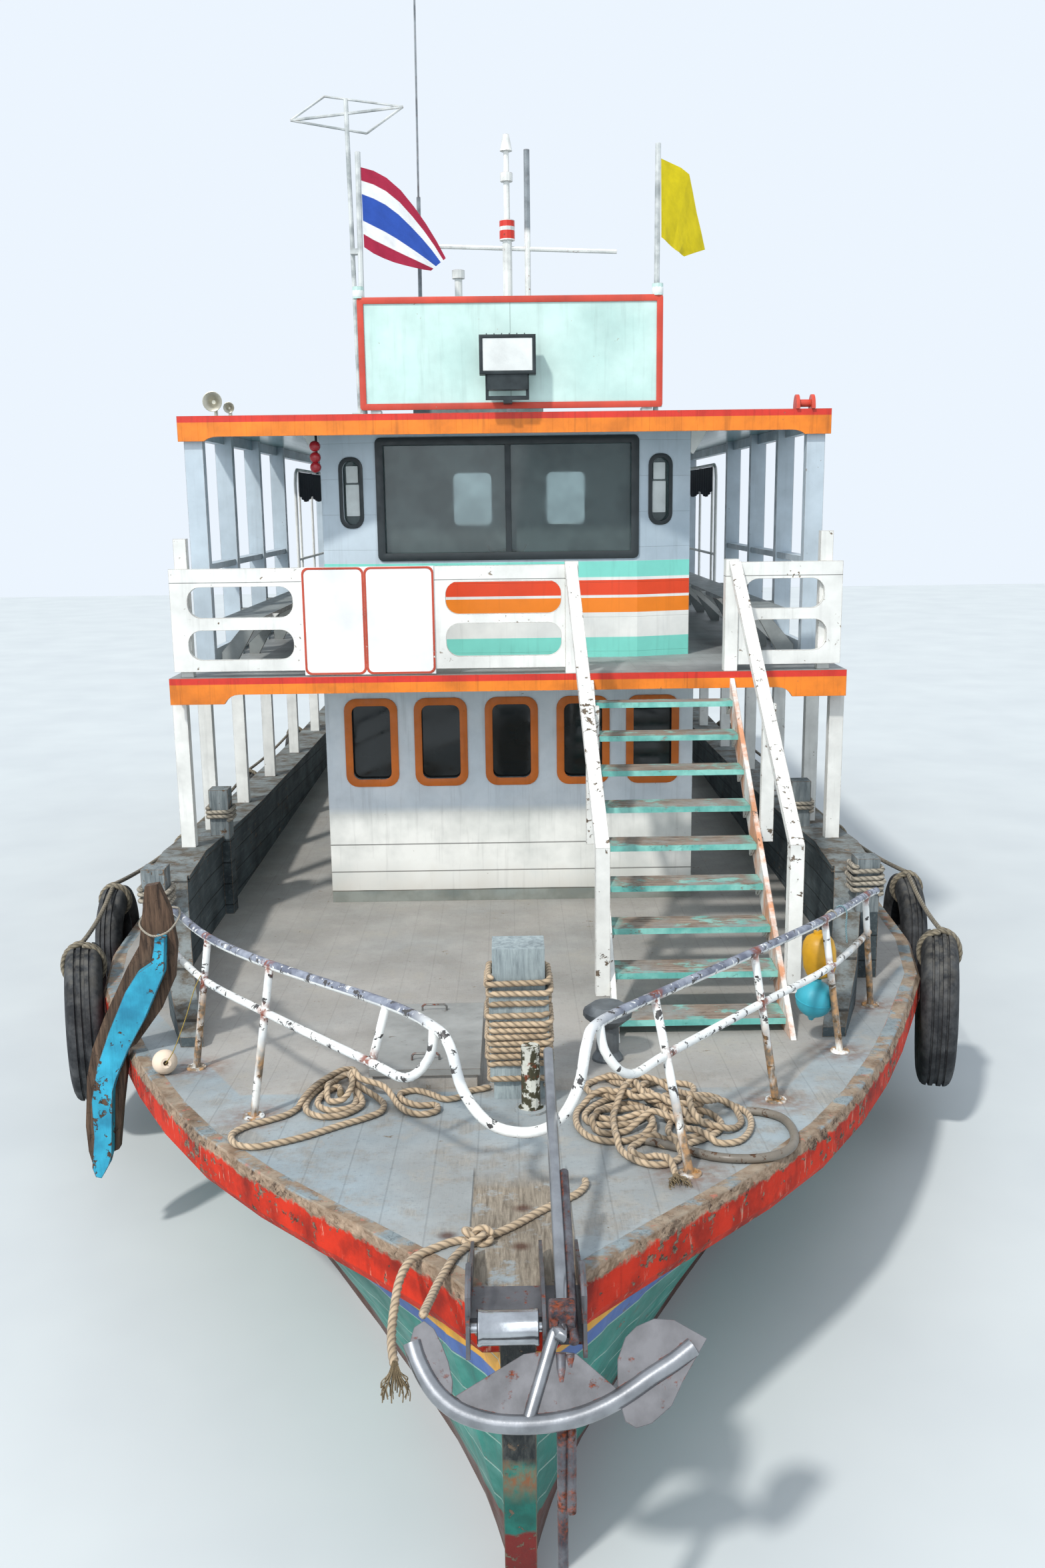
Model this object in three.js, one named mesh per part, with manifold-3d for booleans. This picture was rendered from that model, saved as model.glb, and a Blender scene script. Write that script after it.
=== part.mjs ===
// Two-deck wooden passenger ferry, built as an assembly of separate pieces.
// Millimetres. X to port, Y aft, Z up. The origin is on the waterline, amidships.
import * as THREE from 'three';
import { mergeVertices } from 'three/addons/utils/BufferGeometryUtils.js';
import Module from 'manifold-3d';

const wasm = await Module();
wasm.setup();

// Driving dimensions
const GAP = 0.3;
const BOW_Y = -10450;
const TRANSOM_Y = 10330;
const STRAKE_WIDTH = 120;
const STRAKE_HEIGHT = 260;
const DECK_THICK = 50;
const MAIN_DECK_Z = 1250;
const BOW_SHEER = 450;
const STERN_SHEER = 120;
const SHEER_START_FORWARD = -3600;
const SHEER_START_AFT = 7000;
const KEEL_HALF = 70;
const KEEL_BOTTOM_Z = -1200;
const WATER_BREADTH_Z = 100;

const UPPER_DECK = { half: 2700, front: -4600, aft: 8600, under: 3340, top: 3420 };
const UPPER_FASCIA = { under: 3286, cornerUnder: 3210, cornerWidth: 430, sweep: 120, thick: 40 };
const ROOF = { half: 2640, front: -4050, aft: 7500, under: 5390, top: 5470 };
const ROOF_FASCIA = { under: 5307, cornerUnder: 5272, cornerWidth: 210, sweep: 110, thick: 30 };

const CABIN = { half: 1613, front: -3600, aft: 6000, wall: 60, sideWall: 50 };
const CABIN_WINDOW = { width: 350, low: 2370, high: 3040, radius: 70 };
const WHEELHOUSE = {
  bayHalf: 1130, bayFront: -3485, half: 1600, shoulder: -3330, wall: 60, sideWall: 50, aft: -700,
};
const STAIR = {
  treads: 9, firstNose: -4761, going: 286, rise: 217, left: 678, right: 1765,
  stringer: 38, treadDepth: 262, treadThick: 42,
};
const RAIL = { front: -4565, back: -4515, low: 3468, high: 4277 };
const SIGN = { left: -1160, right: 1270, low: 5500, high: 6360, y: -4000, thick: 40 };

// Hull stations. Columns: distance along, half-breadth of the deck with its strake, keel rabbet
// height, half-breadth just above the water, half-breadth and height that the bilge bends
// towards, hollow of the topside as a share of its spread.
const HULL_STATIONS = [
  { y: BOW_Y, deck: 190, keel: 1150, water: 67, bilge: 68, bilgeZ: 1200, hollow: 0 },
  { y: -10200, deck: 360, keel: 750, water: 80, bilge: 74, bilgeZ: 820, hollow: 0 },
  { y: -10000, deck: 530, keel: 150, water: 85, bilge: 76, bilgeZ: 230, hollow: 0.1 },
  { y: -9800, deck: 700, keel: -100, water: 110, bilge: 85, bilgeZ: 0, hollow: 0.3 },
  { y: -9500, deck: 970, keel: -450, water: 200, bilge: 110, bilgeZ: -150, hollow: 0.3 },
  { y: -9100, deck: 1320, keel: -750, water: 360, bilge: 220, bilgeZ: -250, hollow: 0.3 },
  { y: -8600, deck: 1700, keel: -920, water: 600, bilge: 440, bilgeZ: -350, hollow: 0.3 },
  { y: -8100, deck: 2000, keel: -1000, water: 850, bilge: 720, bilgeZ: -450, hollow: 0.3 },
  { y: -7500, deck: 2310, keel: -1000, water: 1170, bilge: 1080, bilgeZ: -540, hollow: 0.3 },
  { y: -6900, deck: 2580, keel: -1000, water: 1500, bilge: 1450, bilgeZ: -620, hollow: 0.3 },
  { y: -5800, deck: 3030, keel: -1000, water: 2020, bilge: 2050, bilgeZ: -720, hollow: 0.25 },
  { y: -4900, deck: 3220, keel: -1000, water: 2360, bilge: 2420, bilgeZ: -780, hollow: 0.2 },
  { y: -3600, deck: 3300, keel: -1000, water: 2680, bilge: 2800, bilgeZ: -840, hollow: 0.2 },
  { y: -1000, deck: 3320, keel: -1000, water: 2900, bilge: 3050, bilgeZ: -890, hollow: 0.15 },
  { y: 2000, deck: 3320, keel: -1000, water: 2930, bilge: 3080, bilgeZ: -900, hollow: 0.1 },
  { y: 5000, deck: 3280, keel: -1000, water: 2880, bilge: 2980, bilgeZ: -820, hollow: 0.1 },
  { y: 7000, deck: 3180, keel: -750, water: 2740, bilge: 2750, bilgeZ: -520, hollow: 0.1 },
  { y: 8500, deck: 3050, keel: -260, water: 2520, bilge: 2400, bilgeZ: -140, hollow: 0.1 },
  { y: 9500, deck: 2930, keel: -60, water: 2350, bilge: 2100, bilgeZ: -10, hollow: 0.1 },
  { y: TRANSOM_Y, deck: 2800, keel: 60, water: 2250, bilge: 1900, bilgeZ: 90, hollow: 0.1 },
];

// Bulwark stations. Columns: distance along, outer face, width, height of the top.
const BULWARK_STATIONS = [
  { y: -7150, outer: 2130, width: 150, top: 1440 },
  { y: -6500, outer: 2360, width: 180, top: 1640 },
  { y: -5800, outer: 2560, width: 200, top: 1830 },
  { y: -5350, outer: 2680, width: 210, top: 2010 },
  { y: -4600, outer: 2740, width: 230, top: 2010 },
  { y: -3500, outer: 2760, width: 240, top: 1930 },
  { y: -2100, outer: 2760, width: 240, top: 1860 },
  { y: -600, outer: 2760, width: 240, top: 1820 },
  { y: 1100, outer: 2760, width: 240, top: 1770 },
  { y: 3000, outer: 2760, width: 240, top: 1735 },
  { y: 5600, outer: 2760, width: 240, top: 1730 },
  { y: 7300, outer: 2700, width: 240, top: 1745 },
  { y: 8600, outer: 2600, width: 240, top: 1785 },
  { y: 9950, outer: 2480, width: 240, top: 1850 },
];
const CAP_START_Y = -5350;
const CAP_THICK = 50;
const CAP_OUT = 100;
const CAP_IN = 20;

const LOWER_POST_YS = [-4400, -3530, -2110, -580, 1120, 2940, 4700, 6400, 8100];
const UPPER_POST_YS = [-3950, -2770, -1420, 50, 3600, 7200];

// Finishes: colour, roughness, metalness
const FINISH = {
  hullTeal: [0x157a6c, 0.45, 0],
  oldTimber: [0x5a4634, 0.85, 0],
  deckGrey: [0x7e8488, 0.8, 0],
  bulwarkGrey: [0x59636a, 0.8, 0],
  whitePaint: [0xe6e8e6, 0.5, 0],
  paleBlue: [0xb9c9d4, 0.5, 0],
  orangePaint: [0xe8801c, 0.45, 0],
  aquaPaint: [0x58c8b0, 0.5, 0],
  navyCloth: [0x141c30, 0.9, 0],
  rubber: [0x1d1d1f, 0.9, 0],
  glass: [0x10161a, 0.1, 0],
  steel: [0x8a9097, 0.45, 0.8],
  rustySteel: [0x6a4a38, 0.75, 0.6],
  bronze: [0xa07840, 0.35, 0.9],
  cyanPaint: [0x22a8d0, 0.5, 0],
  yellowCloth: [0xf0c010, 0.85, 0],
  redCloth: [0xc02028, 0.85, 0],
  engineGrey: [0x5c6468, 0.6, 0.5],
  varnish: [0x6b3a1c, 0.4, 0],
  rope: [0xb8a284, 0.9, 0],
};

// Geometry helpers

function solid(geometry) {
  const bare = geometry.clone();
  bare.deleteAttribute('normal');
  bare.deleteAttribute('uv');
  const merged = mergeVertices(bare, 1e-3);
  const source = merged.index.array;
  const kept = [];
  for (let i = 0; i < source.length; i += 3) {
    const [a, b, c] = [source[i], source[i + 1], source[i + 2]];
    if (a !== b && b !== c && c !== a) {
      kept.push(a, b, c);
    }
  }
  return new wasm.Manifold(new wasm.Mesh({
    numProp: 3,
    vertProperties: new Float32Array(merged.attributes.position.array),
    triVerts: new Uint32Array(kept),
  }));
}

function join(...solids) {
  return solids.reduce((sum, next) => sum.add(next));
}

function cut(body, ...tools) {
  return tools.reduce((rest, tool) => rest.subtract(tool), body);
}

function box(x0, x1, y0, y1, z0, z1) {
  const geometry = new THREE.BoxGeometry(x1 - x0, y1 - y0, z1 - z0);
  geometry.translate((x0 + x1) / 2, (y0 + y1) / 2, (z0 + z1) / 2);
  return solid(geometry);
}

function outline(points) {
  return new THREE.Shape(points.map(([a, b]) => new THREE.Vector2(a, b)));
}

function roundedShape(a0, a1, b0, b1, radius) {
  const shape = new THREE.Shape();
  shape.moveTo(a0 + radius, b0);
  shape.lineTo(a1 - radius, b0);
  shape.absarc(a1 - radius, b0 + radius, radius, -Math.PI / 2, 0);
  shape.lineTo(a1, b1 - radius);
  shape.absarc(a1 - radius, b1 - radius, radius, 0, Math.PI / 2);
  shape.lineTo(a0 + radius, b1);
  shape.absarc(a0 + radius, b1 - radius, radius, Math.PI / 2, Math.PI);
  shape.lineTo(a0, b0 + radius);
  shape.absarc(a0 + radius, b0 + radius, radius, Math.PI, Math.PI * 1.5);
  return shape;
}

// Extrusions of a flat outline: across the boat (outline in Y and Z), along it (X and Z), and up
const ACROSS = [new THREE.Vector3(0, 1, 0), new THREE.Vector3(0, 0, 1), new THREE.Vector3(1, 0, 0)];
const ALONG = [new THREE.Vector3(1, 0, 0), new THREE.Vector3(0, 0, 1), new THREE.Vector3(0, -1, 0)];

function extruded(shape, low, high, basis, curveSegments = 4) {
  const geometry = new THREE.ExtrudeGeometry(shape, {
    depth: high - low, bevelEnabled: false, curveSegments,
  });
  if (basis) {
    geometry.applyMatrix4(new THREE.Matrix4().makeBasis(...basis));
  }
  if (basis === ALONG) {
    geometry.translate(0, high, 0);
  } else {
    geometry.translate(...(basis ? basis[2].clone().multiplyScalar(low).toArray() : [0, 0, low]));
  }
  return solid(geometry);
}

function rod(from, to, radius, sides = 8, endRadius = radius) {
  const start = new THREE.Vector3(...from);
  const end = new THREE.Vector3(...to);
  const way = end.clone().sub(start);
  const geometry = new THREE.CylinderGeometry(endRadius, radius, way.length(), sides);
  geometry.translate(0, way.length() / 2, 0);
  const up = new THREE.Vector3(0, 1, 0);
  geometry.applyQuaternion(new THREE.Quaternion().setFromUnitVectors(up, way.normalize()));
  geometry.translate(...from);
  return solid(geometry);
}

function ringShape(radius, sides) {
  const points = [];
  for (let i = 0; i < sides; i += 1) {
    const angle = (2 * Math.PI * i) / sides;
    points.push([radius * Math.cos(angle), radius * Math.sin(angle)]);
  }
  return outline(points);
}

// A path through hand-set points, with one section of the pipe at each of them
class PointPath extends THREE.Curve {
  constructor(points) {
    super();
    this.points = points.map((p) => new THREE.Vector3(...p));
  }

  getPoint(share) {
    const place = share * (this.points.length - 1);
    const i = Math.min(Math.floor(place + 1e-6), this.points.length - 2);
    return this.points[i].clone().lerp(this.points[i + 1], place - i);
  }

  getPointAt(share) {
    return this.getPoint(share);
  }

  getTangentAt(share) {
    const last = this.points.length - 1;
    const i = Math.round(share * last);
    const way = (from, to) => this.points[to].clone().sub(this.points[from]).normalize();
    const before = way(Math.max(i - 1, 0), Math.max(i, 1));
    return before.add(way(Math.min(i, last - 1), Math.min(i + 1, last))).normalize();
  }
}

function pipe(points, radius, sides = 8) {
  return solid(new THREE.ExtrudeGeometry(ringShape(radius, sides), {
    steps: points.length - 1, extrudePath: new PointPath(points), bevelEnabled: false,
  }));
}

// A turned body: the profile is a list of [radius, height] from axis to axis
function turned(profile, sides) {
  const points = profile.map(([r, h]) => new THREE.Vector2(r, h));
  const geometry = new THREE.LatheGeometry(points, sides);
  geometry.rotateX(Math.PI / 2);
  return solid(geometry);
}

// A closed body through rings of points, every ring with the same count
function loft(rings) {
  const count = rings[0].length;
  const positions = rings.flat(2);
  const faces = [];
  for (let i = 0; i + 1 < rings.length; i += 1) {
    for (let j = 0; j < count; j += 1) {
      const a = i * count + j;
      const b = i * count + ((j + 1) % count);
      faces.push(a, b, b + count, a, b + count, a + count);
    }
  }
  const last = (rings.length - 1) * count;
  for (const [a, b, c] of capFaces(rings[0])) {
    faces.push(a, c, b);
  }
  for (const [a, b, c] of capFaces(rings[rings.length - 1])) {
    faces.push(last + a, last + b, last + c);
  }
  const geometry = new THREE.BufferGeometry();
  geometry.setAttribute('position', new THREE.Float32BufferAttribute(positions, 3));
  geometry.setIndex(faces);
  if (signedVolume(positions, faces) < 0) {
    geometry.setIndex(faces.slice().reverse());
  }
  return solid(geometry);
}

// Triangles over a ring that stands across the boat, turning the same way as the ring
function capFaces(ring) {
  const flat = ring.map(([x, , z]) => new THREE.Vector2(x, z));
  const faces = THREE.ShapeUtils.triangulateShape(flat.slice(), []);
  const covered = faces.reduce((sum, face) => (
    sum + THREE.ShapeUtils.area(face.map((i) => flat[i]))), 0);
  const same = covered * THREE.ShapeUtils.area(flat) > 0;
  return same ? faces : faces.map(([a, b, c]) => [a, c, b]);
}

function signedVolume(positions, faces) {
  const corner = (i) => new THREE.Vector3(...positions.slice(3 * i, 3 * i + 3));
  let total = 0;
  for (let i = 0; i < faces.length; i += 3) {
    total += corner(faces[i]).dot(corner(faces[i + 1]).cross(corner(faces[i + 2])));
  }
  return total / 6;
}

const ferry = new THREE.Group();

function piece(name, body, [color, roughness, metalness]) {
  const mesh = body.getMesh();
  const geometry = new THREE.BufferGeometry();
  geometry.setAttribute('position', new THREE.Float32BufferAttribute(mesh.vertProperties, 3));
  geometry.setIndex(Array.from(mesh.triVerts));
  geometry.computeVertexNormals();
  const node = new THREE.Mesh(geometry, new THREE.MeshStandardMaterial({
    color, roughness, metalness,
  }));
  node.name = name;
  ferry.add(node);
}

function mirrored(body) {
  return body.mirror([1, 0, 0]);
}

// Hull lines

function sheer(y) {
  if (y < SHEER_START_FORWARD) {
    const share = (SHEER_START_FORWARD - y) / (SHEER_START_FORWARD + 10400);
    return MAIN_DECK_Z + BOW_SHEER * share * share;
  }
  if (y > SHEER_START_AFT) {
    const share = (y - SHEER_START_AFT) / (10450 - SHEER_START_AFT);
    return MAIN_DECK_Z + STERN_SHEER * share * share;
  }
  return MAIN_DECK_Z;
}

function between(stations, y, key) {
  for (let i = 0; i + 1 < stations.length; i += 1) {
    const [a, b] = [stations[i], stations[i + 1]];
    if (y >= a.y && y <= b.y) {
      return a[key] + ((b[key] - a[key]) * (y - a.y)) / (b.y - a.y);
    }
  }
  return y < stations[0].y ? stations[0][key] : stations[stations.length - 1][key];
}

const DECK_LINE = HULL_STATIONS.map(({ y }) => ({ y, z: sheer(y) }));

function deckZ(y) {
  return between(DECK_LINE, y, 'z');
}

function bend(start, middle, end, share) {
  const back = 1 - share;
  return back * back * start + 2 * share * back * middle + share * share * end;
}

function hullRing(s) {
  const top = { x: s.deck - STRAKE_WIDTH - 1, z: sheer(s.y) - DECK_THICK - GAP };
  const water = { x: s.water, z: Math.max(WATER_BREADTH_Z, s.keel + 150) };
  const side = [];
  for (let i = 0; i < 5; i += 1) {
    side.push([bend(KEEL_HALF, s.bilge, water.x, i / 5), bend(s.keel, s.bilgeZ, water.z, i / 5)]);
  }
  const hollowX = (top.x + water.x) / 2 - ((top.x - water.x) * s.hollow) / 2;
  for (let i = 0; i <= 4; i += 1) {
    side.push([bend(water.x, hollowX, top.x, i / 4), bend(water.z, (water.z + top.z) / 2, top.z, i / 4)]);
  }
  const port = side.map(([x, z]) => [x, s.y, z]);
  const starboard = side.map(([x, z]) => [-x, s.y, z]).reverse();
  return [...port, ...starboard];
}

function bandRing(y, x0, x1, z0, z1) {
  return [[x0, y, z0], [x1, y, z0], [x1, y, z1], [x0, y, z1]];
}

// Everything below the deck's top face, to trim what stands on the deck
const UNDER_DECK = loft(DECK_LINE.map(({ y, z }, i) => {
  const reach = i === 0 ? y - 1500 : y;
  return bandRing(reach, -5000, 5000, -3000, z + GAP);
}));

function onDeck(body) {
  return cut(body, UNDER_DECK);
}

function onRoof(body) {
  return cut(body, box(-4000, 4000, -6000, 9000, 0, ROOF.top));
}

// Hull, keel, strake, engine and deck

const HATCH = { left: -820, right: -215, front: -7960, back: -6720, wall: 45, rim: 85 };
const LOCKER_FLOOR_Z = 800;
const ENGINE = { half: 420, front: 3000, aft: 4700, low: -600, high: 500, room: 180 };

function hatchHole(low, high) {
  return box(HATCH.left + HATCH.wall, HATCH.right - HATCH.wall,
    HATCH.front + HATCH.wall, HATCH.back - HATCH.wall, low, high);
}

const hullShell = loft(HULL_STATIONS.map(hullRing));
const engineRoom = box(-ENGINE.half - ENGINE.room, ENGINE.half + ENGINE.room,
  ENGINE.front - ENGINE.room, ENGINE.aft + ENGINE.room, ENGINE.low, 2000);
piece('hull', cut(hullShell, engineRoom, hatchHole(LOCKER_FLOOR_Z, 2000)), FINISH.hullTeal);
piece('engine_block', box(-ENGINE.half, ENGINE.half, ENGINE.front, ENGINE.aft, ENGINE.low, ENGINE.high),
  FINISH.engineGrey);

const SHAFT = { z: -700, bossFront: 8150, bossAft: 8330, bossRadius: 95, deadwoodAft: 8250 };
const SHOE = { top: -1080, aft: 9850 };
const STEM_HEAD = { front: -10600, top: 1700 };

function keelTimber() {
  const rabbet = HULL_STATIONS.filter(({ y }) => y < SHAFT.deadwoodAft)
    .map(({ y, keel }) => [y - GAP, keel - GAP]);
  const rabbetEnd = between(HULL_STATIONS, SHAFT.deadwoodAft, 'keel') - GAP;
  const forefoot = [
    [-8100, -1180], [-8650, -1090], [-9200, -900], [-9650, -560], [-9970, -160], [-10160, 150],
    [-10350, 750], [STEM_HEAD.front, STEM_HEAD.top],
  ];
  const profile = outline([
    [BOW_Y - GAP, STEM_HEAD.top], ...rabbet, [SHAFT.deadwoodAft, rabbetEnd],
    [SHAFT.deadwoodAft, SHOE.top], [SHOE.aft, SHOE.top], [SHOE.aft, KEEL_BOTTOM_Z],
    [-7500, KEEL_BOTTOM_Z], ...forefoot,
  ]);
  const boss = rod([0, SHAFT.bossFront, SHAFT.z], [0, SHAFT.bossAft, SHAFT.z], SHAFT.bossRadius, 16);
  return join(extruded(profile, -KEEL_HALF, KEEL_HALF, ACROSS), boss);
}
piece('keel_and_stem', keelTimber(), FINISH.hullTeal);

function strakeRing(inner, outer, top) {
  const across = (share) => [
    inner[0] + (outer[0] - inner[0]) * share, inner[1] + (outer[1] - inner[1]) * share,
  ];
  return [
    [...across(0), top - STRAKE_HEIGHT], [...across(0.6), top - STRAKE_HEIGHT],
    [...across(1), top - STRAKE_HEIGHT + 60], [...across(1), top - 45],
    [...across(0.75), top], [...across(0), top],
  ];
}

function rubbingStrake() {
  const side = HULL_STATIONS.filter(({ y }) => y < TRANSOM_Y)
    .map(({ y, deck }) => strakeRing([deck - STRAKE_WIDTH, y], [deck, y], sheer(y)));
  const { deck } = HULL_STATIONS[HULL_STATIONS.length - 1];
  side.push(strakeRing([deck - STRAKE_WIDTH, TRANSOM_Y + GAP],
    [deck, TRANSOM_Y + STRAKE_WIDTH], sheer(TRANSOM_Y)));
  const otherSide = side.map((ring) => ring.map(([x, y, z]) => [-x, y, z])).reverse();
  return loft([...side, ...otherSide]);
}
piece('rubbing_strake', rubbingStrake(), FINISH.oldTimber);

const PIPE_STUB = { x: 90, y: -8340, radius: 52, height: 380 };

function mainDeck() {
  const plate = loft(HULL_STATIONS.map(({ y, deck }) => {
    const half = deck - STRAKE_WIDTH - GAP;
    return bandRing(y, -half, half, sheer(y) - DECK_THICK, sheer(y));
  }));
  const coaming = loft([HATCH.front, HATCH.back].map((y) => (
    bandRing(y, HATCH.left, HATCH.right, deckZ(y) - 25, deckZ(y) + HATCH.rim))));
  const foot = deckZ(PIPE_STUB.y);
  const stub = rod([PIPE_STUB.x, PIPE_STUB.y, foot - 30],
    [PIPE_STUB.x, PIPE_STUB.y, foot + PIPE_STUB.height], PIPE_STUB.radius, 12);
  const flange = rod([PIPE_STUB.x, PIPE_STUB.y, foot - 30], [PIPE_STUB.x, PIPE_STUB.y, foot + 18], 90, 12);
  return cut(join(plate, coaming, stub, flange), hatchHole(1000, 3000));
}
piece('main_deck', mainDeck(), FINISH.deckGrey);

// The lid follows the coaming's slope and hinges on its outboard long edge
const LID = { thick: 40, lip: 20 };

function hatchLid() {
  const base = HATCH.rim + GAP;
  const slope = (deckZ(HATCH.back) - deckZ(HATCH.front)) / (HATCH.back - HATCH.front);
  const low = (y) => deckZ(HATCH.front) + slope * (y - HATCH.front) + base;
  return loft([HATCH.front - LID.lip, HATCH.back + LID.lip].map((y) => (
    bandRing(y, HATCH.left - LID.lip, HATCH.right + LID.lip, low(y), low(y) + LID.thick))));
}
piece('hatch_lid', hatchLid(), FINISH.deckGrey);

// Bulwarks with their cap and two bitts a side

function bulwarkTop(y) {
  return between(BULWARK_STATIONS, y, 'top');
}

const BITTS = [
  { x0: 2440, x1: 2605, y0: -3905, y1: -3735, top: 2365 },
  { x0: 2500, x1: 2670, y0: -5885, y1: -5715, top: 2205 },
];

function bulwarkSide() {
  const wall = loft(BULWARK_STATIONS.map(({ y, outer, width, top }) => (
    bandRing(y, outer - width, outer, deckZ(y) - 100, top))));
  const cap = loft(BULWARK_STATIONS.filter(({ y }) => y >= CAP_START_Y)
    .map(({ y, outer, width, top }) => (
      bandRing(y, outer - width - CAP_IN, outer + CAP_OUT, top - CAP_THICK, top))));
  const bitts = BITTS.map(({ x0, x1, y0, y1, top }) => box(x0, x1, y0, y1, 1200, top));
  return join(wall, cap, ...bitts);
}

function sternBulwark() {
  const { outer, top } = BULWARK_STATIONS[BULWARK_STATIONS.length - 1];
  const clear = 0.3;
  return join(
    box(-outer, outer, 9950 + clear, 10120, 1200, top),
    box(-outer - CAP_OUT, outer + CAP_OUT, 9950 + clear, 10150, top - CAP_THICK, top));
}

piece('bulwark_port', onDeck(bulwarkSide()), FINISH.bulwarkGrey);
piece('bulwark_starboard', onDeck(mirrored(bulwarkSide())), FINISH.bulwarkGrey);
piece('stern_bulwark', onDeck(sternBulwark()), FINISH.bulwarkGrey);

// Propeller and rudder

const PROPELLER = { y: 8440, radius: 320, hub: 75, blades: 3 };

function propeller() {
  const start = SHAFT.bossAft + 0.5;
  const hub = turned([[0, 0], [PROPELLER.hub, 0], [PROPELLER.hub, 150], [40, 230], [0, 250]], 16);
  const body = hub.rotate([-90, 0, 0]).translate([0, start, SHAFT.z]);
  const blade = new THREE.Shape();
  blade.moveTo(-45, 40);
  blade.bezierCurveTo(-150, 150, -130, 330, 0, PROPELLER.radius);
  blade.bezierCurveTo(130, 330, 150, 150, 45, 40);
  const leaf = extruded(blade, -9, 9, ALONG, 6);
  const blades = [];
  for (let i = 0; i < PROPELLER.blades; i += 1) {
    blades.push(leaf.rotate([0, 0, 32]).rotate([0, (360 * i) / PROPELLER.blades, 0])
      .translate([0, PROPELLER.y, SHAFT.z]));
  }
  return join(body, ...blades);
}
piece('propeller', propeller(), FINISH.bronze);

const RUDDER = { stockY: 9300, stockRadius: 38, lead: 120, length: 620, low: -1040, high: -200, top: -115 };

function rudder() {
  const nose = RUDDER.stockY - RUDDER.lead;
  const foil = outline([
    [0, nose], [28, nose + 60], [32, RUDDER.stockY], [22, RUDDER.stockY + 250],
    [6, nose + RUDDER.length], [-6, nose + RUDDER.length], [-22, RUDDER.stockY + 250],
    [-32, RUDDER.stockY], [-28, nose + 60],
  ]);
  const stock = rod([0, RUDDER.stockY, SHOE.top + 0.5], [0, RUDDER.stockY, RUDDER.top],
    RUDDER.stockRadius, 16);
  return join(extruded(foil, RUDDER.low, RUDDER.high), stock);
}
piece('rudder', rudder(), FINISH.rustySteel);

// Foredeck fittings

piece('sampson_post', onDeck(join(
  box(-115, 178, -8150, -7920, 1300, 2340),
  box(-135, 198, -8170, -7900, 1560, 2100))), FINISH.oldTimber);

function mushroomBollard() {
  const [x, y] = [575, -7500];
  const foot = deckZ(y);
  const stem = turned([[0, -60], [95, -60], [95, 20], [70, 60], [70, 220], [150, 290], [150, 320],
    [100, 358], [0, 360]], 16);
  return onDeck(stem.translate([x, y, foot]));
}
piece('mushroom_bollard', mushroomBollard(), FINISH.bulwarkGrey);

// Pulpit rail. Top rail and mid rail points run from the aft starboard end round the bow.
const PIPE = { radius: 25, mid: 22, foot: 60 };
const TOP_RAIL = [
  [-2200, -6840, 2200], [-1820, -7540, 2235], [-1300, -8370, 2350], [-620, -9090, 2400],
  [-360, -9480, 2430], [-285, -9570, 2370], [-230, -9610, 2180], [-110, -9640, 2030],
  [60, -9650, 1990], [200, -9630, 2040], [290, -9600, 2190], [330, -9550, 2370],
  [390, -9460, 2430], [690, -9030, 2390], [1320, -8250, 2335], [1900, -7430, 2250],
  [2395, -6515, 2120], [2530, -6300, 2090],
];
const MID_RAIL_STARBOARD = [
  [-2230, -6800, 1900], [-1850, -7540, 1960], [-1340, -8370, 2080], [-700, -9160, 2130],
  [-500, -9420, 2160], [-385, -9500, 2290], [-362, -9484, 2425],
];
const MID_RAIL_PORT = [
  [2480, -6330, 1800], [1950, -7430, 1950], [1370, -8250, 2040], [760, -9070, 2110],
  [540, -9400, 2150], [420, -9480, 2290], [392, -9464, 2425],
];
const STANCHIONS = [
  { top: [-1820, -7540, 2235], foot: [-1940, -7540] },
  { top: [-1300, -8370, 2350], foot: [-1432, -8373] },
  { top: [690, -9030, 2390], foot: [843, -9255] },
  { top: [1320, -8250, 2335], foot: [1462, -8250] },
  { top: [1900, -7430, 2250], foot: [2025, -7427] },
  { top: [2395, -6515, 2120], foot: [2462, -6515] },
];

function pulpitRail() {
  const parts = [
    pipe(TOP_RAIL, PIPE.radius), pipe(MID_RAIL_STARBOARD, PIPE.mid, 6), pipe(MID_RAIL_PORT, PIPE.mid, 6),
  ];
  for (const { top, foot: [x, y] } of STANCHIONS) {
    parts.push(rod([x, y, deckZ(y) - 40], top, PIPE.mid));
    parts.push(rod([x, y, deckZ(y) - 40], [x, y, deckZ(y) + 12], PIPE.foot, 8));
  }
  return onDeck(join(...parts));
}
piece('pulpit_rail', pulpitRail(), FINISH.whitePaint);

// Bow roller between the cheeks of a plate frame that sits on the stem head
const ROLLER = { x0: -150, x1: 80, y: -10730, z: 1745, radius: 66 };
const CHEEKS = { left: -190, right: 255, thick: 14, front: -10840, aft: -10120, low: 1710, clear: 8 };

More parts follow.
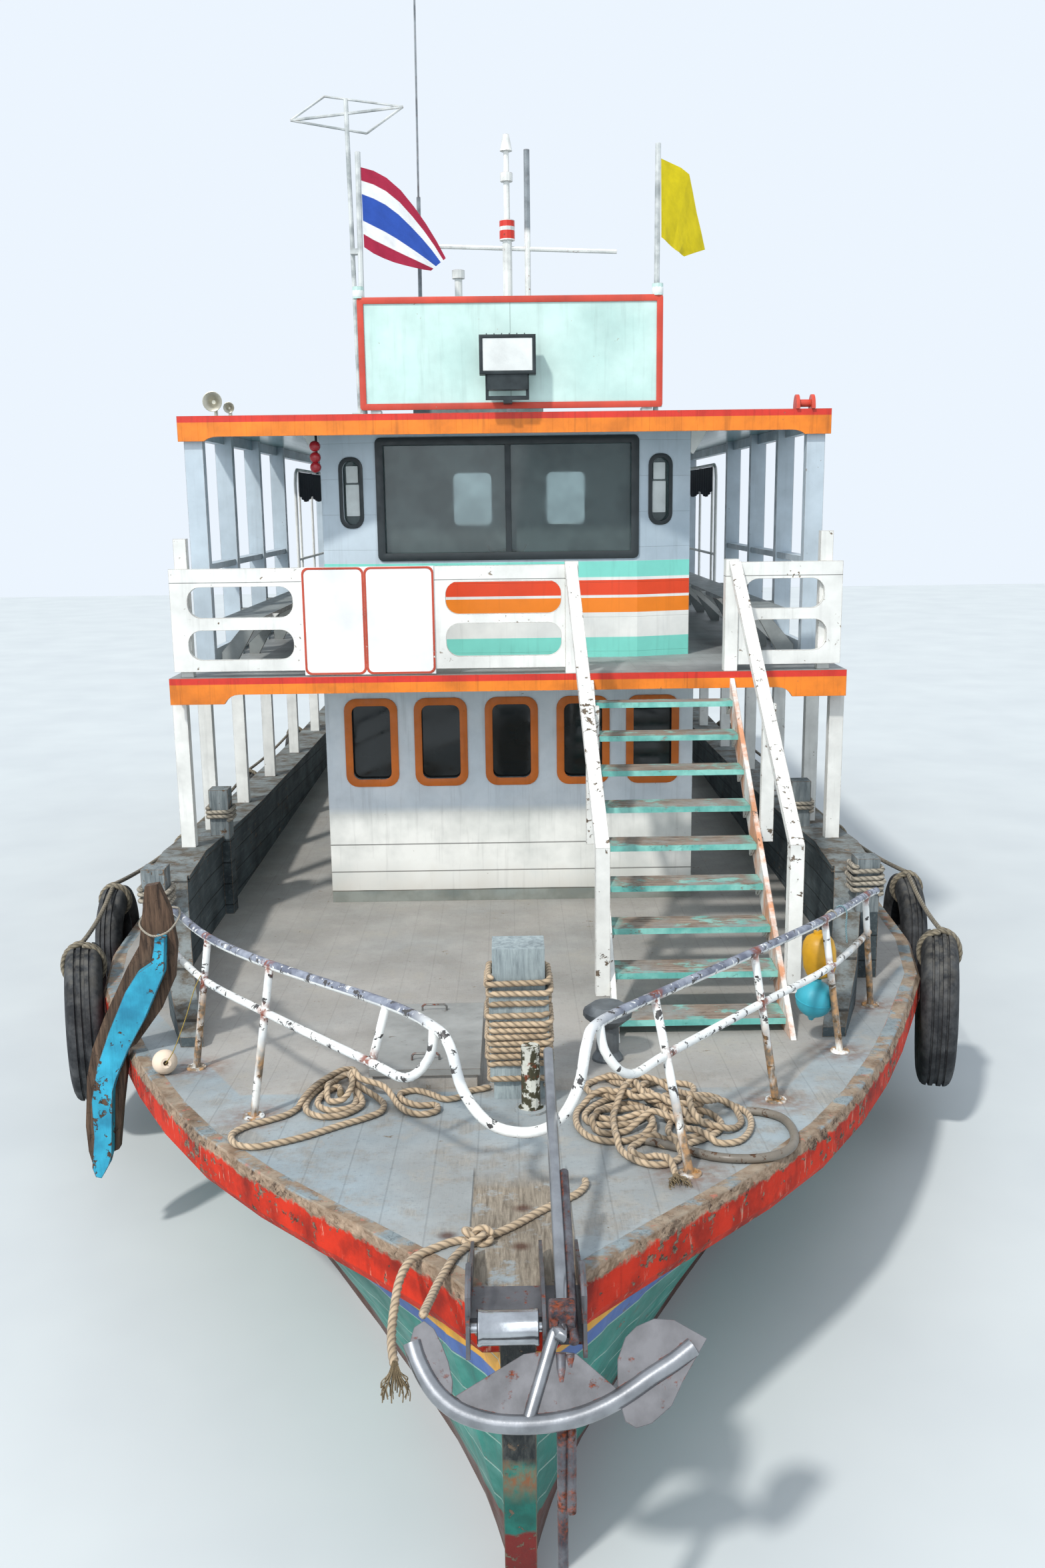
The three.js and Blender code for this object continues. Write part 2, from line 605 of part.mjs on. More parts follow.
function rollerFrame() {
  const [left, right, thick] = [CHEEKS.left, CHEEKS.right, CHEEKS.thick];
  const cheek = outline([
    [CHEEKS.front, 1690], [CHEEKS.front + 40, 1660], [-10640, CHEEKS.low], [BOW_Y, CHEEKS.low],
    [-10200, deckZ(-10200) + GAP], [CHEEKS.aft, deckZ(CHEEKS.aft) + GAP], [CHEEKS.aft, 1740],
    [-10560, 1845], [CHEEKS.front + 20, 1815],
  ]);
  const parts = [box(left, right, -10790, BOW_Y, CHEEKS.low, CHEEKS.low + 28)];
  for (const x of [left, ROLLER.x1 + 12, right - thick]) {
    parts.push(extruded(cheek, x, x + thick, ACROSS));
  }
  for (const x of [left + 7, right - 7]) {
    parts.push(pipe([[x, -10760, 1780], [x, -10760, 1890], [x, -10690, 1930], [x, -10610, 1930],
      [x, -10540, 1890], [x, -10540, 1780]], 12, 6));
  }
  const shankNotch = box(ROLLER.x1, ROLLER.x1 + 40, CHEEKS.front - 10, -10806, 1600, 1840);
  return cut(join(...parts), shankNotch, rod([left + thick, ROLLER.y, ROLLER.z],
    [ROLLER.x1 + 12, ROLLER.y, ROLLER.z], ROLLER.radius + CHEEKS.clear, 24));
}
piece('bow_roller_frame', rollerFrame(), FINISH.rustySteel);
piece('bow_roller', join(
  rod([ROLLER.x0, ROLLER.y, ROLLER.z], [ROLLER.x1, ROLLER.y, ROLLER.z], ROLLER.radius, 16),
  rod([CHEEKS.left + CHEEKS.thick + 0.5, ROLLER.y, ROLLER.z],
    [ROLLER.x1 + 11.5, ROLLER.y, ROLLER.z], 18, 12)), FINISH.steel);

// The anchor hangs over the bow, its arms and plates in one plane that leans aft. Points in that
// plane are [across, up the plane]; the shank then runs aft and rests in the dip of the rail.
const ANCHOR = { y: -11050, z: 1460, lean: 38, plate: 12, armRadius: 34, shankRadius: 25 };
const ANCHOR_ARM = [
  [-387, 372], [-366, 313], [-329, 246], [-284, 190], [-220, 143], [-141, 113], [-62, 98], [32, 94],
  [127, 100], [223, 118], [319, 152], [401, 194], [483, 244], [566, 290], [640, 340],
];
const ANCHOR_PLATES = [
  [[-228, 190], [21, 325], [60, 330], [175, 330], [214, 322], [354, 205], [223, 118], [32, 94], [-141, 113]],
  [[358, 220], [362, 301], [394, 375], [437, 412], [503, 437], [576, 432], [693, 366], [594, 223],
    [549, 145], [474, 89], [418, 75], [380, 97], [366, 150]],
  [[-395, 370], [-380, 422], [-344, 444], [-307, 417], [-278, 364], [-253, 304], [-237, 238],
    [-240, 165], [-300, 200]],
];
const ANCHOR_SHANK = [[30, 95], [137, 400]];
const SHANK_AFT = [[165, -10760, 1801.2], [165, -9645, 2076.3], [165, -9200, 2186]];

function anchorPoint([x, up]) {
  const lean = THREE.MathUtils.degToRad(ANCHOR.lean);
  return [x, ANCHOR.y + up * Math.sin(lean), ANCHOR.z + up * Math.cos(lean)];
}

function anchor() {
  const lean = THREE.MathUtils.degToRad(ANCHOR.lean);
  const plane = [new THREE.Vector3(1, 0, 0), new THREE.Vector3(0, Math.sin(lean), Math.cos(lean)),
    new THREE.Vector3(0, -Math.cos(lean), Math.sin(lean))];
  const plates = ANCHOR_PLATES.map((points) => (
    extruded(outline(points), -ANCHOR.plate / 2, ANCHOR.plate / 2, plane)
      .translate([0, ANCHOR.y, ANCHOR.z])));
  const shank = ANCHOR_SHANK.map(anchorPoint);
  return join(
    pipe(ANCHOR_ARM.map(anchorPoint), ANCHOR.armRadius, 10), ...plates,
    pipe([...shank, ...SHANK_AFT], ANCHOR.shankRadius, 10),
    rod([205, -10850, 1760], [205, -10000, 1984], 19),
    pipe([[156, -10850, 1720], [156, -10940, 1500], [156, -10975, -150]], 20),
    pipe([[190, -10850, 1715], [190, -10940, 1490], [187, -10970, 1150]], 18),
    box(114, 215, -10810, -10735, 1765, 1872));
}
piece('anchor', anchor(), FINISH.rustySteel);

// Lower cabin

const CABIN_TOP_Z = UPPER_DECK.under;

function cabinWindow(centre, low, high, basis) {
  return extruded(roundedShape(centre - CABIN_WINDOW.width / 2, centre + CABIN_WINDOW.width / 2,
    CABIN_WINDOW.low, CABIN_WINDOW.high, CABIN_WINDOW.radius), low, high, basis, 2);
}

function cabinFront() {
  const wall = box(-CABIN.half, CABIN.half, CABIN.front, CABIN.front + CABIN.wall, MAIN_DECK_Z, CABIN_TOP_Z);
  const centres = [-1213, -603, 18, 647, 1258];
  return cut(wall, ...centres.map((x) => (
    cabinWindow(x, CABIN.front - 50, CABIN.front + CABIN.wall + 50, ALONG))));
}
piece('cabin_front', cabinFront(), FINISH.whitePaint);

function cabinSide() {
  const wall = box(CABIN.half - CABIN.sideWall, CABIN.half, CABIN.front + CABIN.wall, CABIN.aft,
    MAIN_DECK_Z, CABIN_TOP_Z);
  const windows = [];
  for (let i = 0; i < 9; i += 1) {
    windows.push(cabinWindow(-2950 + 1020 * i, CABIN.half - CABIN.sideWall - 50, CABIN.half + 50, ACROSS));
  }
  return cut(wall, ...windows);
}
piece('cabin_side_port', cabinSide(), FINISH.whitePaint);
piece('cabin_side_starboard', mirrored(cabinSide()), FINISH.whitePaint);
const cabinInner = CABIN.half - CABIN.sideWall;
piece('cabin_aft', cut(
  box(-cabinInner, cabinInner, CABIN.aft - CABIN.wall, CABIN.aft, MAIN_DECK_Z, CABIN_TOP_Z),
  box(-450, 450, CABIN.aft - 200, CABIN.aft + 200, MAIN_DECK_Z, 3150)), FINISH.whitePaint);

const PANE = 6;

function cabinGlass() {
  const front = CABIN.front + CABIN.wall;
  const aft = CABIN.aft - CABIN.wall - 60;
  const plan = outline([
    [-cabinInner, aft], [-cabinInner, front], [cabinInner, front], [cabinInner, aft],
    [cabinInner - PANE, aft], [cabinInner - PANE, front + PANE], [-cabinInner + PANE, front + PANE],
    [-cabinInner + PANE, aft],
  ]);
  return extruded(plan, CABIN_WINDOW.low - 40, CABIN_WINDOW.high + 40);
}
piece('cabin_glass', cabinGlass(), FINISH.glass);

// Upper deck and roof: a slab with fascia boards that drop at the front corners

function canopy(plan, fascia) {
  const slab = box(-plan.half, plan.half, plan.front, plan.aft, plan.under, plan.top);
  const shape = new THREE.Shape();
  const [half, corner] = [plan.half, plan.half - fascia.cornerWidth];
  shape.moveTo(-half, plan.top);
  shape.lineTo(-half, fascia.cornerUnder);
  shape.lineTo(-corner, fascia.cornerUnder);
  shape.quadraticCurveTo(-corner + fascia.sweep * 0.35, fascia.under, -corner + fascia.sweep, fascia.under);
  shape.lineTo(corner - fascia.sweep, fascia.under);
  shape.quadraticCurveTo(corner - fascia.sweep * 0.35, fascia.under, corner, fascia.cornerUnder);
  shape.lineTo(half, fascia.cornerUnder);
  shape.lineTo(half, plan.top);
  const front = extruded(shape, plan.front, plan.front + fascia.thick, ALONG);
  const side = box(plan.half - fascia.thick, plan.half, plan.front, plan.aft, fascia.under, plan.top);
  const back = box(-plan.half, plan.half, plan.aft - fascia.thick, plan.aft, fascia.under, plan.top);
  return join(slab, front, side, mirrored(side), back);
}
piece('upper_deck', canopy(UPPER_DECK, UPPER_FASCIA), FINISH.orangePaint);
piece('roof', canopy(ROOF, ROOF_FASCIA), FINISH.orangePaint);

// Posts between the bulwark cap and the upper deck, tied by a beam
const LOWER_POST = { inner: 2610, outer: 2725, depth: 90 };

function lowerPosts() {
  const beam = box(2560, UPPER_DECK.half - UPPER_FASCIA.thick - GAP, LOWER_POST_YS[0] - 45,
    LOWER_POST_YS[LOWER_POST_YS.length - 1] + 45, 3200, UPPER_DECK.under);
  const underCap = loft(BULWARK_STATIONS.map(({ y, top }) => bandRing(y, 0, 4000, 0, top + GAP)));
  const posts = LOWER_POST_YS.map((y) => box(LOWER_POST.inner, LOWER_POST.outer,
    y - LOWER_POST.depth / 2, y + LOWER_POST.depth / 2, 1500, UPPER_FASCIA.under - GAP));
  return cut(join(beam, ...posts), underCap);
}
piece('lower_posts_port', lowerPosts(), FINISH.whitePaint);
piece('lower_posts_starboard', mirrored(lowerPosts()), FINISH.whitePaint);

// Posts between the upper deck and the roof, with a sill between the forward ones
const UPPER_POST = { inner: 2455, outer: 2605, depth: 100 };

function upperPosts() {
  const last = UPPER_POST_YS[UPPER_POST_YS.length - 1];
  const [first, , , sillEnd] = UPPER_POST_YS;
  const parts = UPPER_POST_YS.map((y) => box(UPPER_POST.inner, UPPER_POST.outer,
    y - UPPER_POST.depth / 2, y + UPPER_POST.depth / 2, UPPER_DECK.top, ROOF.under));
  parts.push(box(2475, 2595, first, sillEnd, 4235, 4285));
  parts.push(box(2550, 2600, first, last, UPPER_DECK.top, 3540));
  parts.push(box(2520, 2600, first, last, 5300, ROOF.under));
  return join(...parts);
}
piece('upper_posts_port', upperPosts(), FINISH.paleBlue);
piece('upper_posts_starboard', mirrored(upperPosts()), FINISH.paleBlue);

// Side benches: a plank along the posts on slanted brackets
const BENCH = { inner: 2060, outer: 2400, low: 3800, high: 3840, front: -3990, aft: 7250 };
const BENCH_LEG_YS = [-3950, -2770, -1420, 50, 1200, 2400, 3600, 4800, 6000, 7200];

function sideBench() {
  const plank = box(BENCH.inner, BENCH.outer, BENCH.front, BENCH.aft, BENCH.low, BENCH.high);
  const leg = outline([[BENCH.outer, UPPER_DECK.top], [BENCH.outer, 3560], [2190, BENCH.low + 5],
    [2090, BENCH.low + 5], [BENCH.outer - 90, UPPER_DECK.top]]);
  const legs = BENCH_LEG_YS.map((y) => extruded(leg, y - 22, y + 22, ALONG));
  const ties = UPPER_POST_YS.map((y) => box(BENCH.outer - 10, UPPER_POST.inner, y - 40, y + 40,
    BENCH.low, BENCH.high));
  return join(plank, ...legs, ...ties);
}
piece('side_bench_port', sideBench(), FINISH.bulwarkGrey);
piece('side_bench_starboard', mirrored(sideBench()), FINISH.bulwarkGrey);

// Pipe frame along each side aft of the wheelhouse, with a short curtain hung inside it
const FRAME = { x: 2430, radius: 18, front: 620, aft: 7050, top: 5165, rail: 4140 };
const FRAME_POST_YS = [900, 1900, 3000, 4150, 5200, 6250];

function pipeFrame() {
  const { x, radius, front, aft, top, rail } = FRAME;
  const foot = UPPER_DECK.top;
  const arch = pipe([[x, front, foot - 10], [x, front, top - 360], [x, front, top - 160],
    [x, front + 45, top - 45], [x, front + 160, top], [x, front + 360, top], [x, aft - 360, top],
    [x, aft - 160, top], [x, aft - 45, top - 45], [x, aft, top - 160], [x, aft, top - 360],
    [x, aft, foot - 10]], radius);
  const parts = [arch, rod([x, front, rail], [x, aft, rail], 15)];
  for (const y of FRAME_POST_YS) {
    parts.push(rod([x, y, foot], [x, y, top], 16, 6));
  }
  for (const y of [front, aft, ...FRAME_POST_YS]) {
    parts.push(rod([x, y, foot], [x, y, foot + 12], 24));
  }
  return cut(join(...parts), box(0, 4000, -5000, 9000, 0, foot));
}
piece('pipe_frame_port', pipeFrame(), FINISH.whitePaint);
piece('pipe_frame_starboard', mirrored(pipeFrame()), FINISH.whitePaint);

const CURTAIN = { x: 2386.7, thick: 25, top: 5140, low: 4800, rise: 70, front: 700, aft: 6950, swags: 6 };

function sideCurtain() {
  const swag = (CURTAIN.aft - CURTAIN.front) / CURTAIN.swags;
  const edge = [];
  for (let i = 0; i <= 4 * CURTAIN.swags; i += 1) {
    const share = (i % 4) / 4;
    edge.push([CURTAIN.front + (swag * i) / 4, CURTAIN.low + CURTAIN.rise * (1 - 4 * share * (1 - share))]);
  }
  const shape = outline([...edge, [CURTAIN.aft, CURTAIN.top], [CURTAIN.front, CURTAIN.top]]);
  return extruded(shape, CURTAIN.x, CURTAIN.x + CURTAIN.thick, ACROSS);
}
piece('side_curtain_port', sideCurtain(), FINISH.navyCloth);
piece('side_curtain_starboard', mirrored(sideCurtain()), FINISH.navyCloth);

// Front rail panels with rounded slots, either side of the stair head
const RAIL_PANELS = {
  starboard: {
    x0: -2660, x1: 460, newel: [455, 560], corner: [-2620, -2520],
    slots: [[-2525, -1695, 3892, 4135], [-2535, -1700, 3560, 3795], [-490, 424, 3898, 4156],
      [-490, 424, 3564, 3826]],
  },
  port: {
    x0: 1790, x1: 2650, newel: [1720, 1825], corner: [2478, 2577],
    slots: [[1880, 2510, 3912, 4146], [1900, 2535, 3577, 3824]],
  },
};

function railPanel({ x0, x1, newel, corner, slots }) {
  const panel = box(x0, x1, RAIL.front, RAIL.back, RAIL.low, RAIL.high);
  const windows = slots.map(([a0, a1, b0, b1]) => (
    extruded(roundedShape(a0, a1, b0, b1, 105), RAIL.front - 50, RAIL.back + 50, ALONG, 4)));
  const posts = [
    box(newel[0], newel[1], RAIL.front - 20, RAIL.back + 35, UPPER_DECK.top, 4300),
    box(corner[0], corner[1], RAIL.back, RAIL.back + 80, UPPER_DECK.top, 4510),
  ];
  return join(cut(panel, ...windows), ...posts);
}
piece('front_rail_port', railPanel(RAIL_PANELS.port), FINISH.whitePaint);
piece('front_rail_starboard', railPanel(RAIL_PANELS.starboard), FINISH.whitePaint);

// Stair: nine treads between two stringers, from the foredeck to the upper deck's edge

function noseLine(y) {
  return UPPER_DECK.top - STAIR.rise + ((y - STAIR.firstNose) * STAIR.rise) / STAIR.going;
}

function stairFlight() {
  const parts = [];
  for (let i = 0; i < STAIR.treads; i += 1) {
    const nose = STAIR.firstNose - STAIR.going * i;
    const top = UPPER_DECK.top - STAIR.rise * (i + 1);
    const back = Math.min(nose + STAIR.treadDepth, UPPER_DECK.front - GAP);
    parts.push(box(STAIR.left, STAIR.right, nose, back, top - STAIR.treadThick, top));
  }
  const [low, high] = [-7280, UPPER_DECK.front - GAP];
  const board = outline([[low, noseLine(low) + 40], [low, noseLine(low) - 240],
    [high, noseLine(high) - 240], [high, Math.min(noseLine(high) + 40, UPPER_DECK.top)]]);
  for (const x of [STAIR.left - STAIR.stringer, STAIR.right]) {
    parts.push(extruded(board, x, x + STAIR.stringer, ACROSS));
  }
  return onDeck(join(...parts));
}
piece('stair_flight', stairFlight(), FINISH.whitePaint);

// Stair handrails: a board as wide as its newel, from the stair's foot up to the deck's rail,
// with one upright board between it and the stringer
const HANDRAIL = {
  width: 95, thick: 60, footY: -6810, footLow: 1560, footTop: 2570, headTop: 4285,
  uprightY: -5800, uprightLow: 2330, uprightTop: 3335,
};

function handrail(newelX, headX) {
  const headY = RAIL.front - 20 - GAP;
  const end = (x, y, top) => [
    [x, y, top - HANDRAIL.thick], [x + HANDRAIL.width, y, top - HANDRAIL.thick],
    [x + HANDRAIL.width, y, top], [x, y, top],
  ];
  return join(
    box(newelX, newelX + HANDRAIL.width, HANDRAIL.footY - 45, HANDRAIL.footY + 45,
      HANDRAIL.footLow, HANDRAIL.footTop),
    box(newelX, newelX + HANDRAIL.width, HANDRAIL.uprightY - 22, HANDRAIL.uprightY + 22,
      HANDRAIL.uprightLow, HANDRAIL.uprightTop),
    loft([end(newelX, HANDRAIL.footY - 45, HANDRAIL.footTop), end(headX, headY, HANDRAIL.headTop)]));
}
const stringerLeft = STAIR.left - STAIR.stringer;
piece('stair_handrail_starboard', handrail(stringerLeft - HANDRAIL.width, 454), FINISH.whitePaint);
piece('stair_handrail_port', handrail(STAIR.right + STAIR.stringer, 1745), FINISH.whitePaint);

// Wheelhouse

function wheelhouseFront() {
  const w = WHEELHOUSE;
  const plan = outline([
    [-w.half, w.shoulder], [-w.bayHalf, w.bayFront], [w.bayHalf, w.bayFront], [w.half, w.shoulder],
    [w.half, w.shoulder + w.wall], [w.bayHalf, w.bayFront + w.wall], [-w.bayHalf, w.bayFront + w.wall],
    [-w.half, w.shoulder + w.wall],
  ]);
  const wall = extruded(plan, UPPER_DECK.top, ROOF.under);
  const main = box(-1050, 1080, w.bayFront - 100, w.bayFront + 200, 4335, 5250);
  const oval = (x) => extruded(roundedShape(x - 82, x + 82, 4580, 5130, 80), -3700, -3200, ALONG, 4);
  return cut(wall, main, oval(-1318), oval(1330));
}
piece('wheelhouse_front', wheelhouseFront(), FINISH.paleBlue);

const DOOR = { front: -1930, aft: -1250, low: 3470, high: 5220, thick: 30, travel: 620 };

function wheelhouseSide() {
  const w = WHEELHOUSE;
  const wall = box(w.half - w.sideWall, w.half, w.shoulder + w.wall, w.aft, UPPER_DECK.top, ROOF.under);
  const window = extruded(roundedShape(-3050, -2150, 4330, 5150, 60), 1400, 1700, ACROSS, 3);
  const doorway = box(1400, 1700, DOOR.front + 40, DOOR.aft - 40, DOOR.low, DOOR.high - 30);
  const railEnds = [DOOR.front - 20, DOOR.aft + DOOR.travel + 20];
  const sill = box(w.half, w.half + 45, ...railEnds, UPPER_DECK.top + 10, DOOR.low - GAP);
  const head = box(w.half, w.half + 45, ...railEnds, DOOR.high + 5, DOOR.high + 45);
  return join(cut(wall, window, doorway), sill, head);
}
piece('wheelhouse_side_port', wheelhouseSide(), FINISH.paleBlue);
piece('wheelhouse_side_starboard', mirrored(wheelhouseSide()), FINISH.paleBlue);

const houseInner = WHEELHOUSE.half - WHEELHOUSE.sideWall;
piece('wheelhouse_back', cut(
  box(-houseInner, houseInner, WHEELHOUSE.aft - 50, WHEELHOUSE.aft, UPPER_DECK.top, ROOF.under),
  ...[-355, 630].map((x) => (
    extruded(roundedShape(x - 200, x + 200, 4530, 5070, 60), -1000, -500, ALONG, 3)))), FINISH.paleBlue);

function wheelhouseDoor() {
  const x = WHEELHOUSE.half + 5;
  const panel = box(x, x + DOOR.thick, DOOR.front, DOOR.aft, DOOR.low, DOOR.high);
  const light = extruded(roundedShape(DOOR.front + 130, DOOR.aft - 130, 4400, 5050, 60), x - 50, x + 100,
    ACROSS, 3);
  const handle = box(x + DOOR.thick, x + DOOR.thick + 30, DOOR.front + 40, DOOR.front + 70, 4150, 4330);
  return join(cut(panel, light), handle);
}
piece('wheelhouse_door_port', wheelhouseDoor(), FINISH.paleBlue);
piece('wheelhouse_door_starboard', mirrored(wheelhouseDoor()), FINISH.paleBlue);

function wheelhouseGlass() {
  const w = WHEELHOUSE;
  const inner = w.bayFront + w.wall + GAP;
  const [low, high] = [4290, 5290];
  const plan = outline([
    [-houseInner + GAP, w.shoulder + w.wall + 40], [-houseInner + GAP, w.shoulder + w.wall + 19],
    [-w.bayHalf + 5, inner], [w.bayHalf - 5, inner], [houseInner - GAP, w.shoulder + w.wall + 19],
    [houseInner - GAP, w.shoulder + w.wall + 40], [w.bayHalf - 5, inner + PANE],
    [-w.bayHalf + 5, inner + PANE],
  ]);
  const side = box(houseInner - PANE, houseInner - GAP, w.shoulder + w.wall + 20, -2110, low, high);
  return join(extruded(plan, low, high), side, mirrored(side));
}
piece('wheelhouse_glass', wheelhouseGlass(), FINISH.glass);

const CONSOLE = { half: 1100, front: -3400, aft: -2980, top: 4180 };
piece('console', join(
  box(-CONSOLE.half, CONSOLE.half, CONSOLE.front, CONSOLE.aft, UPPER_DECK.top, CONSOLE.top),
  box(-260, 260, CONSOLE.front + 60, CONSOLE.aft - 120, CONSOLE.top, CONSOLE.top + 110)), FINISH.varnish);

const HELM = { z: 4080, radius: 260, rim: 16, hub: 55, y: -2890 };

function helmWheel() {
  const rim = new THREE.TorusGeometry(HELM.radius, HELM.rim, 6, 24);
  rim.rotateX(Math.PI / 2);
  rim.translate(0, HELM.y, HELM.z);
  const hub = rod([0, CONSOLE.aft + 0.5, HELM.z], [0, HELM.y + 25, HELM.z], HELM.hub, 12);
  const spokes = [];
  for (let i = 0; i < 6; i += 1) {
    const angle = (Math.PI * i) / 3;
    const [dx, dz] = [Math.cos(angle), Math.sin(angle)];
    const reach = HELM.radius + 95;
    spokes.push(rod([0, HELM.y, HELM.z], [reach * dx, HELM.y, HELM.z + reach * dz], 13, 6));
  }
  return join(solid(rim), hub, ...spokes);
}
piece('helm_wheel', helmWheel(), FINISH.varnish);

function aftRail() {
  const [half, y] = [2560, 8500];
  const parts = [];
  for (const z of [3920, 4380]) {
    parts.push(pipe([[-half, 7450, z], [-half, y - 260, z], [-half, y - 100, z],
      [-half + 30, y - 30, z], [-half + 100, y, z], [-half + 260, y, z], [0, y, z],
      [half - 260, y, z], [half - 100, y, z], [half - 30, y - 30, z], [half, y - 100, z],
      [half, y - 260, z], [half, 7450, z]], 20));
  }
  for (const [x, at] of [[-half, 7450], [-half, 8100], [-1700, y], [-600, y], [600, y], [1700, y],
    [half, 8100], [half, 7450]]) {
    parts.push(rod([x, at, UPPER_DECK.top], [x, at, 4380], 18));
  }
  return join(...parts);
}
piece('aft_rail', aftRail(), FINISH.whitePaint);

// Roof fittings: sign with its two lamps and flag staffs, floodlight, mast group, aerial

// The television aerial's pole is clamped to the starboard flag staff
function aerial() {
  const y = SIGN.y + 110;
  const frame = [[-1640, y, 7700], [-1370, y, 7870], [-760, y, 7790], [-1050, y, 7600]];
  const parts = [
    rod([-1180, y, ROOF.top], [-1205, y, 7850], 18, 8),
    box(-1240, -1140, y - 40, y + 40, ROOF.top, ROOF.top + 15),
    box(-1205, -1115, SIGN.y + 35, y + 5, 6700, 6740),
    rod(frame[0], frame[2], 11, 6),
  ];
  for (let i = 0; i < 4; i += 1) {
    parts.push(rod(frame[i], frame[(i + 1) % 4], 9, 6));
  }
  return join(...parts);
}

function signBoard() {
  const y = SIGN.y;
  const board = box(SIGN.left, SIGN.right, y - SIGN.thick / 2, y + SIGN.thick / 2, SIGN.low, SIGN.high);
  const parts = [board];
  for (const x of [SIGN.left + 120, SIGN.right - 120, 55]) {
    parts.push(box(x - 40, x + 40, y - 18, y + 18, ROOF.top, SIGN.low + 20));
    parts.push(box(x - 25, x + 25, y, y + 300, ROOF.top, ROOF.top + 40));
  }
  for (const x of [SIGN.left + 10, SIGN.right - 40]) {
    parts.push(rod([x, y, SIGN.high - 5], [x, y, SIGN.high + 85], 45, 10));
  }
  parts.push(rod([-1135, y + 45, ROOF.top], [-1120, y + 45, 7450], 22));
  parts.push(rod([1225, y + 45, ROOF.top], [1230, y + 45, 7490], 22));
  parts.push(box(-1150, -1100, y, y + 60, 6100, 6160));
  parts.push(box(1200, 1250, y, y + 60, 6100, 6160));
  return join(...parts, aerial());
}
piece('sign_board', onRoof(signBoard()), FINISH.aquaPaint);

const FLOOD = { x0: -195, x1: 250, low: 5745, high: 6045, y0: -4250, y1: -4130 };

function floodlight() {
  const face = SIGN.y - SIGN.thick / 2;
  return join(
    box(FLOOD.x0, FLOOD.x1, FLOOD.y0, FLOOD.y1, FLOOD.low, FLOOD.high),
    box(FLOOD.x0 + 60, FLOOD.x1 - 65, FLOOD.y0 + 10, FLOOD.y1 + 20, 5630, FLOOD.low + 10),
    box(-150, 195, -4200, -4170, 5555, 5585),
    box(-150, -125, -4200, -4170, 5555, 5800),
    box(170, 195, -4200, -4170, 5555, 5800),
    box(-10, 60, -4200, face, 5530, 5570));
}
piece('floodlight', floodlight(), FINISH.steel);

const MAST = { x: 40, y: -3600 };

function mastGroup() {
  const { x, y } = MAST;
  const z0 = ROOF.top;
  return join(
    box(-760, 320, y - 90, y + 90, z0, z0 + 50),
    rod([x, y, z0], [x, y, 6860], 40, 10),
    rod([x, y, 6850], [x, y, 7005], 62, 12),
    rod([x, y, 7000], [x, y, 7330], 26, 10),
    rod([x, y, 7300], [x, y, 7365], 50, 12),
    rod([x, y, 7360], [x, y, 7570], 22, 8),
    rod([x, y, 7530], [x, y, 7655], 50, 12, 25),
    rod([-520, y, 6812], [935, y, 6757], 18, 8),
    rod([x + 165, y, z0], [x + 165, y, 7540], 24, 8),
    box(x, x + 165, y - 12, y + 12, 6300, 6340),
    rod([-365, y, z0], [-365, y, 6600], 32, 10),
    rod([-365, y, 6560], [-365, y, 6625], 52, 12),
    rod([-690, y, z0], [-675, y, 7190], 16, 8),
    rod([-675, y, 7180], [-664, y, 8900], 9, 6));
}
piece('mast', onRoof(mastGroup()), FINISH.bulwarkGrey);

const FLAG_THICK = 14;
const signPoleY = SIGN.y + 45;
piece('flag_striped', extruded(outline([[-1098, 7350], [-900, 7270], [-690, 7060], [-440, 6650],
  [-560, 6560], [-900, 6640], [-1092, 6745]]), signPoleY - FLAG_THICK / 2, signPoleY + FLAG_THICK / 2,
ALONG), FINISH.redCloth);
piece('flag_yellow', extruded(outline([[1252, 7385], [1480, 7270], [1520, 7060], [1620, 6700],
  [1440, 6640], [1259, 6800]]), signPoleY - FLAG_THICK / 2, signPoleY + FLAG_THICK / 2,
ALONG), FINISH.yellowCloth);

// Tyre fenders along each side, strung on one line under the strake
const TYRES = [
  { y: -5600, z: 950, radius: 590 },
  { y: -4250, z: 1150, radius: 460 },
  { y: -1500, z: 900, radius: 460 },
  { y: 2000, z: 900, radius: 460 },
  { y: 5500, z: 900, radius: 460 },
];

// How far the strake bulges past its own tangent within a tyre's reach
function bulge(y, slope, reach) {
  const side = between(HULL_STATIONS, y, 'deck');
  const near = HULL_STATIONS.map((s) => s.y).filter((at) => Math.abs(at - y) < reach);
  const rises = [y - reach, y, y + reach, ...near].map((at) => (
    between(HULL_STATIONS, at, 'deck') - side - slope * (at - y)));
  return Math.max(...rises);
}

function tyreFenders() {
  const parts = [];
  const line = [];
  for (const { y, z, radius } of TYRES) {
    const half = radius * 0.23;
    const hole = radius * 0.52;
    const profile = [[hole, -half * 0.7], [radius * 0.86, -half], [radius, -half * 0.6], [radius, half * 0.6],
      [radius * 0.86, half], [hole, half * 0.7], [hole, -half * 0.7]];
    const slope = (between(HULL_STATIONS, y + 500, 'deck') - between(HULL_STATIONS, y - 500, 'deck')) / 1000;
    const yaw = Math.atan(slope);
    const x = between(HULL_STATIONS, y, 'deck') + bulge(y, slope, radius) + half / Math.cos(yaw) + 2 * GAP;
    const ring = turned(profile, 20).rotate([0, 90, 0]);
    parts.push(ring.rotate([0, 0, -THREE.MathUtils.radToDeg(yaw)]).translate([x, y, z]));
    line.push([x, y, z + radius * 0.76]);
  }
  for (let i = 0; i + 1 < line.length; i += 1) {
    parts.push(rod(line[i], line[i + 1], 18, 8));
  }
  return join(...parts);
}
piece('tyre_fenders_port', tyreFenders(), FINISH.rubber);
piece('tyre_fenders_starboard', mirrored(tyreFenders()), FINISH.rubber);

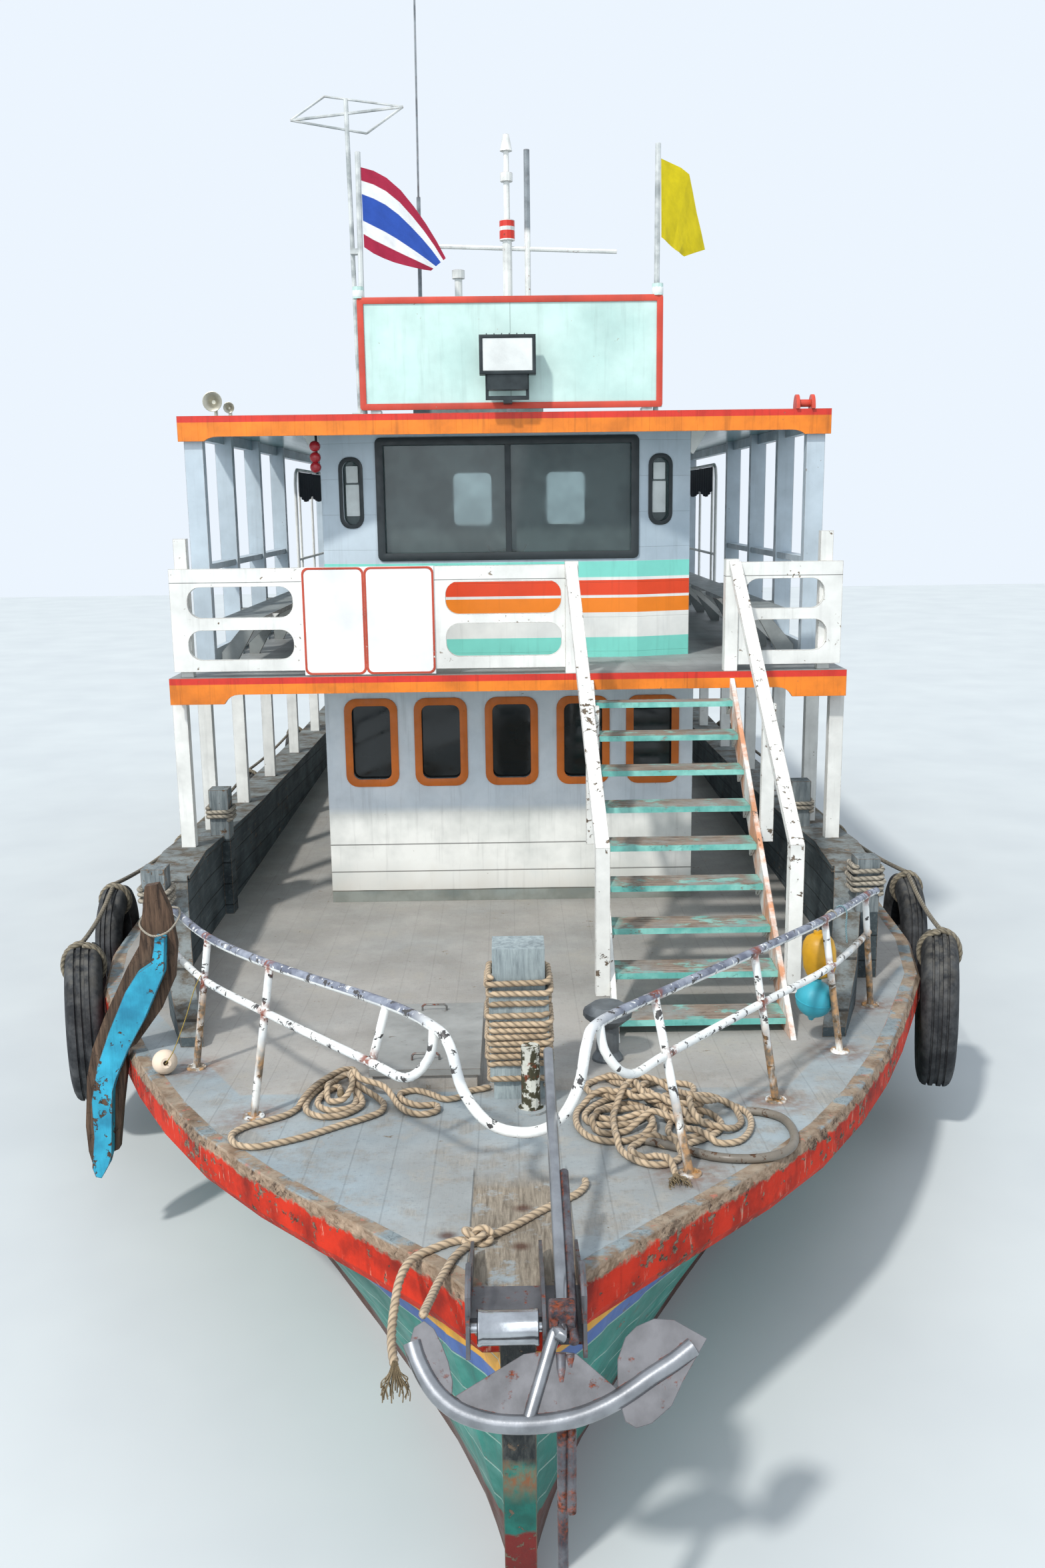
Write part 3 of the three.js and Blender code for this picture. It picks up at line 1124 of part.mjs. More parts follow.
// Two curved rib timbers hang from the rail and lean on the guard at the starboard bow. An edge's
// points are [across, up]; the brown timber is behind the cyan one.
const TIMBERS = [
  {
    front: -7225, aft: -7160,
    edge: [[-2265, 2465], [-2185, 2478], [-2121, 2309], [-2095, 2081], [-2122, 1866], [-2224, 1651],
      [-2387, 1434], [-2463.6, 1384], [-2463.6, 1261], [-2511, 990], [-2551, 715], [-2606, 690],
      [-2720, 575], [-2747, 702], [-2752, 881], [-2717, 1218], [-2669, 1407], [-2580, 1610],
      [-2408, 1948], [-2325, 2085], [-2286, 2327]],
  },
  {
    front: -7300, aft: -7225,
    edge: [[-2206, 2161], [-2145, 2152], [-2165, 1925], [-2309, 1620], [-2426, 1419], [-2513, 1232],
      [-2542, 1145], [-2578, 721], [-2602, 641], [-2654, 552], [-2690, 561], [-2708, 626],
      [-2679, 836], [-2677, 1076], [-2624, 1313], [-2533, 1546], [-2412, 1807], [-2331, 1928],
      [-2240, 1987], [-2215, 2093]],
  },
];

function curvedTimbers() {
  return join(...TIMBERS.map(({ front, aft, edge }) => extruded(outline(edge), front, aft, ALONG)));
}
piece('curved_timbers', curvedTimbers(), FINISH.cyanPaint);

// Rope heaps on the foredeck, and the line from the port heap to the anchor's starboard fluke
const ROPE = { radius: 16, lift: 16.5 };
const HEAP_STARBOARD = {
  height: 105,
  edge: [[-1470, -8790], [-1270, -8880], [-1040, -8810], [-870, -8560], [-640, -8460], [-400, -8400],
    [-310, -8230], [-330, -8040], [-520, -7995], [-900, -7995], [-940, -7900], [-1060, -7860],
    [-1190, -8060], [-1270, -8280], [-1320, -8470], [-1420, -8500]],
};
const HEAP_PORT = {
  height: 150,
  edge: [[400, -8040], [571, -7860], [877, -7950], [1065, -8200], [1261, -8380], [1281, -8632],
    [1131, -8903], [900, -9090], [760, -9140], [735, -9300], [640, -9330], [290, -9330], [270, -8917],
    [290, -8471]],
};
const ANCHOR_LINE = [
  [330, -9332.2], [330, -9400], [290, -9495], [215, -9580], [120, -9680], [0, -9830], [-80, -9915],
  [-150, -9975], [-215, -10055], [-262, -10160], [-290, -10280], [-315, -10400], [-335, -10520],
  [-352, -10640], [-350, -10766],
];
const ANCHOR_LINE_TAIL = [
  [-200, -9985], [-270, -9995], [-350, -10060], [-415, -10130], [-455, -10230], [-475, -10350],
  [-480, -10480], [-480, -10600], [-474, -10700], [-464, -10780], [-455, -10830], [-448, -10870],
];

const KNOT = {
  place: [-170, -9985],
  lift: 35.5,
  profile: [[0, -33], [30, -28], [48, 0], [30, 28], [0, 33]],
};

// The line lies on the deck and the strake, then spans the air to the fluke
function lineHeight(y, endY, endZ) {
  const leave = -10280;
  if (y > leave) {
    return deckZ(y) + ROPE.lift;
  }
  const share = (leave - y) / (leave - endY);
  const start = deckZ(leave) + ROPE.lift;
  return start + (endZ - start) * share - 60 * share * (1 - share);
}

function ropeHeap({ height, edge }) {
  const low = Math.min(...edge.map(([, y]) => deckZ(y)));
  return onDeck(extruded(outline(edge), low - 50, low + 40 + height));
}
piece('rope_heap_starboard', ropeHeap(HEAP_STARBOARD), FINISH.rope);
piece('rope_heap_port', ropeHeap(HEAP_PORT), FINISH.rope);

function anchorLine() {
  const line = ANCHOR_LINE.map(([x, y]) => [x, y, lineHeight(y, -10766, 1823)]);
  const tail = ANCHOR_LINE_TAIL.map(([x, y]) => [x, y, lineHeight(y, -10870, 1690)]);
  const [x, y] = KNOT.place;
  const knot = turned(KNOT.profile, 10).translate([x, y, deckZ(y) + KNOT.lift]);
  return join(pipe(line, ROPE.radius), pipe(tail, ROPE.radius), knot);
}
piece('anchor_line', anchorLine(), FINISH.rope);

export default ferry;
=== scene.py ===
"""Finishes and fittings of a wooden two-deck passenger ferry, laid out as an add-on."""
import math

import bpy
from bpy.props import FloatProperty, FloatVectorProperty, IntProperty, PointerProperty
from bpy.types import Operator, Panel, PropertyGroup
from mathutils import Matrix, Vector


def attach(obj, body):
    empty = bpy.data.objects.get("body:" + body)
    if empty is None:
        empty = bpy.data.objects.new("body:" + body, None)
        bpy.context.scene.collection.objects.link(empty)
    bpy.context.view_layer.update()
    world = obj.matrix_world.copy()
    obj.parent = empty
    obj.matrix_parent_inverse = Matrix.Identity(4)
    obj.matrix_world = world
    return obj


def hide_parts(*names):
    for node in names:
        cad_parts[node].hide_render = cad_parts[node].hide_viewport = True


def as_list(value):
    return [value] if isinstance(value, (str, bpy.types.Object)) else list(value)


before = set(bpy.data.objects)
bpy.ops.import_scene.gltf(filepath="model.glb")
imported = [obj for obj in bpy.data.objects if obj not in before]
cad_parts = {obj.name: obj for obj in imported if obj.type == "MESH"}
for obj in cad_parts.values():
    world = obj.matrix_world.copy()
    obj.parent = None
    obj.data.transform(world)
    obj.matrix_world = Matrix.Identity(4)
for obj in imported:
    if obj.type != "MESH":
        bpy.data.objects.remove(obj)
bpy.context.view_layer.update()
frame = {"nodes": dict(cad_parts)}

bl_info = {
    "name": "Ferry Finishes",
    "version": (1, 0, 0),
    "blender": (4, 5, 0),
    "location": "View3D > Sidebar > Ferry",
    "description": "Paints a two-deck passenger ferry and adds its fittings",
    "category": "Object",
}

NODES = frame["nodes"]

# Places that the pieces share, in metres
DECK_Z = 1.25
SHEER_FORWARD_Y, SHEER_FORWARD_RUN, SHEER_FORWARD_RISE = -3.6, 6.8, 0.45
SHEER_AFT_Y, SHEER_AFT_RUN, SHEER_AFT_RISE = 7.0, 3.45, 0.12
STATION_YS = (-10.45, -10.2, -10.0, -9.8, -9.5, -9.1, -8.6, -8.1, -7.5, -6.9, -5.8, -4.9, -3.6,
              -1.0, 2.0, 5.0, 7.0, 8.5, 9.5, 10.33)
STATION_HALVES = (0.19, 0.36, 0.53, 0.7, 0.97, 1.32, 1.7, 2.0, 2.31, 2.58, 3.03, 3.22, 3.3,
                  3.32, 3.32, 3.28, 3.18, 3.05, 2.93, 2.8)
UPPER_DECK_Z = 3.42
ROOF_Z = 5.47


def srgb(code):
    """A colour written as #rrggbb, as the linear values that Blender's sockets hold."""
    values = [int(code[i:i + 2], 16) / 255 for i in (1, 3, 5)]
    return tuple(v / 12.92 if v <= 0.04045 else ((v + 0.055) / 1.055) ** 2.4 for v in values)


def sheer(y):
    """Height of the main deck's top edge at a place along the boat."""
    forward = max(0.0, (SHEER_FORWARD_Y - y) / SHEER_FORWARD_RUN)
    aft = max(0.0, (y - SHEER_AFT_Y) / SHEER_AFT_RUN)
    return DECK_Z + SHEER_FORWARD_RISE * forward ** 2 + SHEER_AFT_RISE * aft ** 2


def between(places, values, at):
    """A value read off straight lines between table rows."""
    for i in range(len(places) - 1):
        if places[i] <= at <= places[i + 1]:
            share = (at - places[i]) / (places[i + 1] - places[i])
            return values[i] + (values[i + 1] - values[i]) * share
    return values[0] if at < places[0] else values[-1]


def deck_z(y):
    """Height of the deck's top face, which is straight between stations."""
    return between(STATION_YS, [sheer(s) for s in STATION_YS], y)


def half_breadth(y):
    """Half the breadth over the guard."""
    return between(STATION_YS, STATION_HALVES, y)


# Surface finishes

class Value:
    """A number out of a node; arithmetic with it adds nodes."""

    def __init__(self, look, socket):
        self.look, self.socket = look, socket

    def __add__(self, other):
        return self.look.sum("ADD", self, other)

    def __sub__(self, other):
        return self.look.sum("SUBTRACT", self, other)

    def __mul__(self, other):
        return self.look.sum("MULTIPLY", self, other)


class Finish:
    """A surface finish built from nodes on Object coordinates, in metres."""

    def __init__(self, name, coordinates="Object"):
        self.material = bpy.data.materials.new(name)
        self.material.use_nodes = True
        self.tree = self.material.node_tree
        self.tree.nodes.clear()
        self.shader = self.add("ShaderNodeBsdfPrincipled")
        surface = self.add("ShaderNodeOutputMaterial").inputs["Surface"]
        self.wire(self.shader.outputs["BSDF"], surface)
        self.place = self.add("ShaderNodeTexCoord").outputs[coordinates]
        split = self.add("ShaderNodeSeparateXYZ")
        self.wire(self.place, split.inputs[0])
        self.x, self.y, self.z = (Value(self, socket) for socket in split.outputs)

    def add(self, kind, **settings):
        """A node of a kind, with its settings."""
        node = self.tree.nodes.new(kind)
        for key, value in settings.items():
            setattr(node, key, value)
        return node

    def wire(self, value, socket):
        """Links a socket, or sets a value, a colour's code or a colour setting."""
        if isinstance(value, str):
            value = srgb(value) if value[0] == "#" else tuple(getattr(colours(), value))
        if isinstance(value, Value):
            value = value.socket
        if isinstance(value, bpy.types.NodeSocket):
            self.tree.links.new(value, socket)
        elif isinstance(value, tuple) and len(value) == 3 and len(socket.default_value) == 4:
            socket.default_value = (*value, 1.0)
        else:
            socket.default_value = value

    def sum(self, operation, *values):
        """A Math node's result."""
        node = self.add("ShaderNodeMath", operation=operation)
        for value, socket in zip(values, node.inputs):
            self.wire(value, socket)
        return Value(self, node.outputs[0])

    def ramp(self, value, low, high, start=0.0, end=1.0):
        """A clamped straight change from start at low to end at high."""
        node = self.add("ShaderNodeMapRange", clamp=True)
        for number, socket in zip((value, low, high, start, end), node.inputs):
            self.wire(number, socket)
        return Value(self, node.outputs["Result"])

    def inside(self, value, low, high, soft=0.002):
        """1 between two values and 0 outside, with soft edges."""
        rise = self.ramp(value, low - soft, low + soft)
        return rise * self.ramp(value, high - soft, high + soft, 1.0, 0.0)

    def noise(self, scale, detail=4.0, rough=0.55, stretch=(1.0, 1.0, 1.0), warp=0.0, shift=(0.0, 0.0, 0.0)):
        """Cloudy noise around 0.5, with features of about 1 / scale metres."""
        moved = self.add("ShaderNodeMapping")
        for name, value in (("Vector", self.place), ("Scale", stretch), ("Location", shift)):
            self.wire(value, moved.inputs[name])
        node = self.add("ShaderNodeTexNoise")
        for name, value in (("Vector", moved.outputs[0]), ("Scale", scale), ("Detail", detail),
                            ("Roughness", rough), ("Distortion", warp)):
            self.wire(value, node.inputs[name])
        return Value(self, node.outputs["Fac"])

    def grain(self, stretch, warp=0.5):
        """Wood grain, drawn out along the axis with the least stretch."""
        return self.noise(1.0, 6.0, 0.7, stretch=stretch, warp=warp)

    def waver(self, depth, *settings):
        """Noise of a depth around 0, to unsettle a straight line."""
        return (self.noise(*settings) - 0.5) * depth

    def cloud(self, low, high, *settings, ends=(0.0, 1.0), **more):
        """Noise turned into a mask between two of its values."""
        return self.ramp(self.noise(*settings, **more), low, high, *ends)

    def mottled(self, first, second, low, high, *settings, **more):
        """Two colours mixed by noise."""
        return self.mix(first, second, self.cloud(low, high, *settings, **more))

    def seams(self, value, pitch, width, start=0.0):
        """1 in narrow grooves that repeat at a pitch along a value."""
        wave = self.sum("PINGPONG", value - start, pitch / 2)
        return self.ramp(wave, width * 0.35, width * 0.65, 1.0, 0.0)

    def mix(self, first, second, share):
        """Two colours mixed by a share."""
        node = self.add("ShaderNodeMix", data_type="RGBA")
        self.wire(share, node.inputs[0])
        self.wire(first, node.inputs[6])
        self.wire(second, node.inputs[7])
        return node.outputs[2]

    def shade(self, colour, amount):
        """A colour made darker where amount is below 1."""
        node = self.add("ShaderNodeMix", data_type="RGBA", blend_type="MULTIPLY")
        node.inputs[0].default_value = 1.0
        grey = self.add("ShaderNodeCombineColor")
        for socket in grey.inputs[:3]:
            self.wire(amount, socket)
        self.wire(colour, node.inputs[6])
        self.wire(grey.outputs[0], node.inputs[7])
        return node.outputs[2]

    def dim(self, colour, mask, least):
        """A colour made darker under a mask."""
        return self.shade(colour, self.ramp(mask, 0.0, 1.0, 1.0, least))

    def edges(self, radius=0.006):
        """1 where the form turns a corner within the radius, 0 on its faces."""
        rounded = self.add("ShaderNodeBevel", samples=4)
        rounded.inputs["Radius"].default_value = radius
        flat = self.add("ShaderNodeNewGeometry").outputs["True Normal"]
        dot = self.add("ShaderNodeVectorMath", operation="DOT_PRODUCT")
        self.wire(rounded.outputs[0], dot.inputs[0])
        self.wire(flat, dot.inputs[1])
        return self.ramp(dot.outputs["Value"], 0.965, 0.82)

    def facing(self, axis="Z"):
        """How far the surface faces along an axis, from -1 to 1."""
        split = self.add("ShaderNodeSeparateXYZ")
        self.wire(self.add("ShaderNodeNewGeometry").outputs["Normal"], split.inputs[0])
        return Value(self, split.outputs[axis])

    def either(self, *masks):
        """The greatest of several masks."""
        found = masks[0]
        for mask in masks[1:]:
            found = self.sum("MAXIMUM", found, mask)
        return found

    def relief(self, height, depth):
        """A bump whose height runs from 0 to depth metres."""
        node = self.add("ShaderNodeBump")
        node.inputs["Strength"].default_value = 1.0
        node.inputs["Distance"].default_value = depth
        self.wire(height, node.inputs["Height"])
        self.wire(node.outputs[0], self.shader.inputs["Normal"])

    def done(self, colour, rough=0.5, metal=0.0, specular=0.5):
        """Sets the shader's main sockets and returns the material."""
        self.wire(colour, self.shader.inputs["Base Color"])
        self.wire(rough, self.shader.inputs["Roughness"])
        self.wire(metal, self.shader.inputs["Metallic"])
        self.shader.inputs["Specular IOR Level"].default_value = specular
        return self.material


def grimy(look, colour, strength=0.25, scale=3.0, runs=0.0):
    """Dirt in clouds, with darker runs down upright faces."""
    cloud = look.cloud(0.38, 0.7, scale, 6.0, 0.65, ends=(1.0, 1.0 - strength))
    colour = look.shade(colour, cloud)
    if runs:
        streak = look.noise(22.0, 3.0, 0.6, stretch=(1.0, 1.0, 0.07))
        colour = look.shade(colour, look.ramp(streak, 0.55, 0.75, 1.0, 1.0 - runs))
    return colour


def chip_mask(look, amount, scale=28.0, edge=0.35, radius=0.007):
    """Where paint has come off: in patches, and first along edges."""
    wear = look.noise(scale, 5.0, 0.62, warp=0.4)
    broad = look.noise(scale * 0.12, 2.0, 0.5)
    wear = wear + broad * 0.35
    if edge:
        wear = wear + look.edges(radius) * edge
    level = 0.98 - 0.3 * amount
    return look.ramp(wear, level, level + 0.03)


def chipped(look, colour, bare, *settings):
    """Paint worn through to what is under it, and where that is."""
    gone = chip_mask(look, *settings)
    return look.mix(colour, bare, gone), gone


def painted(name, colour, bare, chips=0.3, grime=0.2, scale=28.0, edge=0.35, rough=0.5, runs=0.0,
            radius=0.007, seams=None):
    """Old brushed paint over a bare material, worn through at its edges."""
    look = Finish(name)
    coat = look.mottled(colour, look.shade(colour, 0.82), 0.4, 0.65, 1.7, 3.0)
    coat = grimy(look, coat, grime, 4.0, runs)
    gone = chip_mask(look, chips, scale, edge, radius)
    ground = look.mottled(bare, look.shade(bare, 0.5), 0.4, 0.6, 60.0, 3.0)
    surface = look.mix(coat, ground, gone)
    height = look.noise(130.0, 2.0) * 0.25 - gone
    if seams:
        groove = seams(look)
        surface = look.dim(surface, groove, 0.35)
        height = height - groove * 3.0
    look.relief(height, 0.0012)
    roughness = look.cloud(0.35, 0.7, 14.0, 4.0, ends=(rough - 0.12, rough + 0.18))
    return look.done(surface, look.either(roughness, gone * 0.85))


def timber(name, colour, dark, grain=(60.0, 4.0, 60.0), rough=0.85, depth=0.0015):
    """Bare weathered wood with its grain along one axis."""
    look = Finish(name)
    line = look.noise(1.0, 5.0, 0.7, stretch=grain, warp=0.6)
    wood = look.mix(dark, colour, look.ramp(line, 0.34, 0.62))
    wood = grimy(look, wood, 0.35, 2.2)
    look.relief(line, depth)
    return look.done(wood, rough, specular=0.3)


def metal(name, colour, rust, amount=0.3, rough=0.45, scale=20.0, shine=0.8):
    """Dull metal that rusts in patches."""
    look = Finish(name)
    base = look.mottled(colour, look.shade(colour, 0.65), 0.35, 0.65, 9.0, 5.0)
    blotch = look.noise(scale, 6.0, 0.65) + look.edges(0.004) * 0.12
    level = 0.78 - 0.4 * amount
    rusty = look.ramp(blotch, level, level + 0.08)
    deep = look.mottled(rust, look.shade(rust, 0.4), 0.4, 0.6, 90.0, 4.0)
    surface = look.mix(base, deep, rusty)
    look.relief(rusty * look.noise(160.0, 4.0) + look.noise(50.0, 3.0) * 0.3, 0.0015)
    return look.done(surface, look.ramp(rusty, 0.0, 1.0, rough, 0.9),
                       look.ramp(rusty, 0.0, 1.0, shine, 0.0))


def dress(material, *names):
    """Gives CAD nodes a finish without touching their meshes."""
    for name in names:
        node = NODES[name]
        node.data.materials.clear()
        node.data.materials.append(material)


# Shaping helpers, which all work through Blender's own operators

# How near two corners merge, how far a plate's edges are broken, and how thick cloth is
MERGE, PLATE_EDGE, CLOTH_THICK = 0.00005, 0.002, 0.0014


def clear_selection():
    if bpy.context.object and bpy.context.object.mode != "OBJECT":
        bpy.ops.object.mode_set(mode="OBJECT")
    bpy.ops.object.select_all(action="DESELECT")


def linked(name, data, place=(0.0, 0.0, 0.0), turn=(0.0, 0.0, 0.0)):
    """A new object in the scene, turned by degrees."""
    thing = bpy.data.objects.new(name, data)
    thing.location = place
    thing.rotation_euler = [math.radians(angle) for angle in turn]
    bpy.context.scene.collection.objects.link(thing)
    return thing


def edit_all():
    """Opens the active piece's mesh with all of it selected."""
    bpy.ops.object.mode_set(mode="EDIT")
    bpy.ops.mesh.select_all(action="SELECT")


def leave_edit():
    bpy.ops.object.mode_set(mode="OBJECT")


def face_outward():
    bpy.ops.mesh.normals_make_consistent(inside=False)


def activate(piece):
    """Makes a piece the active and only selected one."""
    clear_selection()
    bpy.context.view_layer.objects.active = piece
    piece.select_set(True)


def raw(name, spots, edges, faces):
    """A new piece from bare corners, edges and faces, open for editing."""
    mesh = bpy.data.meshes.new(name)
    mesh.from_pydata(spots, edges, faces)
    piece = linked(name, mesh)
    activate(piece)
    edit_all()
    return piece


def thicken(way):
    """Extrudes the open piece by a vector."""
    bpy.ops.mesh.extrude_region_move(TRANSFORM_OT_translate={"value": way})
    bpy.ops.mesh.select_all(action="SELECT")
    face_outward()


def called(piece, name):
    """Names a piece and its mesh."""
    piece.name = name
    piece.data.name = name
    return piece


def settle(name, material, smooth=None):
    """Names the active piece, bakes its place into its mesh, and gives it a look."""
    piece = bpy.context.object
    bpy.ops.object.transform_apply(location=True, rotation=True, scale=True)
    piece.data.materials.clear()
    piece.data.materials.append(material)
    if smooth is not None:
        bpy.ops.object.shade_smooth_by_angle(angle=math.radians(smooth))
    return called(piece, name)


def sound():
    """Merges doubles and turns the active piece's faces outward."""
    edit_all()
    bpy.ops.mesh.remove_doubles(threshold=MERGE)
    face_outward()
    leave_edit()


def block(name, low, high, material, bevel=0.004, segments=1):
    """A board or block between two corners, with its edges broken."""
    clear_selection()
    low, high = Vector(low), Vector(high)
    bpy.ops.mesh.primitive_cube_add(size=1.0, location=(low + high) / 2)
    bpy.context.object.scale = high - low
    bpy.ops.object.transform_apply(location=True, rotation=True, scale=True)
    if bevel:
        edit_all()
        bpy.ops.mesh.bevel(offset=bevel, segments=segments, affect="EDGES")
        leave_edit()
    return settle(name, material)


def bar(name, start, end, radius, material, sides=16):
    """A round bar between two points, with its rims broken."""
    clear_selection()
    start, end = Vector(start), Vector(end)
    way = end - start
    bpy.ops.mesh.primitive_cylinder_add(vertices=sides, radius=radius, depth=way.length,
                                        location=(start + end) / 2,
                                        rotation=way.to_track_quat("Z", "Y").to_euler())
    piece = bpy.context.object
    bpy.ops.object.mode_set(mode="EDIT")
    bpy.ops.mesh.select_mode(type="FACE")
    bpy.ops.mesh.select_all(action="DESELECT")
    leave_edit()
    for face in piece.data.polygons:
        face.select = len(face.vertices) > 4
    bpy.ops.object.mode_set(mode="EDIT")
    bpy.ops.mesh.bevel(offset=radius * 0.12, segments=2, affect="EDGES")
    leave_edit()
    return settle(name, material, 40)


def drawn(name, points, flat=False):
    """Curve data through points, and its spline."""
    curve = bpy.data.curves.new(name, "CURVE")
    curve.dimensions, curve.use_fill_caps = "2D" if flat else "3D", not flat
    spline = curve.splines.new("POLY")
    spline.points.add(len(points) - 1)
    for spot, point in zip(spline.points, points):
        spot.co = (*point, 1.0)
    return curve, spline


def solid_line(name, curve):
    """Turns curve data into the active mesh piece."""
    activate(linked(name, curve))
    bpy.ops.object.convert(target="MESH")


def tube(name, points, radius, material, sides=2):
    """A pipe or cord through points, made as a curve and then turned into a mesh."""
    curve, _ = drawn(name, points)
    curve.bevel_depth, curve.bevel_resolution = radius, sides
    solid_line(name, curve)
    return settle(name, material, 50)


def smooth_path(points, steps=6):
    """Points on a smooth curve through given ones."""
    rows = [Vector(p) for p in points]
    found = []
    for i in range(len(rows) - 1):
        a, b, c, d = (rows[min(max(i + k, 0), len(rows) - 1)] for k in (-1, 0, 1, 2))
        for step in range(steps):
            t = step / steps
            found.append(0.5 * (2 * b + (c - a) * t + (2 * a - 5 * b + 4 * c - d) * t * t
                                + (3 * b - a - 3 * c + d) * t ** 3))
    return [*found, rows[-1]]


def plate(name, outline, thick, plane, material):
    """A flat plate cut to an outline in a plane given by its origin and two directions."""
    origin, across, up = (Vector(v) for v in plane)
    raw(name, [origin + across * a + up * b for a, b in outline], [], [range(len(outline))])
    thicken(across.cross(up).normalized() * thick)
    bpy.ops.mesh.bevel(offset=PLATE_EDGE, segments=1, affect="EDGES")
    leave_edit()
    return settle(name, material, 30)


def rounded(left, right, low, high, radius, steps=5):
    """An outline with round corners, running against the clock."""
    found = []
    for x, z, turn in ((right - radius, low + radius, -90), (right - radius, high - radius, 0),
                       (left + radius, high - radius, 90), (left + radius, low + radius, 180)):
        for i in range(steps + 1):
            angle = math.radians(turn + 90 * i / steps)
            found.append((x + radius * math.cos(angle), z + radius * math.sin(angle)))
    return found


def ring_plate(name, outer, inner, thick, plane, material):
    """A flat frame between two outlines with the same count of points."""
    origin, across, up = (Vector(v) for v in plane)
    count = len(outer)
    spots = [origin + across * a + up * b for a, b in [*outer, *inner]]
    faces = [(i, (i + 1) % count, count + (i + 1) % count, count + i) for i in range(count)]
    piece = raw(name, spots, [], faces)
    thicken(across.cross(up).normalized() * thick)
    leave_edit()
    rim = piece.modifiers.new("rim", "BEVEL")
    rim.width, rim.segments, rim.limit_method = PLATE_EDGE, 2, "ANGLE"
    bpy.ops.object.modifier_apply(modifier="rim")
    return settle(name, material, 35)


def turned(name, profile, base, way, material, sides=24):
    """A body spun round an axis from a profile of radius and height."""
    piece = raw(name, [(r, 0.0, h) for r, h in profile], [(i, i + 1) for i in range(len(profile) - 1)], [])
    bpy.ops.mesh.spin(steps=sides, angle=2 * math.pi, center=(0, 0, 0), axis=(0, 0, 1))
    leave_edit()
    sound()
    piece.rotation_euler = Vector(way).to_track_quat("Z", "Y").to_euler()
    piece.location = base
    return settle(name, material, 35)


def joined(name, parts):
    """Several parts as one piece."""
    activate(parts[0])
    for part in parts[1:]:
        part.select_set(True)
    bpy.ops.object.join()
    return called(parts[0], name)


def copied(piece, name, shift):
    """A copy of a finished piece at another place, with its own mesh."""
    activate(piece)
    bpy.ops.object.duplicate(linked=False)
    twin = bpy.context.object
    twin.location = shift
    bpy.ops.object.transform_apply(location=True, rotation=False, scale=False)
    return called(twin, name)


def mirrored(piece, name):
    """A mirror image of a finished piece on the boat's other side."""
    twin = copied(piece, name, (0.0, 0.0, 0.0))
    twin.scale = (-1.0, 1.0, 1.0)
    bpy.ops.object.transform_apply(location=False, rotation=False, scale=True)
    edit_all()
    face_outward()
    leave_edit()
    return twin


def placed(piece, body="vessel", replaces=()):
    """Puts a finished piece on a body, and hides the CAD nodes that it replaces."""
    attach(piece, body)
    if replaces:
        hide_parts(*replaces)
    return piece


# Settings that a user would change

def paint_setting(label, description, code):
    """A colour setting with its default written as #rrggbb."""
    return FloatVectorProperty(name=label, description=description, subtype="COLOR", size=3,
                               min=0.0, max=1.0, default=srgb(code))


def size_setting(label, description, value, low, high):
    """A length setting in metres."""
    return FloatProperty(name=label, description=description, default=value, min=low, max=high,
                         subtype="DISTANCE", unit="LENGTH", precision=4)


class FerryColours(PropertyGroup):
    """Paints, cloth and bare materials of the ferry."""

    hull: paint_setting("Hull", "Topside planks", "#1f7d70")
    boot: paint_setting("Boot", "Bottom paint", "#6e1d18")
    guard: paint_setting("Guard", "Guard's lower band", "#c42a0c")
    stripe_ochre: paint_setting("Ochre stripe", "Upper stripe on the hull", "#d69a1e")
    stripe_blue: paint_setting("Blue stripe", "Lower stripe on the hull", "#3d5e9c")
    deck: paint_setting("Deck", "Deck paint", "#9a9e9e")
    bulwark: paint_setting("Bulwark", "Bulwark paint", "#4d585c")
    white: paint_setting("White", "Rails, stair and lower walls", "#e9eae6")
    pale: paint_setting("Pale blue", "Upper walls and posts", "#bccad4")
    orange: paint_setting("Orange", "Fascia boards and window frames", "#ec8118")
    red: paint_setting("Red", "Strips along the slabs", "#cf2f1e")
    aqua: paint_setting("Aqua", "Wheelhouse stripes", "#7fd6c8")
    soffit: paint_setting("Soffit", "Planks under the roof", "#4f7f80")
    rust: paint_setting("Rust", "Rust on steel and below it", "#7b3414")
    steel: paint_setting("Steel", "Bare steel", "#85888c")
    rope: paint_setting("Rope", "Foredeck rope", "#c6b094")
    cloth: paint_setting("Tarpaulin", "Short side curtains", "#10182c")
    timbers: paint_setting("Cyan timber", "Outer curved timber", "#37a9c9")


class FerrySizes(PropertyGroup):
    """Small sizes that the fittings share."""

    rope: size_setting("Rope", "Diameter of the foredeck's rope", 0.037, 0.02, 0.045)
    frame: size_setting("Window frame", "Width of the orange frames", 0.066, 0.04, 0.08)
    proud: size_setting("Trim", "How far trim boards stand off their walls", 0.014, 0.006, 0.03)
    folds: IntProperty(name="Curtain folds", description="Folds in each side curtain", default=34,
                       min=10, max=60)


def colours():
    return bpy.context.scene.ferry_colours


def sizes():
    return bpy.context.scene.ferry_sizes


# Finishes of the ferry's own surfaces

def above_sheer(look):
    """Height measured from the deck's edge line."""
    forward = look.ramp(look.y, SHEER_FORWARD_Y, SHEER_FORWARD_Y - SHEER_FORWARD_RUN)
    aft = look.ramp(look.y, SHEER_AFT_Y, SHEER_AFT_Y + SHEER_AFT_RUN)
    rise = forward * forward * SHEER_FORWARD_RISE + aft * aft * SHEER_AFT_RISE
    return look.z - DECK_Z - rise


# Stripes on the hull. Columns: colour setting, lowest and highest place below the deck's edge.
HULL_STRIPES = (("stripe_blue", -0.5, -0.42), ("stripe_ochre", -0.42, -0.2))


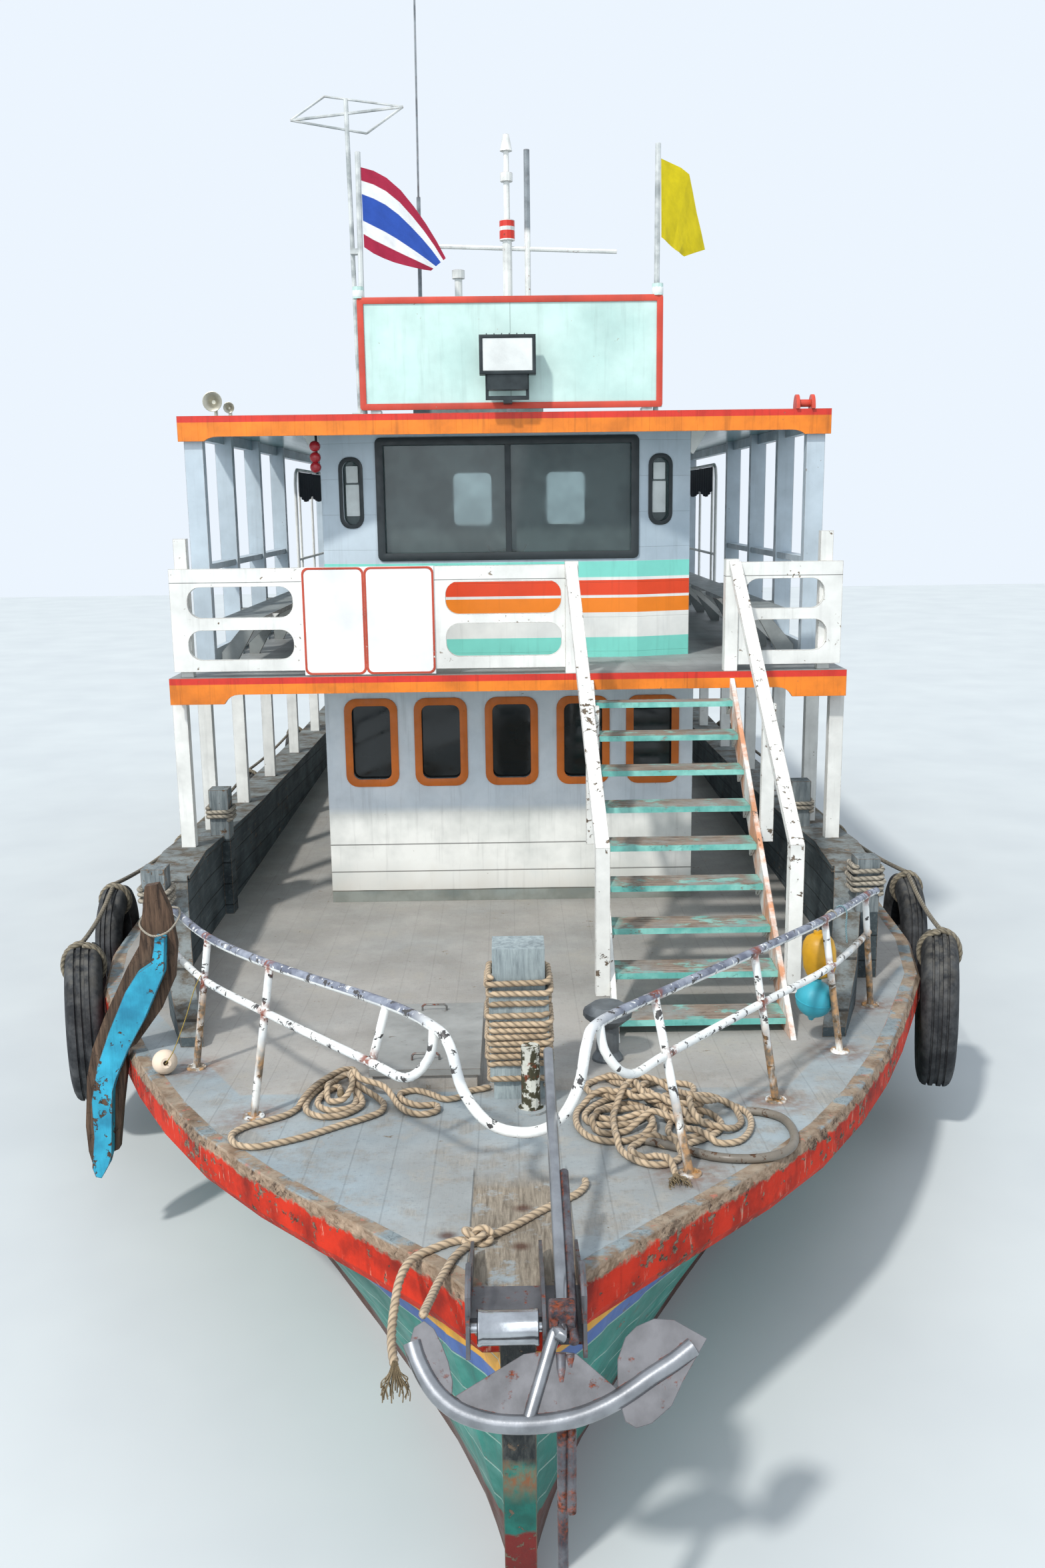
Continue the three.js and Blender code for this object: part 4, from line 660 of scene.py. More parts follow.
def hull_finish():
    """Teal planks with pale seams, two stripes under the guard and a red bottom."""
    look = Finish("planked_hull")
    level = above_sheer(look)
    line = level + look.waver(0.02, 2.0, 2.0)
    teal = look.mottled("hull", look.shade("hull", 0.6), 0.4, 0.7, 1.3, 5.0)
    faded = look.cloud(0.5, 0.75, 7.0, 5.0, 0.6, stretch=(1.0, 0.25, 1.0))
    colour = look.mix(teal, "#5fa79b", faded * 0.45)
    for name, low, high in HULL_STRIPES:
        colour = look.mix(colour, name, look.inside(line, low, high, 0.003))
    groove = look.seams(line, 0.178, 0.011, 0.03)
    colour = look.mix(colour, "#a8c4b8", groove * 0.55)
    colour, gone = chipped(look, colour, "#6d5f50", 0.42, 18.0, 0.3, 0.01)
    rust = look.cloud(0.6, 0.78, 9.0, 4.0, 0.6, stretch=(1.0, 1.0, 0.12))
    colour = look.mix(colour, "rust", rust * 0.5)
    height = look.z + look.waver(0.03, 3.0) - look.ramp(look.y, -8.6, -10.4, 0.0, 0.3)
    colour = look.mix(colour, "boot", look.ramp(height, 0.125, 0.115))
    slime = look.ramp(height + look.noise(16.0, 5.0) * 0.18, 0.34, 0.14)
    colour = look.mix(colour, "#2b2f1c", slime * 0.6)
    colour = grimy(look, colour, 0.25, 2.5, 0.18)
    look.relief(look.noise(70.0, 3.0) * 0.4 - (groove * 2.0 + gone), 0.002)
    return look.done(colour, look.cloud(0.35, 0.7, 6.0, 4.0, ends=(0.38, 0.65)))


def strake_finish():
    """A guard of worn wood above and chipped red below, with pale scrapes."""
    look = Finish("worn_guard")
    level = above_sheer(look)
    grain = look.grain((30.0, 3.0, 45.0))
    wood = look.mix("#6d5947", "#a8937e", look.ramp(grain, 0.36, 0.66))
    ragged = level + look.waver(0.12, 9.0, 6.0, 0.7)
    red = look.mottled("guard", look.shade("guard", 0.5), 0.45, 0.7, 5.0, 5.0)
    scrapes = look.cloud(0.6, 0.68, 1.0, 6.0, 0.7, stretch=(20.0, 26.0, 5.0))
    red = look.mix(red, "#c9a38d", scrapes * 0.75)
    colour = look.mix(wood, red, look.ramp(ragged, -0.045, -0.06))
    gone = chip_mask(look, 0.75, 16.0, 0.35, 0.012)
    colour = look.mix(colour, look.mix("#3f2c20", "#8d7a68", look.ramp(grain, 0.4, 0.6)), gone)
    top = look.ramp(level, -0.012, -0.004)
    greyed = look.mottled("#a0917f", "#86705c", 0.42, 0.6, 6.0, 6.0, 0.7)
    traces = look.cloud(0.6, 0.66, 11.0, 5.0, 0.7, shift=(3.0, 1.0, 0.0))
    greyed = look.mix(greyed, "#c4705f", traces * 0.6)
    greyed = look.mottled(greyed, "#8c989c", 0.5, 0.58, 4.0, 5.0, 0.65)
    colour = look.mix(colour, greyed, top)
    colour = grimy(look, colour, 0.35, 5.0, 0.25)
    look.relief(grain - gone, 0.003)
    return look.done(colour, 0.8, specular=0.3)


def spots(look, points, reach, core=0.3):
    """1 near any of a few points, falling to 0 at the reach. A point without a height counts at each."""
    flat = look.add("ShaderNodeCombineXYZ")
    look.wire(look.x, flat.inputs[0])
    look.wire(look.y, flat.inputs[1])
    masks = []
    for point in points:
        away = look.add("ShaderNodeVectorMath", operation="DISTANCE")
        look.wire(look.place if len(point) == 3 else flat.outputs[0], away.inputs[0])
        away.inputs[1].default_value = (*point, 0.0)[:3]
        masks.append(look.ramp(away.outputs["Value"], reach, reach * core))
    return look.either(*masks)


# Places on the foredeck as x, y, and the king plank's sides
STUB_PLACE = (0.09, -8.34)
DECK_BOLTS = ((0.02, -10.02), (0.03, -9.62), (-0.3, -9.9))
KING_LEFT, KING_RIGHT = -0.2, 0.25


def deck_finish():
    """Grey deck paint, worn and stained, over planks with a bare king plank at the bow."""
    look = Finish("foredeck_paint")
    paint = look.mottled("deck", "#9aa6ac", 0.4, 0.62, 0.9, 4.0)
    from_edge = look.sum("ABSOLUTE", look.x) - (look.y + 7.215) * 0.56
    brown = look.ramp(from_edge, 2.04, 2.02) * look.ramp(look.y, -8.03, -8.01)
    worn = look.cloud(0.3, 0.6, 1.4, 5.0, 0.6, ends=(0.75, 1.0))
    paint = look.mix(paint, "#a5a29d", brown * worn)
    paint = look.mottled(paint, "#b9b4aa", 0.55, 0.78, 3.2, 6.0, 0.7)
    planks = look.seams(look.x, 0.21, 0.008, 0.02)
    forward = look.ramp(look.y, -7.4, -8.2)
    groove = planks * look.ramp(forward, 0.0, 1.0, 0.16, 0.3)
    king_edges = [look.inside(look.x, x - 0.005, x + 0.005, 0.002) for x in (KING_LEFT, KING_RIGHT)]
    edge_seams = look.either(*king_edges) * look.ramp(look.y, -9.1, -9.2)
    groove = look.either(groove, edge_seams)
    paint = look.dim(paint, groove, 0.45)
    grain = look.grain((70.0, 3.5, 40.0))
    wood = look.mix("#6f6558", "#a59a8a", look.ramp(grain, 0.35, 0.65))
    gone = chip_mask(look, 0.35, 14.0, 0.25, 0.01)
    bow = look.cloud(0.5, 0.6, 2.6, 6.0, 0.7) * forward
    paint = look.mix(paint, wood, look.either(gone, bow * 0.45))
    king = look.inside(look.x, KING_LEFT, KING_RIGHT, 0.004) * look.ramp(look.y, -9.15, -9.4)
    bare = king * look.cloud(0.36, 0.46, 7.0, 5.0, 0.7)
    paint = look.mix(paint, wood, bare)
    stain = spots(look, RAIL_FEET, 0.26) * look.cloud(0.35, 0.6, 15.0, 5.0)
    paint = look.mix(paint, "#7a4c2c", stain * 0.6)
    bolts = spots(look, DECK_BOLTS, 0.055)
    paint = look.mix(paint, "#4a2412", bolts * 0.8)
    strip = look.x - (look.y + 6.119) * 0.41
    strip = look.inside(strip, 2.78, 2.89, 0.006) * look.inside(look.y, -7.16, -6.1, 0.02)
    strip = strip * look.cloud(0.44, 0.54, 9.0, 5.0, 0.65)
    paint = look.mix(paint, "#c4533f", strip)
    stub = spots(look, (STUB_PLACE,), 0.085) * look.ramp(above_sheer(look), 0.012, 0.02)
    stub = look.ramp(stub, 0.2, 0.25)
    flaky = look.mottled("#43412f", "#cfd0c6", 0.5, 0.54, 17.0, 5.0, 0.65)
    flaky = look.mottled(flaky, "rust", 0.58, 0.66, 24.0, 5.0)
    paint = look.mix(paint, flaky, stub)
    paint = grimy(look, paint, 0.3, 1.6)
    fine = look.cloud(0.55, 0.72, 38.0, 4.0, 0.7, ends=(1.0, 0.8))
    paint = look.shade(paint, fine)
    look.relief(grain * 0.6 - (groove + gone * 0.5), 0.0025)
    return look.done(paint, look.cloud(0.35, 0.65, 5.0, 4.0, ends=(0.6, 0.85)), specular=0.35)


def slab_finish(name, top_z, strip, under_z):
    """A deck or roof slab: its top, its planked underside and its orange edge boards."""
    look = Finish(name)
    edge = look.mottled("orange", look.shade("orange", 0.72), 0.42, 0.7, 2.2, 4.0)
    edge = look.mix(edge, "red", look.ramp(look.z, top_z - strip, top_z - strip + 0.004))
    edge = grimy(look, edge, 0.28, 4.0, 0.3)
    edge, gone = chipped(look, edge, "#8a6248", 0.3, 24.0, 0.3, 0.008)
    up = look.facing("Z")
    top = look.mottled("deck", "#77797a", 0.4, 0.65, 1.4, 5.0)
    top = grimy(look, top, 0.3, 3.0)
    below = look.seams(look.x, 0.13, 0.008)
    soffit = look.dim(look.mottled("soffit", "#86aaa8", 0.4, 0.7, 1.1, 3.0), below, 0.35)
    under = look.ramp(up, -0.7, -0.8) * look.ramp(look.z, under_z + 0.006, under_z + 0.002)
    deep = look.ramp(up, -0.7, -0.8) * look.ramp(look.z, under_z - 0.01, under_z - 0.004)
    colour = look.mix(edge, top, look.ramp(up, 0.7, 0.8))
    colour = look.mix(colour, soffit, under * deep)
    look.relief(look.noise(60.0, 3.0) * 0.4 - (gone + below * 0.8), 0.0014)
    rough = look.ramp(under * deep, 0.0, 1.0, 0.52, 0.18)
    return look.done(colour, rough)


def cabin_finish():
    """Pale bluish upper wall, partly paint and partly painted shade under the overhang, white planks below it
    and a grey skirting.
    """
    look = Finish("cabin_paint")
    white = look.mottled("white", "#d5d8d4", 0.42, 0.66, 1.5, 4.0)
    # Painted shade in part: the upper band's blue tint stands for sky light in the overhang's shadow
    pale = look.mottled("#dde4ea", "#ced8e0", 0.42, 0.66, 1.8, 4.0)
    height = look.z + look.waver(0.05, 1.2, 2.0)
    # The band's lower edge near 2.1 m follows the overhang's shadow edge, so it is partly painted shade
    colour = look.mix(white, pale, look.ramp(height, 2.06, 2.13))
    skirting = look.mottled("#8d9b9b", "#6f7f80", 0.4, 0.6, 4.0, 5.0)
    colour = look.mix(colour, skirting, look.ramp(height, 1.362, 1.356))
    grooves = ((1.776, 1.786), (1.526, 1.536), (1.35, 1.358))
    groove = look.either(*[look.inside(look.z, low, high, 0.001) for low, high in grooves])
    colour = look.dim(colour, groove, 0.4)
    upright = look.seams(look.x, 0.305, 0.004, 0.11)
    faint = upright * look.ramp(look.z, 2.1, 2.2)
    colour = look.dim(colour, faint, 0.86)
    colour = grimy(look, colour, 0.14, 3.0, 0.16)
    low = look.ramp(look.z + look.noise(6.0, 5.0) * 0.4, 1.8, 1.5)
    colour = look.mix(colour, "#8a7c66", low * 0.35)
    colour, gone = chipped(look, colour, "#7f7466", 0.22, 30.0, 0.35, 0.006)
    look.relief(look.noise(90.0, 2.0) * 0.3 - (gone + groove * 2.5), 0.0015)
    return look.done(colour, look.cloud(0.35, 0.7, 9.0, 3.0, ends=(0.35, 0.6)))


# Bands on the wheelhouse wall. Columns: colour, lowest and highest height.
WALL_BANDS = (("aqua", 4.116, 4.253), ("#e0451c", 3.961, 4.09), ("orange", 3.811, 3.938),
              ("aqua", 3.42, 3.596))


def wheelhouse_finish():
    """Pale blue walls over white ones with four painted bands."""
    look = Finish("wheelhouse_paint")
    pale = look.mottled("pale", "#a9bac6", 0.42, 0.7, 1.3, 4.0)
    white = look.mottled("white", "#d3d6d4", 0.42, 0.7, 1.7, 4.0)
    colour = look.mix(white, pale, look.ramp(look.z, 4.251, 4.255))
    for shown, low, high in WALL_BANDS:
        colour = look.mix(colour, shown, look.inside(look.z, low, high, 0.0015))
    colour = grimy(look, colour, 0.12, 2.5, 0.12)
    colour, gone = chipped(look, colour, "#8c8174", 0.16, 30.0, 0.35, 0.006)
    joint = look.seams(look.z, 0.3, 0.004, 0.17)
    colour = look.dim(colour, joint, 0.85)
    look.relief(look.noise(90.0, 2.0) * 0.3 - (gone + joint), 0.001)
    return look.done(colour, look.cloud(0.35, 0.7, 8.0, 3.0, ends=(0.3, 0.52)))


def stair_finish():
    """White stringers, one rusty inside, and worn treads with chipped aqua noses."""
    look = Finish("stair_paint")
    grain = look.grain((3.0, 60.0, 60.0))
    wood = look.mix("#58463a", "#a39486", look.ramp(grain, 0.34, 0.66))
    wood = look.mottled(wood, "#8f8f8b", 0.45, 0.65, 3.0, 5.0, 0.7)
    nose = look.mottled("#8bcdc3", "#63aea6", 0.4, 0.6, 6.0, 4.0)
    bare = look.cloud(0.6, 0.66, 12.0, 6.0, 0.7, stretch=(0.5, 1.0, 1.0))
    nose = look.mix(nose, wood, bare)
    up = look.ramp(look.facing("Z"), 0.6, 0.8)
    rim = look.cloud(0.54, 0.62, 7.0, 6.0, 0.7, stretch=(0.6, 1.0, 1.0))
    near_end = look.either(look.ramp(look.x, 0.78, 0.7), look.ramp(look.x, 1.66, 1.74))
    rim = look.either(rim, near_end * look.cloud(0.42, 0.5, 9.0, 5.0, 0.7))
    tread = look.mix(nose, look.mix(wood, nose, rim * 0.7), up)
    white = look.mottled("white", "#cfd2cf", 0.42, 0.7, 2.0, 4.0)
    inner = look.ramp(look.x, 1.75, 1.764) * look.ramp(look.facing("X"), 0.6, 0.2)
    rusty = look.cloud(0.42, 0.58, 4.5, 6.0, 0.65, stretch=(1.0, 1.0, 0.5))
    white = look.mix(white, "#c87a3c", inner * rusty * 0.85)
    white, gone = chipped(look, white, "#6f5c4c", 0.55, 20.0, 0.4, 0.008)
    middle = look.inside(look.x, *STAIR_SIDES, 0.0005)
    colour = look.mix(white, tread, middle)
    colour = grimy(look, colour, 0.22, 4.0, 0.15)
    look.relief(grain * 0.6 - gone, 0.0022)
    return look.done(colour, look.ramp(middle, 0.0, 1.0, 0.5, 0.8))


def bulwark_finish():
    """Dark grey planks, a worn cap and paler bitts."""
    look = Finish("bulwark_paint")
    grain = look.grain((40.0, 2.2, 40.0), 0.6)
    base = look.mottled("bulwark", "#333c40", 0.4, 0.64, 2.4, 5.0)
    base = look.mix(base, "#7c8586", look.ramp(grain, 0.5, 0.7) * 0.4)
    up = look.ramp(look.facing("Z"), 0.7, 0.85)
    cap = look.mottled("#7d8484", "#5b5348", 0.44, 0.6, 5.0, 6.0, 0.7)
    colour = look.mix(base, cap, up)
    post = look.either(look.inside(look.y, -3.91, -3.73) * look.ramp(look.z, 1.925, 1.935),
                         look.inside(look.y, -5.89, -5.71) * look.ramp(look.z, 1.8, 1.81))
    pale = look.mottled("#868e90", "#626b6e", 0.4, 0.62, 1.0, 5.0, 0.7, stretch=(40.0, 40.0, 3.0))
    colour = look.mix(colour, pale, post)
    groove = look.seams(look.z - look.y * -0.05, 0.19, 0.01)
    groove = groove * look.ramp(post, 0.0, 1.0, 1.0, 0.0)
    colour = look.dim(colour, groove, 0.35)
    gone = chip_mask(look, 0.5, 15.0, 0.4, 0.012)
    wood = look.mix("#574536", "#8b7b69", look.ramp(grain, 0.4, 0.62))
    colour = look.mix(colour, wood, gone)
    colour = grimy(look, colour, 0.35, 3.0, 0.3)
    look.relief(grain - (groove * 1.5 + gone), 0.003)
    return look.done(colour, 0.8, specular=0.3)


def glass_finish(name, see_through, shade):
    """Window glass with a thin film of dirt."""
    look = Finish(name)
    film = look.cloud(0.35, 0.75, 5.0, 6.0, 0.7, ends=(0.02, 0.14))
    look.shader.inputs["Transmission Weight"].default_value = see_through
    look.shader.inputs["IOR"].default_value = 1.45
    smear = look.noise(2.0, 3.0)
    colour = look.mix(shade, look.shade(shade, 0.7), look.ramp(smear, 0.4, 0.6))
    return look.done(colour, film, specular=0.6)


def mast_finish():
    """White mast with a red and white band; the poles beside it are grey."""
    look = Finish("mast_paint")
    white = look.mottled("white", "#c9ccca", 0.42, 0.7, 6.0, 4.0)
    near = look.ramp(look.x, -0.06, -0.04) * look.ramp(look.x, 0.13, 0.12)
    band = near * look.either(look.inside(look.z, 6.86, 6.925), look.inside(look.z, 6.955, 7.0))
    white = look.mix(white, "red", band)
    grey = look.mottled("#8b9398", "#666d72", 0.4, 0.64, 9.0, 4.0)
    right = look.inside(look.x, 0.16, 0.25) * look.ramp(look.z, 6.9, 6.95)
    pole = look.either(look.ramp(look.x, -0.6, -0.63), right)
    colour = look.mix(white, grey, pole)
    colour, gone = chipped(look, colour, "rust", 0.35, 30.0, 0.3, 0.004)
    colour = grimy(look, colour, 0.2, 5.0, 0.2)
    look.relief(look.noise(120.0) * 0.3 - gone, 0.0008)
    return look.done(colour, 0.45)


def timber_bars_finish():
    """The outer bar cyan and chipped, the inner one bare brown wood."""
    look = Finish("curved_bars")
    grain = look.grain((50.0, 50.0, 4.0), 0.6)
    wood = look.mix("#2e2119", "#6b5443", look.ramp(grain, 0.36, 0.64))
    cyan = look.mottled("timbers", "#2b86a6", 0.4, 0.65, 5.0, 5.0)
    cyan, gone = chipped(look, cyan, wood, 0.6, 18.0, 0.45, 0.01)
    colour = look.mix(cyan, wood, look.ramp(look.y, -7.2275, -7.2262))
    colour = grimy(look, colour, 0.3, 4.0, 0.2)
    look.relief(grain - gone, 0.003)
    return look.done(colour, 0.7, specular=0.3)


def rubber_finish():
    """Old tyre rubber, grey with salt and dust."""
    look = Finish("tyre_rubber")
    colour = look.mottled("#26282b", "#4a4c4e", 0.42, 0.66, 6.0, 6.0, 0.7)
    dust = look.ramp(look.facing("Z"), 0.2, 0.9) * look.cloud(0.4, 0.6, 14.0, 5.0)
    colour = look.mix(colour, "#6e6b64", dust * 0.5)
    look.relief(look.noise(120.0, 4.0), 0.0015)
    return look.done(colour, look.cloud(0.4, 0.6, 9.0, 3.0, ends=(0.7, 0.92)), specular=0.25)


def rope_finish(name, code, dark):
    """Laid rope: fibres along each strand, dirt in clouds and painted shade in the lay, from the piece's own
    map.
    """
    look = Finish(name, "UV")
    strand = look.sum("COSINE", look.y * (6 * math.pi))
    crest = look.ramp(strand, -1.0, 1.0)
    fibre = look.noise(1.0, 3.0, 0.6, stretch=(25.0, 60.0, 1.0))
    cloud = look.noise(1.0, 4.0, 0.6, stretch=(1.6, 0.6, 1.0))
    colour = look.mix(code, dark, look.ramp(cloud, 0.45, 0.75))
    # Painted shade: darker in the lay between the three strands, away from their crests
    colour = look.shade(colour, look.ramp(crest, 0.0, 0.55, 0.45, 1.0))
    colour = look.shade(colour, look.ramp(fibre, 0.3, 0.7, 0.78, 1.06))
    look.relief(fibre * 0.5 + crest, 0.0012)
    look.shader.inputs["Sheen Weight"].default_value = 0.15
    return look.done(colour, 0.88, specular=0.2)


def stem_finish():
    """A dark head, a rust run below its collar, teal wood and the red bottom."""
    look = Finish("stem_timber")
    grain = look.grain((45.0, 45.0, 3.0))
    dark = look.mix("#1f2426", "#4a4c49", look.ramp(grain, 0.4, 0.66))
    teal = look.mottled("hull", look.shade("hull", 0.55), 0.4, 0.65, 5.0, 5.0)
    ragged = look.z + look.waver(0.12, 7.0, 5.0)
    colour = look.mix(teal, dark, look.ramp(ragged, 0.86, 0.92))
    rust = look.ramp(ragged, 0.92, 0.88) * look.ramp(ragged, 0.62, 0.76)
    rust = rust * look.cloud(0.35, 0.6, 16.0, 5.0, 0.7, stretch=(1.0, 1.0, 0.4))
    colour = look.mix(colour, "#8d4a1f", rust * 0.85)
    colour = look.mix(colour, "boot", look.ramp(ragged, 0.45, 0.43))
    colour, gone = chipped(look, colour, "#6a5a4a", 0.6, 20.0, 0.4, 0.01)
    colour = grimy(look, colour, 0.35, 4.0, 0.2)
    look.relief(grain - gone, 0.003)
    return look.done(colour, 0.7, specular=0.35)


def anchor_finish():
    """Grey galvanised pipe with rust thick at the joint and on the bars."""
    look = Finish("anchor_steel")
    base = look.mottled("#77777c", "#47474f", 0.38, 0.62, 7.0, 6.0, 0.7)
    welds = look.edges(0.02) * look.cloud(0.42, 0.56, 14.0, 5.0, 0.7)
    joint = look.cloud(0.46, 0.6, 11.0, 6.0, 0.75)
    bars = look.inside(look.x, 0.112, 0.22, 0.01) * look.ramp(look.y, -10.6, -10.72)
    low = look.ramp(look.z, 1.62, 1.4)
    share = joint * look.either(bars, low * 0.5)
    share = look.either(share, look.either(welds, look.cloud(0.6, 0.68, 26.0, 6.0, 0.75)))
    rust = look.mottled("#8a3d1a", "#3a1c10", 0.4, 0.6, 60.0, 5.0)
    colour = look.mix(base, rust, share)
    colour = grimy(look, colour, 0.3, 5.0, 0.25)
    look.relief(share * look.noise(120.0, 4.0) + look.noise(40.0) * 0.4, 0.002)
    return look.done(colour, look.ramp(share, 0.0, 1.0, 0.42, 0.9), look.ramp(share, 0.0, 1.0, 0.75, 0.0))


def pulpit_finish(name, slated):
    """White pipe, with rust at the joints and down the posts; the top rail is worn to grey-blue."""
    look = Finish(name)
    white = look.mottled("white", "#c5c9cb", 0.42, 0.7, 5.0, 4.0)
    slate = look.mottled("#5d6272", "#8d93a0", 0.4, 0.62, 9.0, 5.0)
    colour = white
    if slated:
        worn = look.cloud(0.38, 0.4, 20.0, 5.0, 0.65, warp=0.5)
        worn = worn * look.ramp(look.facing("Z"), -0.2, 0.05)
        off_middle = look.ramp(look.sum("ABSOLUTE", look.x), 0.3, 0.5)
        colour = look.mix(white, slate, worn * off_middle)
    chips = look.cloud(0.58, 0.6, 17.0, 5.0, 0.65, warp=0.4, shift=(4.0, 1.0, 2.0))
    colour = look.mix(colour, "#3d3b3b", chips)
    runs = look.cloud(0.4, 0.52, 9.0, 5.0, 0.6, stretch=(1.0, 1.0, 0.3))
    low = look.ramp(look.z, 1.95, 1.8) * runs
    bare = look.mottled("#5b4a33", "#a8793f", 0.42, 0.6, 26.0, 5.0)
    colour = look.mix(colour, bare, low * 0.9)
    rusty = spots(look, RAIL_JOINTS, 0.075, 0.4) * look.cloud(0.4, 0.52, 34.0, 4.0)
    colour = look.mix(colour, "rust", rusty * 0.9)
    look.relief(look.noise(90.0) * 0.3 - look.either(chips, low), 0.0012)
    return look.done(colour, look.cloud(0.35, 0.7, 12.0, ends=(0.4, 0.65)))


def flag_finish(name, stripes):
    """Thin woven cloth with stripes along its length. Columns: colour, where the stripe starts."""
    look = Finish(name, "UV")
    colour = stripes[0][0]
    for shown, start in stripes[1:]:
        colour = look.mix(colour, shown, look.ramp(look.y, start - 0.004, start + 0.004))
    colour = grimy(look, colour, 0.2, 6.0)
    weave = look.sum("SINE", look.x * 1500.0) + look.sum("SINE", look.y * 1500.0)
    look.relief(weave, 0.0002)
    look.shader.inputs["Sheen Weight"].default_value = 0.2
    return look.done(colour, 0.85, specular=0.2)


def sign_finish():
    """An aqua board, blank, with white staffs and a bare metal aerial behind it."""
    look = Finish("sign_paint")
    aqua = look.mottled("#c6e0da", "#b4d3cd", 0.4, 0.65, 1.4, 4.0)
    aqua = grimy(look, aqua, 0.16, 3.0, 0.12)
    joint = look.inside(look.x, 0.05, 0.056, 0.001)
    aqua = look.dim(aqua, joint, 0.6)
    staff = look.mottled("#c9cdcc", "#8f9697", 0.4, 0.65, 7.0, 4.0)
    off_board = look.either(look.ramp(look.y, -3.981, -3.977), look.ramp(look.z, 5.5, 5.495))
    colour = look.mix(aqua, staff, off_board)
    colour, gone = chipped(look, colour, "#9a7f68", 0.22, 26.0, 0.3, 0.004)
    look.relief(look.noise(90.0) * 0.3 - look.either(gone, joint), 0.001)
    return look.done(colour, look.cloud(0.35, 0.7, 8.0, ends=(0.38, 0.6)))


# Fittings that several steps share

# How far a frame laps over its opening
FRAME_LAP = 0.008
UPWARD = Vector((0.0, 0.0, 1.0))


def ahead(y):
    """The plane of a face that looks forward: its origin, across and up."""
    return (0.0, y, 0.0), (1.0, 0.0, 0.0), UPWARD


def to_port(x):
    """The plane of a face that looks to port: its origin, across and up."""
    return (x, 0.0, 0.0), (0.0, 1.0, 0.0), UPWARD


def grown(box, margin):
    """A box of left, right, low, high with a margin added on each side."""
    left, right, low, high = box
    return left - margin, right + margin, low - margin, high + margin


def frame_ring(name, plane, opening, width, thick, material, radius=0.0, lap=FRAME_LAP):
    """A flat frame round an opening, lapping over its edge. The opening is left, right, low, high."""
    inner = rounded(*grown(opening, -lap), max(radius - lap, 0.004))
    outer = rounded(*grown(opening, width), radius + width * 0.6)
    return ring_plate(name, outer, inner, thick, plane, material)


def panel(name, plane, box, radius, thick, material):
    """A flat plate with round corners. The box is left, right, low, high."""
    return plate(name, rounded(*box, radius), thick, plane, material)


def both_sides(piece, body="vessel"):
    """Places a port piece and its mirror image to starboard."""
    twin = mirrored(piece, piece.name + "_starboard")
    placed(twin, body.replace("port", "starboard"))
    return placed(piece, body)


def top_of(node, x, y):
    """Height of a CAD node's upper face at a place."""
    hit, place, *_ = NODES[node].ray_cast((x, y, 12.0), (0.0, 0.0, -1.0))
    if not hit:
        raise ValueError(f"{node} isn't under {x}, {y}")
    return place.z


def bow(points, bulge):
    """Points of a thin line that sags by the bulge between its ends."""
    start, end = Vector(points[0]), Vector(points[1])
    shares = [i / 12 for i in range(13)]
    return [start.lerp(end, s) - Vector((0, 0, bulge * 4 * s * (1 - s))) for s in shares]


def cloth(name, across, down, spot, material):
    """A cloth woven as a grid whose points come from spot(u, v), with its flat size and area."""
    clear_selection()
    bpy.ops.mesh.primitive_grid_add(x_subdivisions=across, y_subdivisions=down, size=1.0, calc_uvs=True)
    piece = bpy.context.object
    for vertex in piece.data.vertices:
        vertex.co = spot(vertex.co.x + 0.5, vertex.co.y + 0.5)
    area = sum(face.area for face in piece.data.polygons)
    skin = piece.modifiers.new("thickness", "SOLIDIFY")
    skin.thickness, skin.offset = CLOTH_THICK, 0.0
    bpy.ops.object.modifier_apply(modifier="thickness")
    width = run_length([spot(i / across, 0.5) for i in range(across + 1)])
    length = run_length([spot(0.5, i / down) for i in range(down + 1)])
    return settle(name, material, 60), (width, length), area


def along(table, share):
    """A place on a smooth line through a table of places, from 0 at its start to 1 at its end."""
    at = share * (len(table) - 1)
    return Vector([between(range(len(table)), [row[k] for row in table], at) for k in range(len(table[0]))])


# Stage

CAMERA_PLACE = (0.0044, -15.184, 4.7487)
CAMERA_TURN = (78.13835, 0.71882, -0.66458)
CAMERA_LENS = 30.6579


class FERRY_OT_stage(Operator):
    """Sets the camera, a floor at the waterline and soft daylight"""

    bl_idname = "ferry.stage"
    bl_label = "Stage"

    def execute(self, context):
        scene = context.scene
        lens = bpy.data.cameras.new("camera")
        lens.lens, lens.sensor_width, lens.clip_end = CAMERA_LENS, 36.0, 200.0
        scene.camera = linked("camera", lens, CAMERA_PLACE, CAMERA_TURN)
        clear_selection()
        bpy.ops.mesh.primitive_plane_add(size=120.0, location=(0.0, 0.0, 0.0))
        floor = Finish("floor")
        cloud = floor.ramp(floor.noise(0.6, 3.0), 0.3, 0.7)
        pale = floor.mix("#c3c9cb", "#bcc2c5", cloud)
        settle("floor", floor.done(pale, 0.9, specular=0.1))
        sun = bpy.data.lights.new("sun", "SUN")
        sun.energy, sun.angle, sun.color = 2.7, math.radians(3.5), (1.0, 0.965, 0.91)
        linked("sun", sun, (0.0, -10.0, 20.0), (36.0, -26.0, 0.0))
        fill = bpy.data.lights.new("fill", "AREA")
        fill.energy, fill.size, fill.color = 500.0, 12.0, (0.93, 0.97, 1.0)
        linked("fill", fill, (-5.0, -19.0, 9.0), (62.0, 0.0, -14.0))
        world = bpy.data.worlds.new("daylight")
        world.use_nodes = True
        sky = world.node_tree.nodes["Background"]
        sky.inputs["Color"].default_value = (0.8, 0.87, 0.95, 1.0)
        sky.inputs["Strength"].default_value = 1.05
        scene.world = world
        scene.view_settings.view_transform = "Standard"
        scene.view_settings.look = "None"
        return {"FINISHED"}


# Ropes

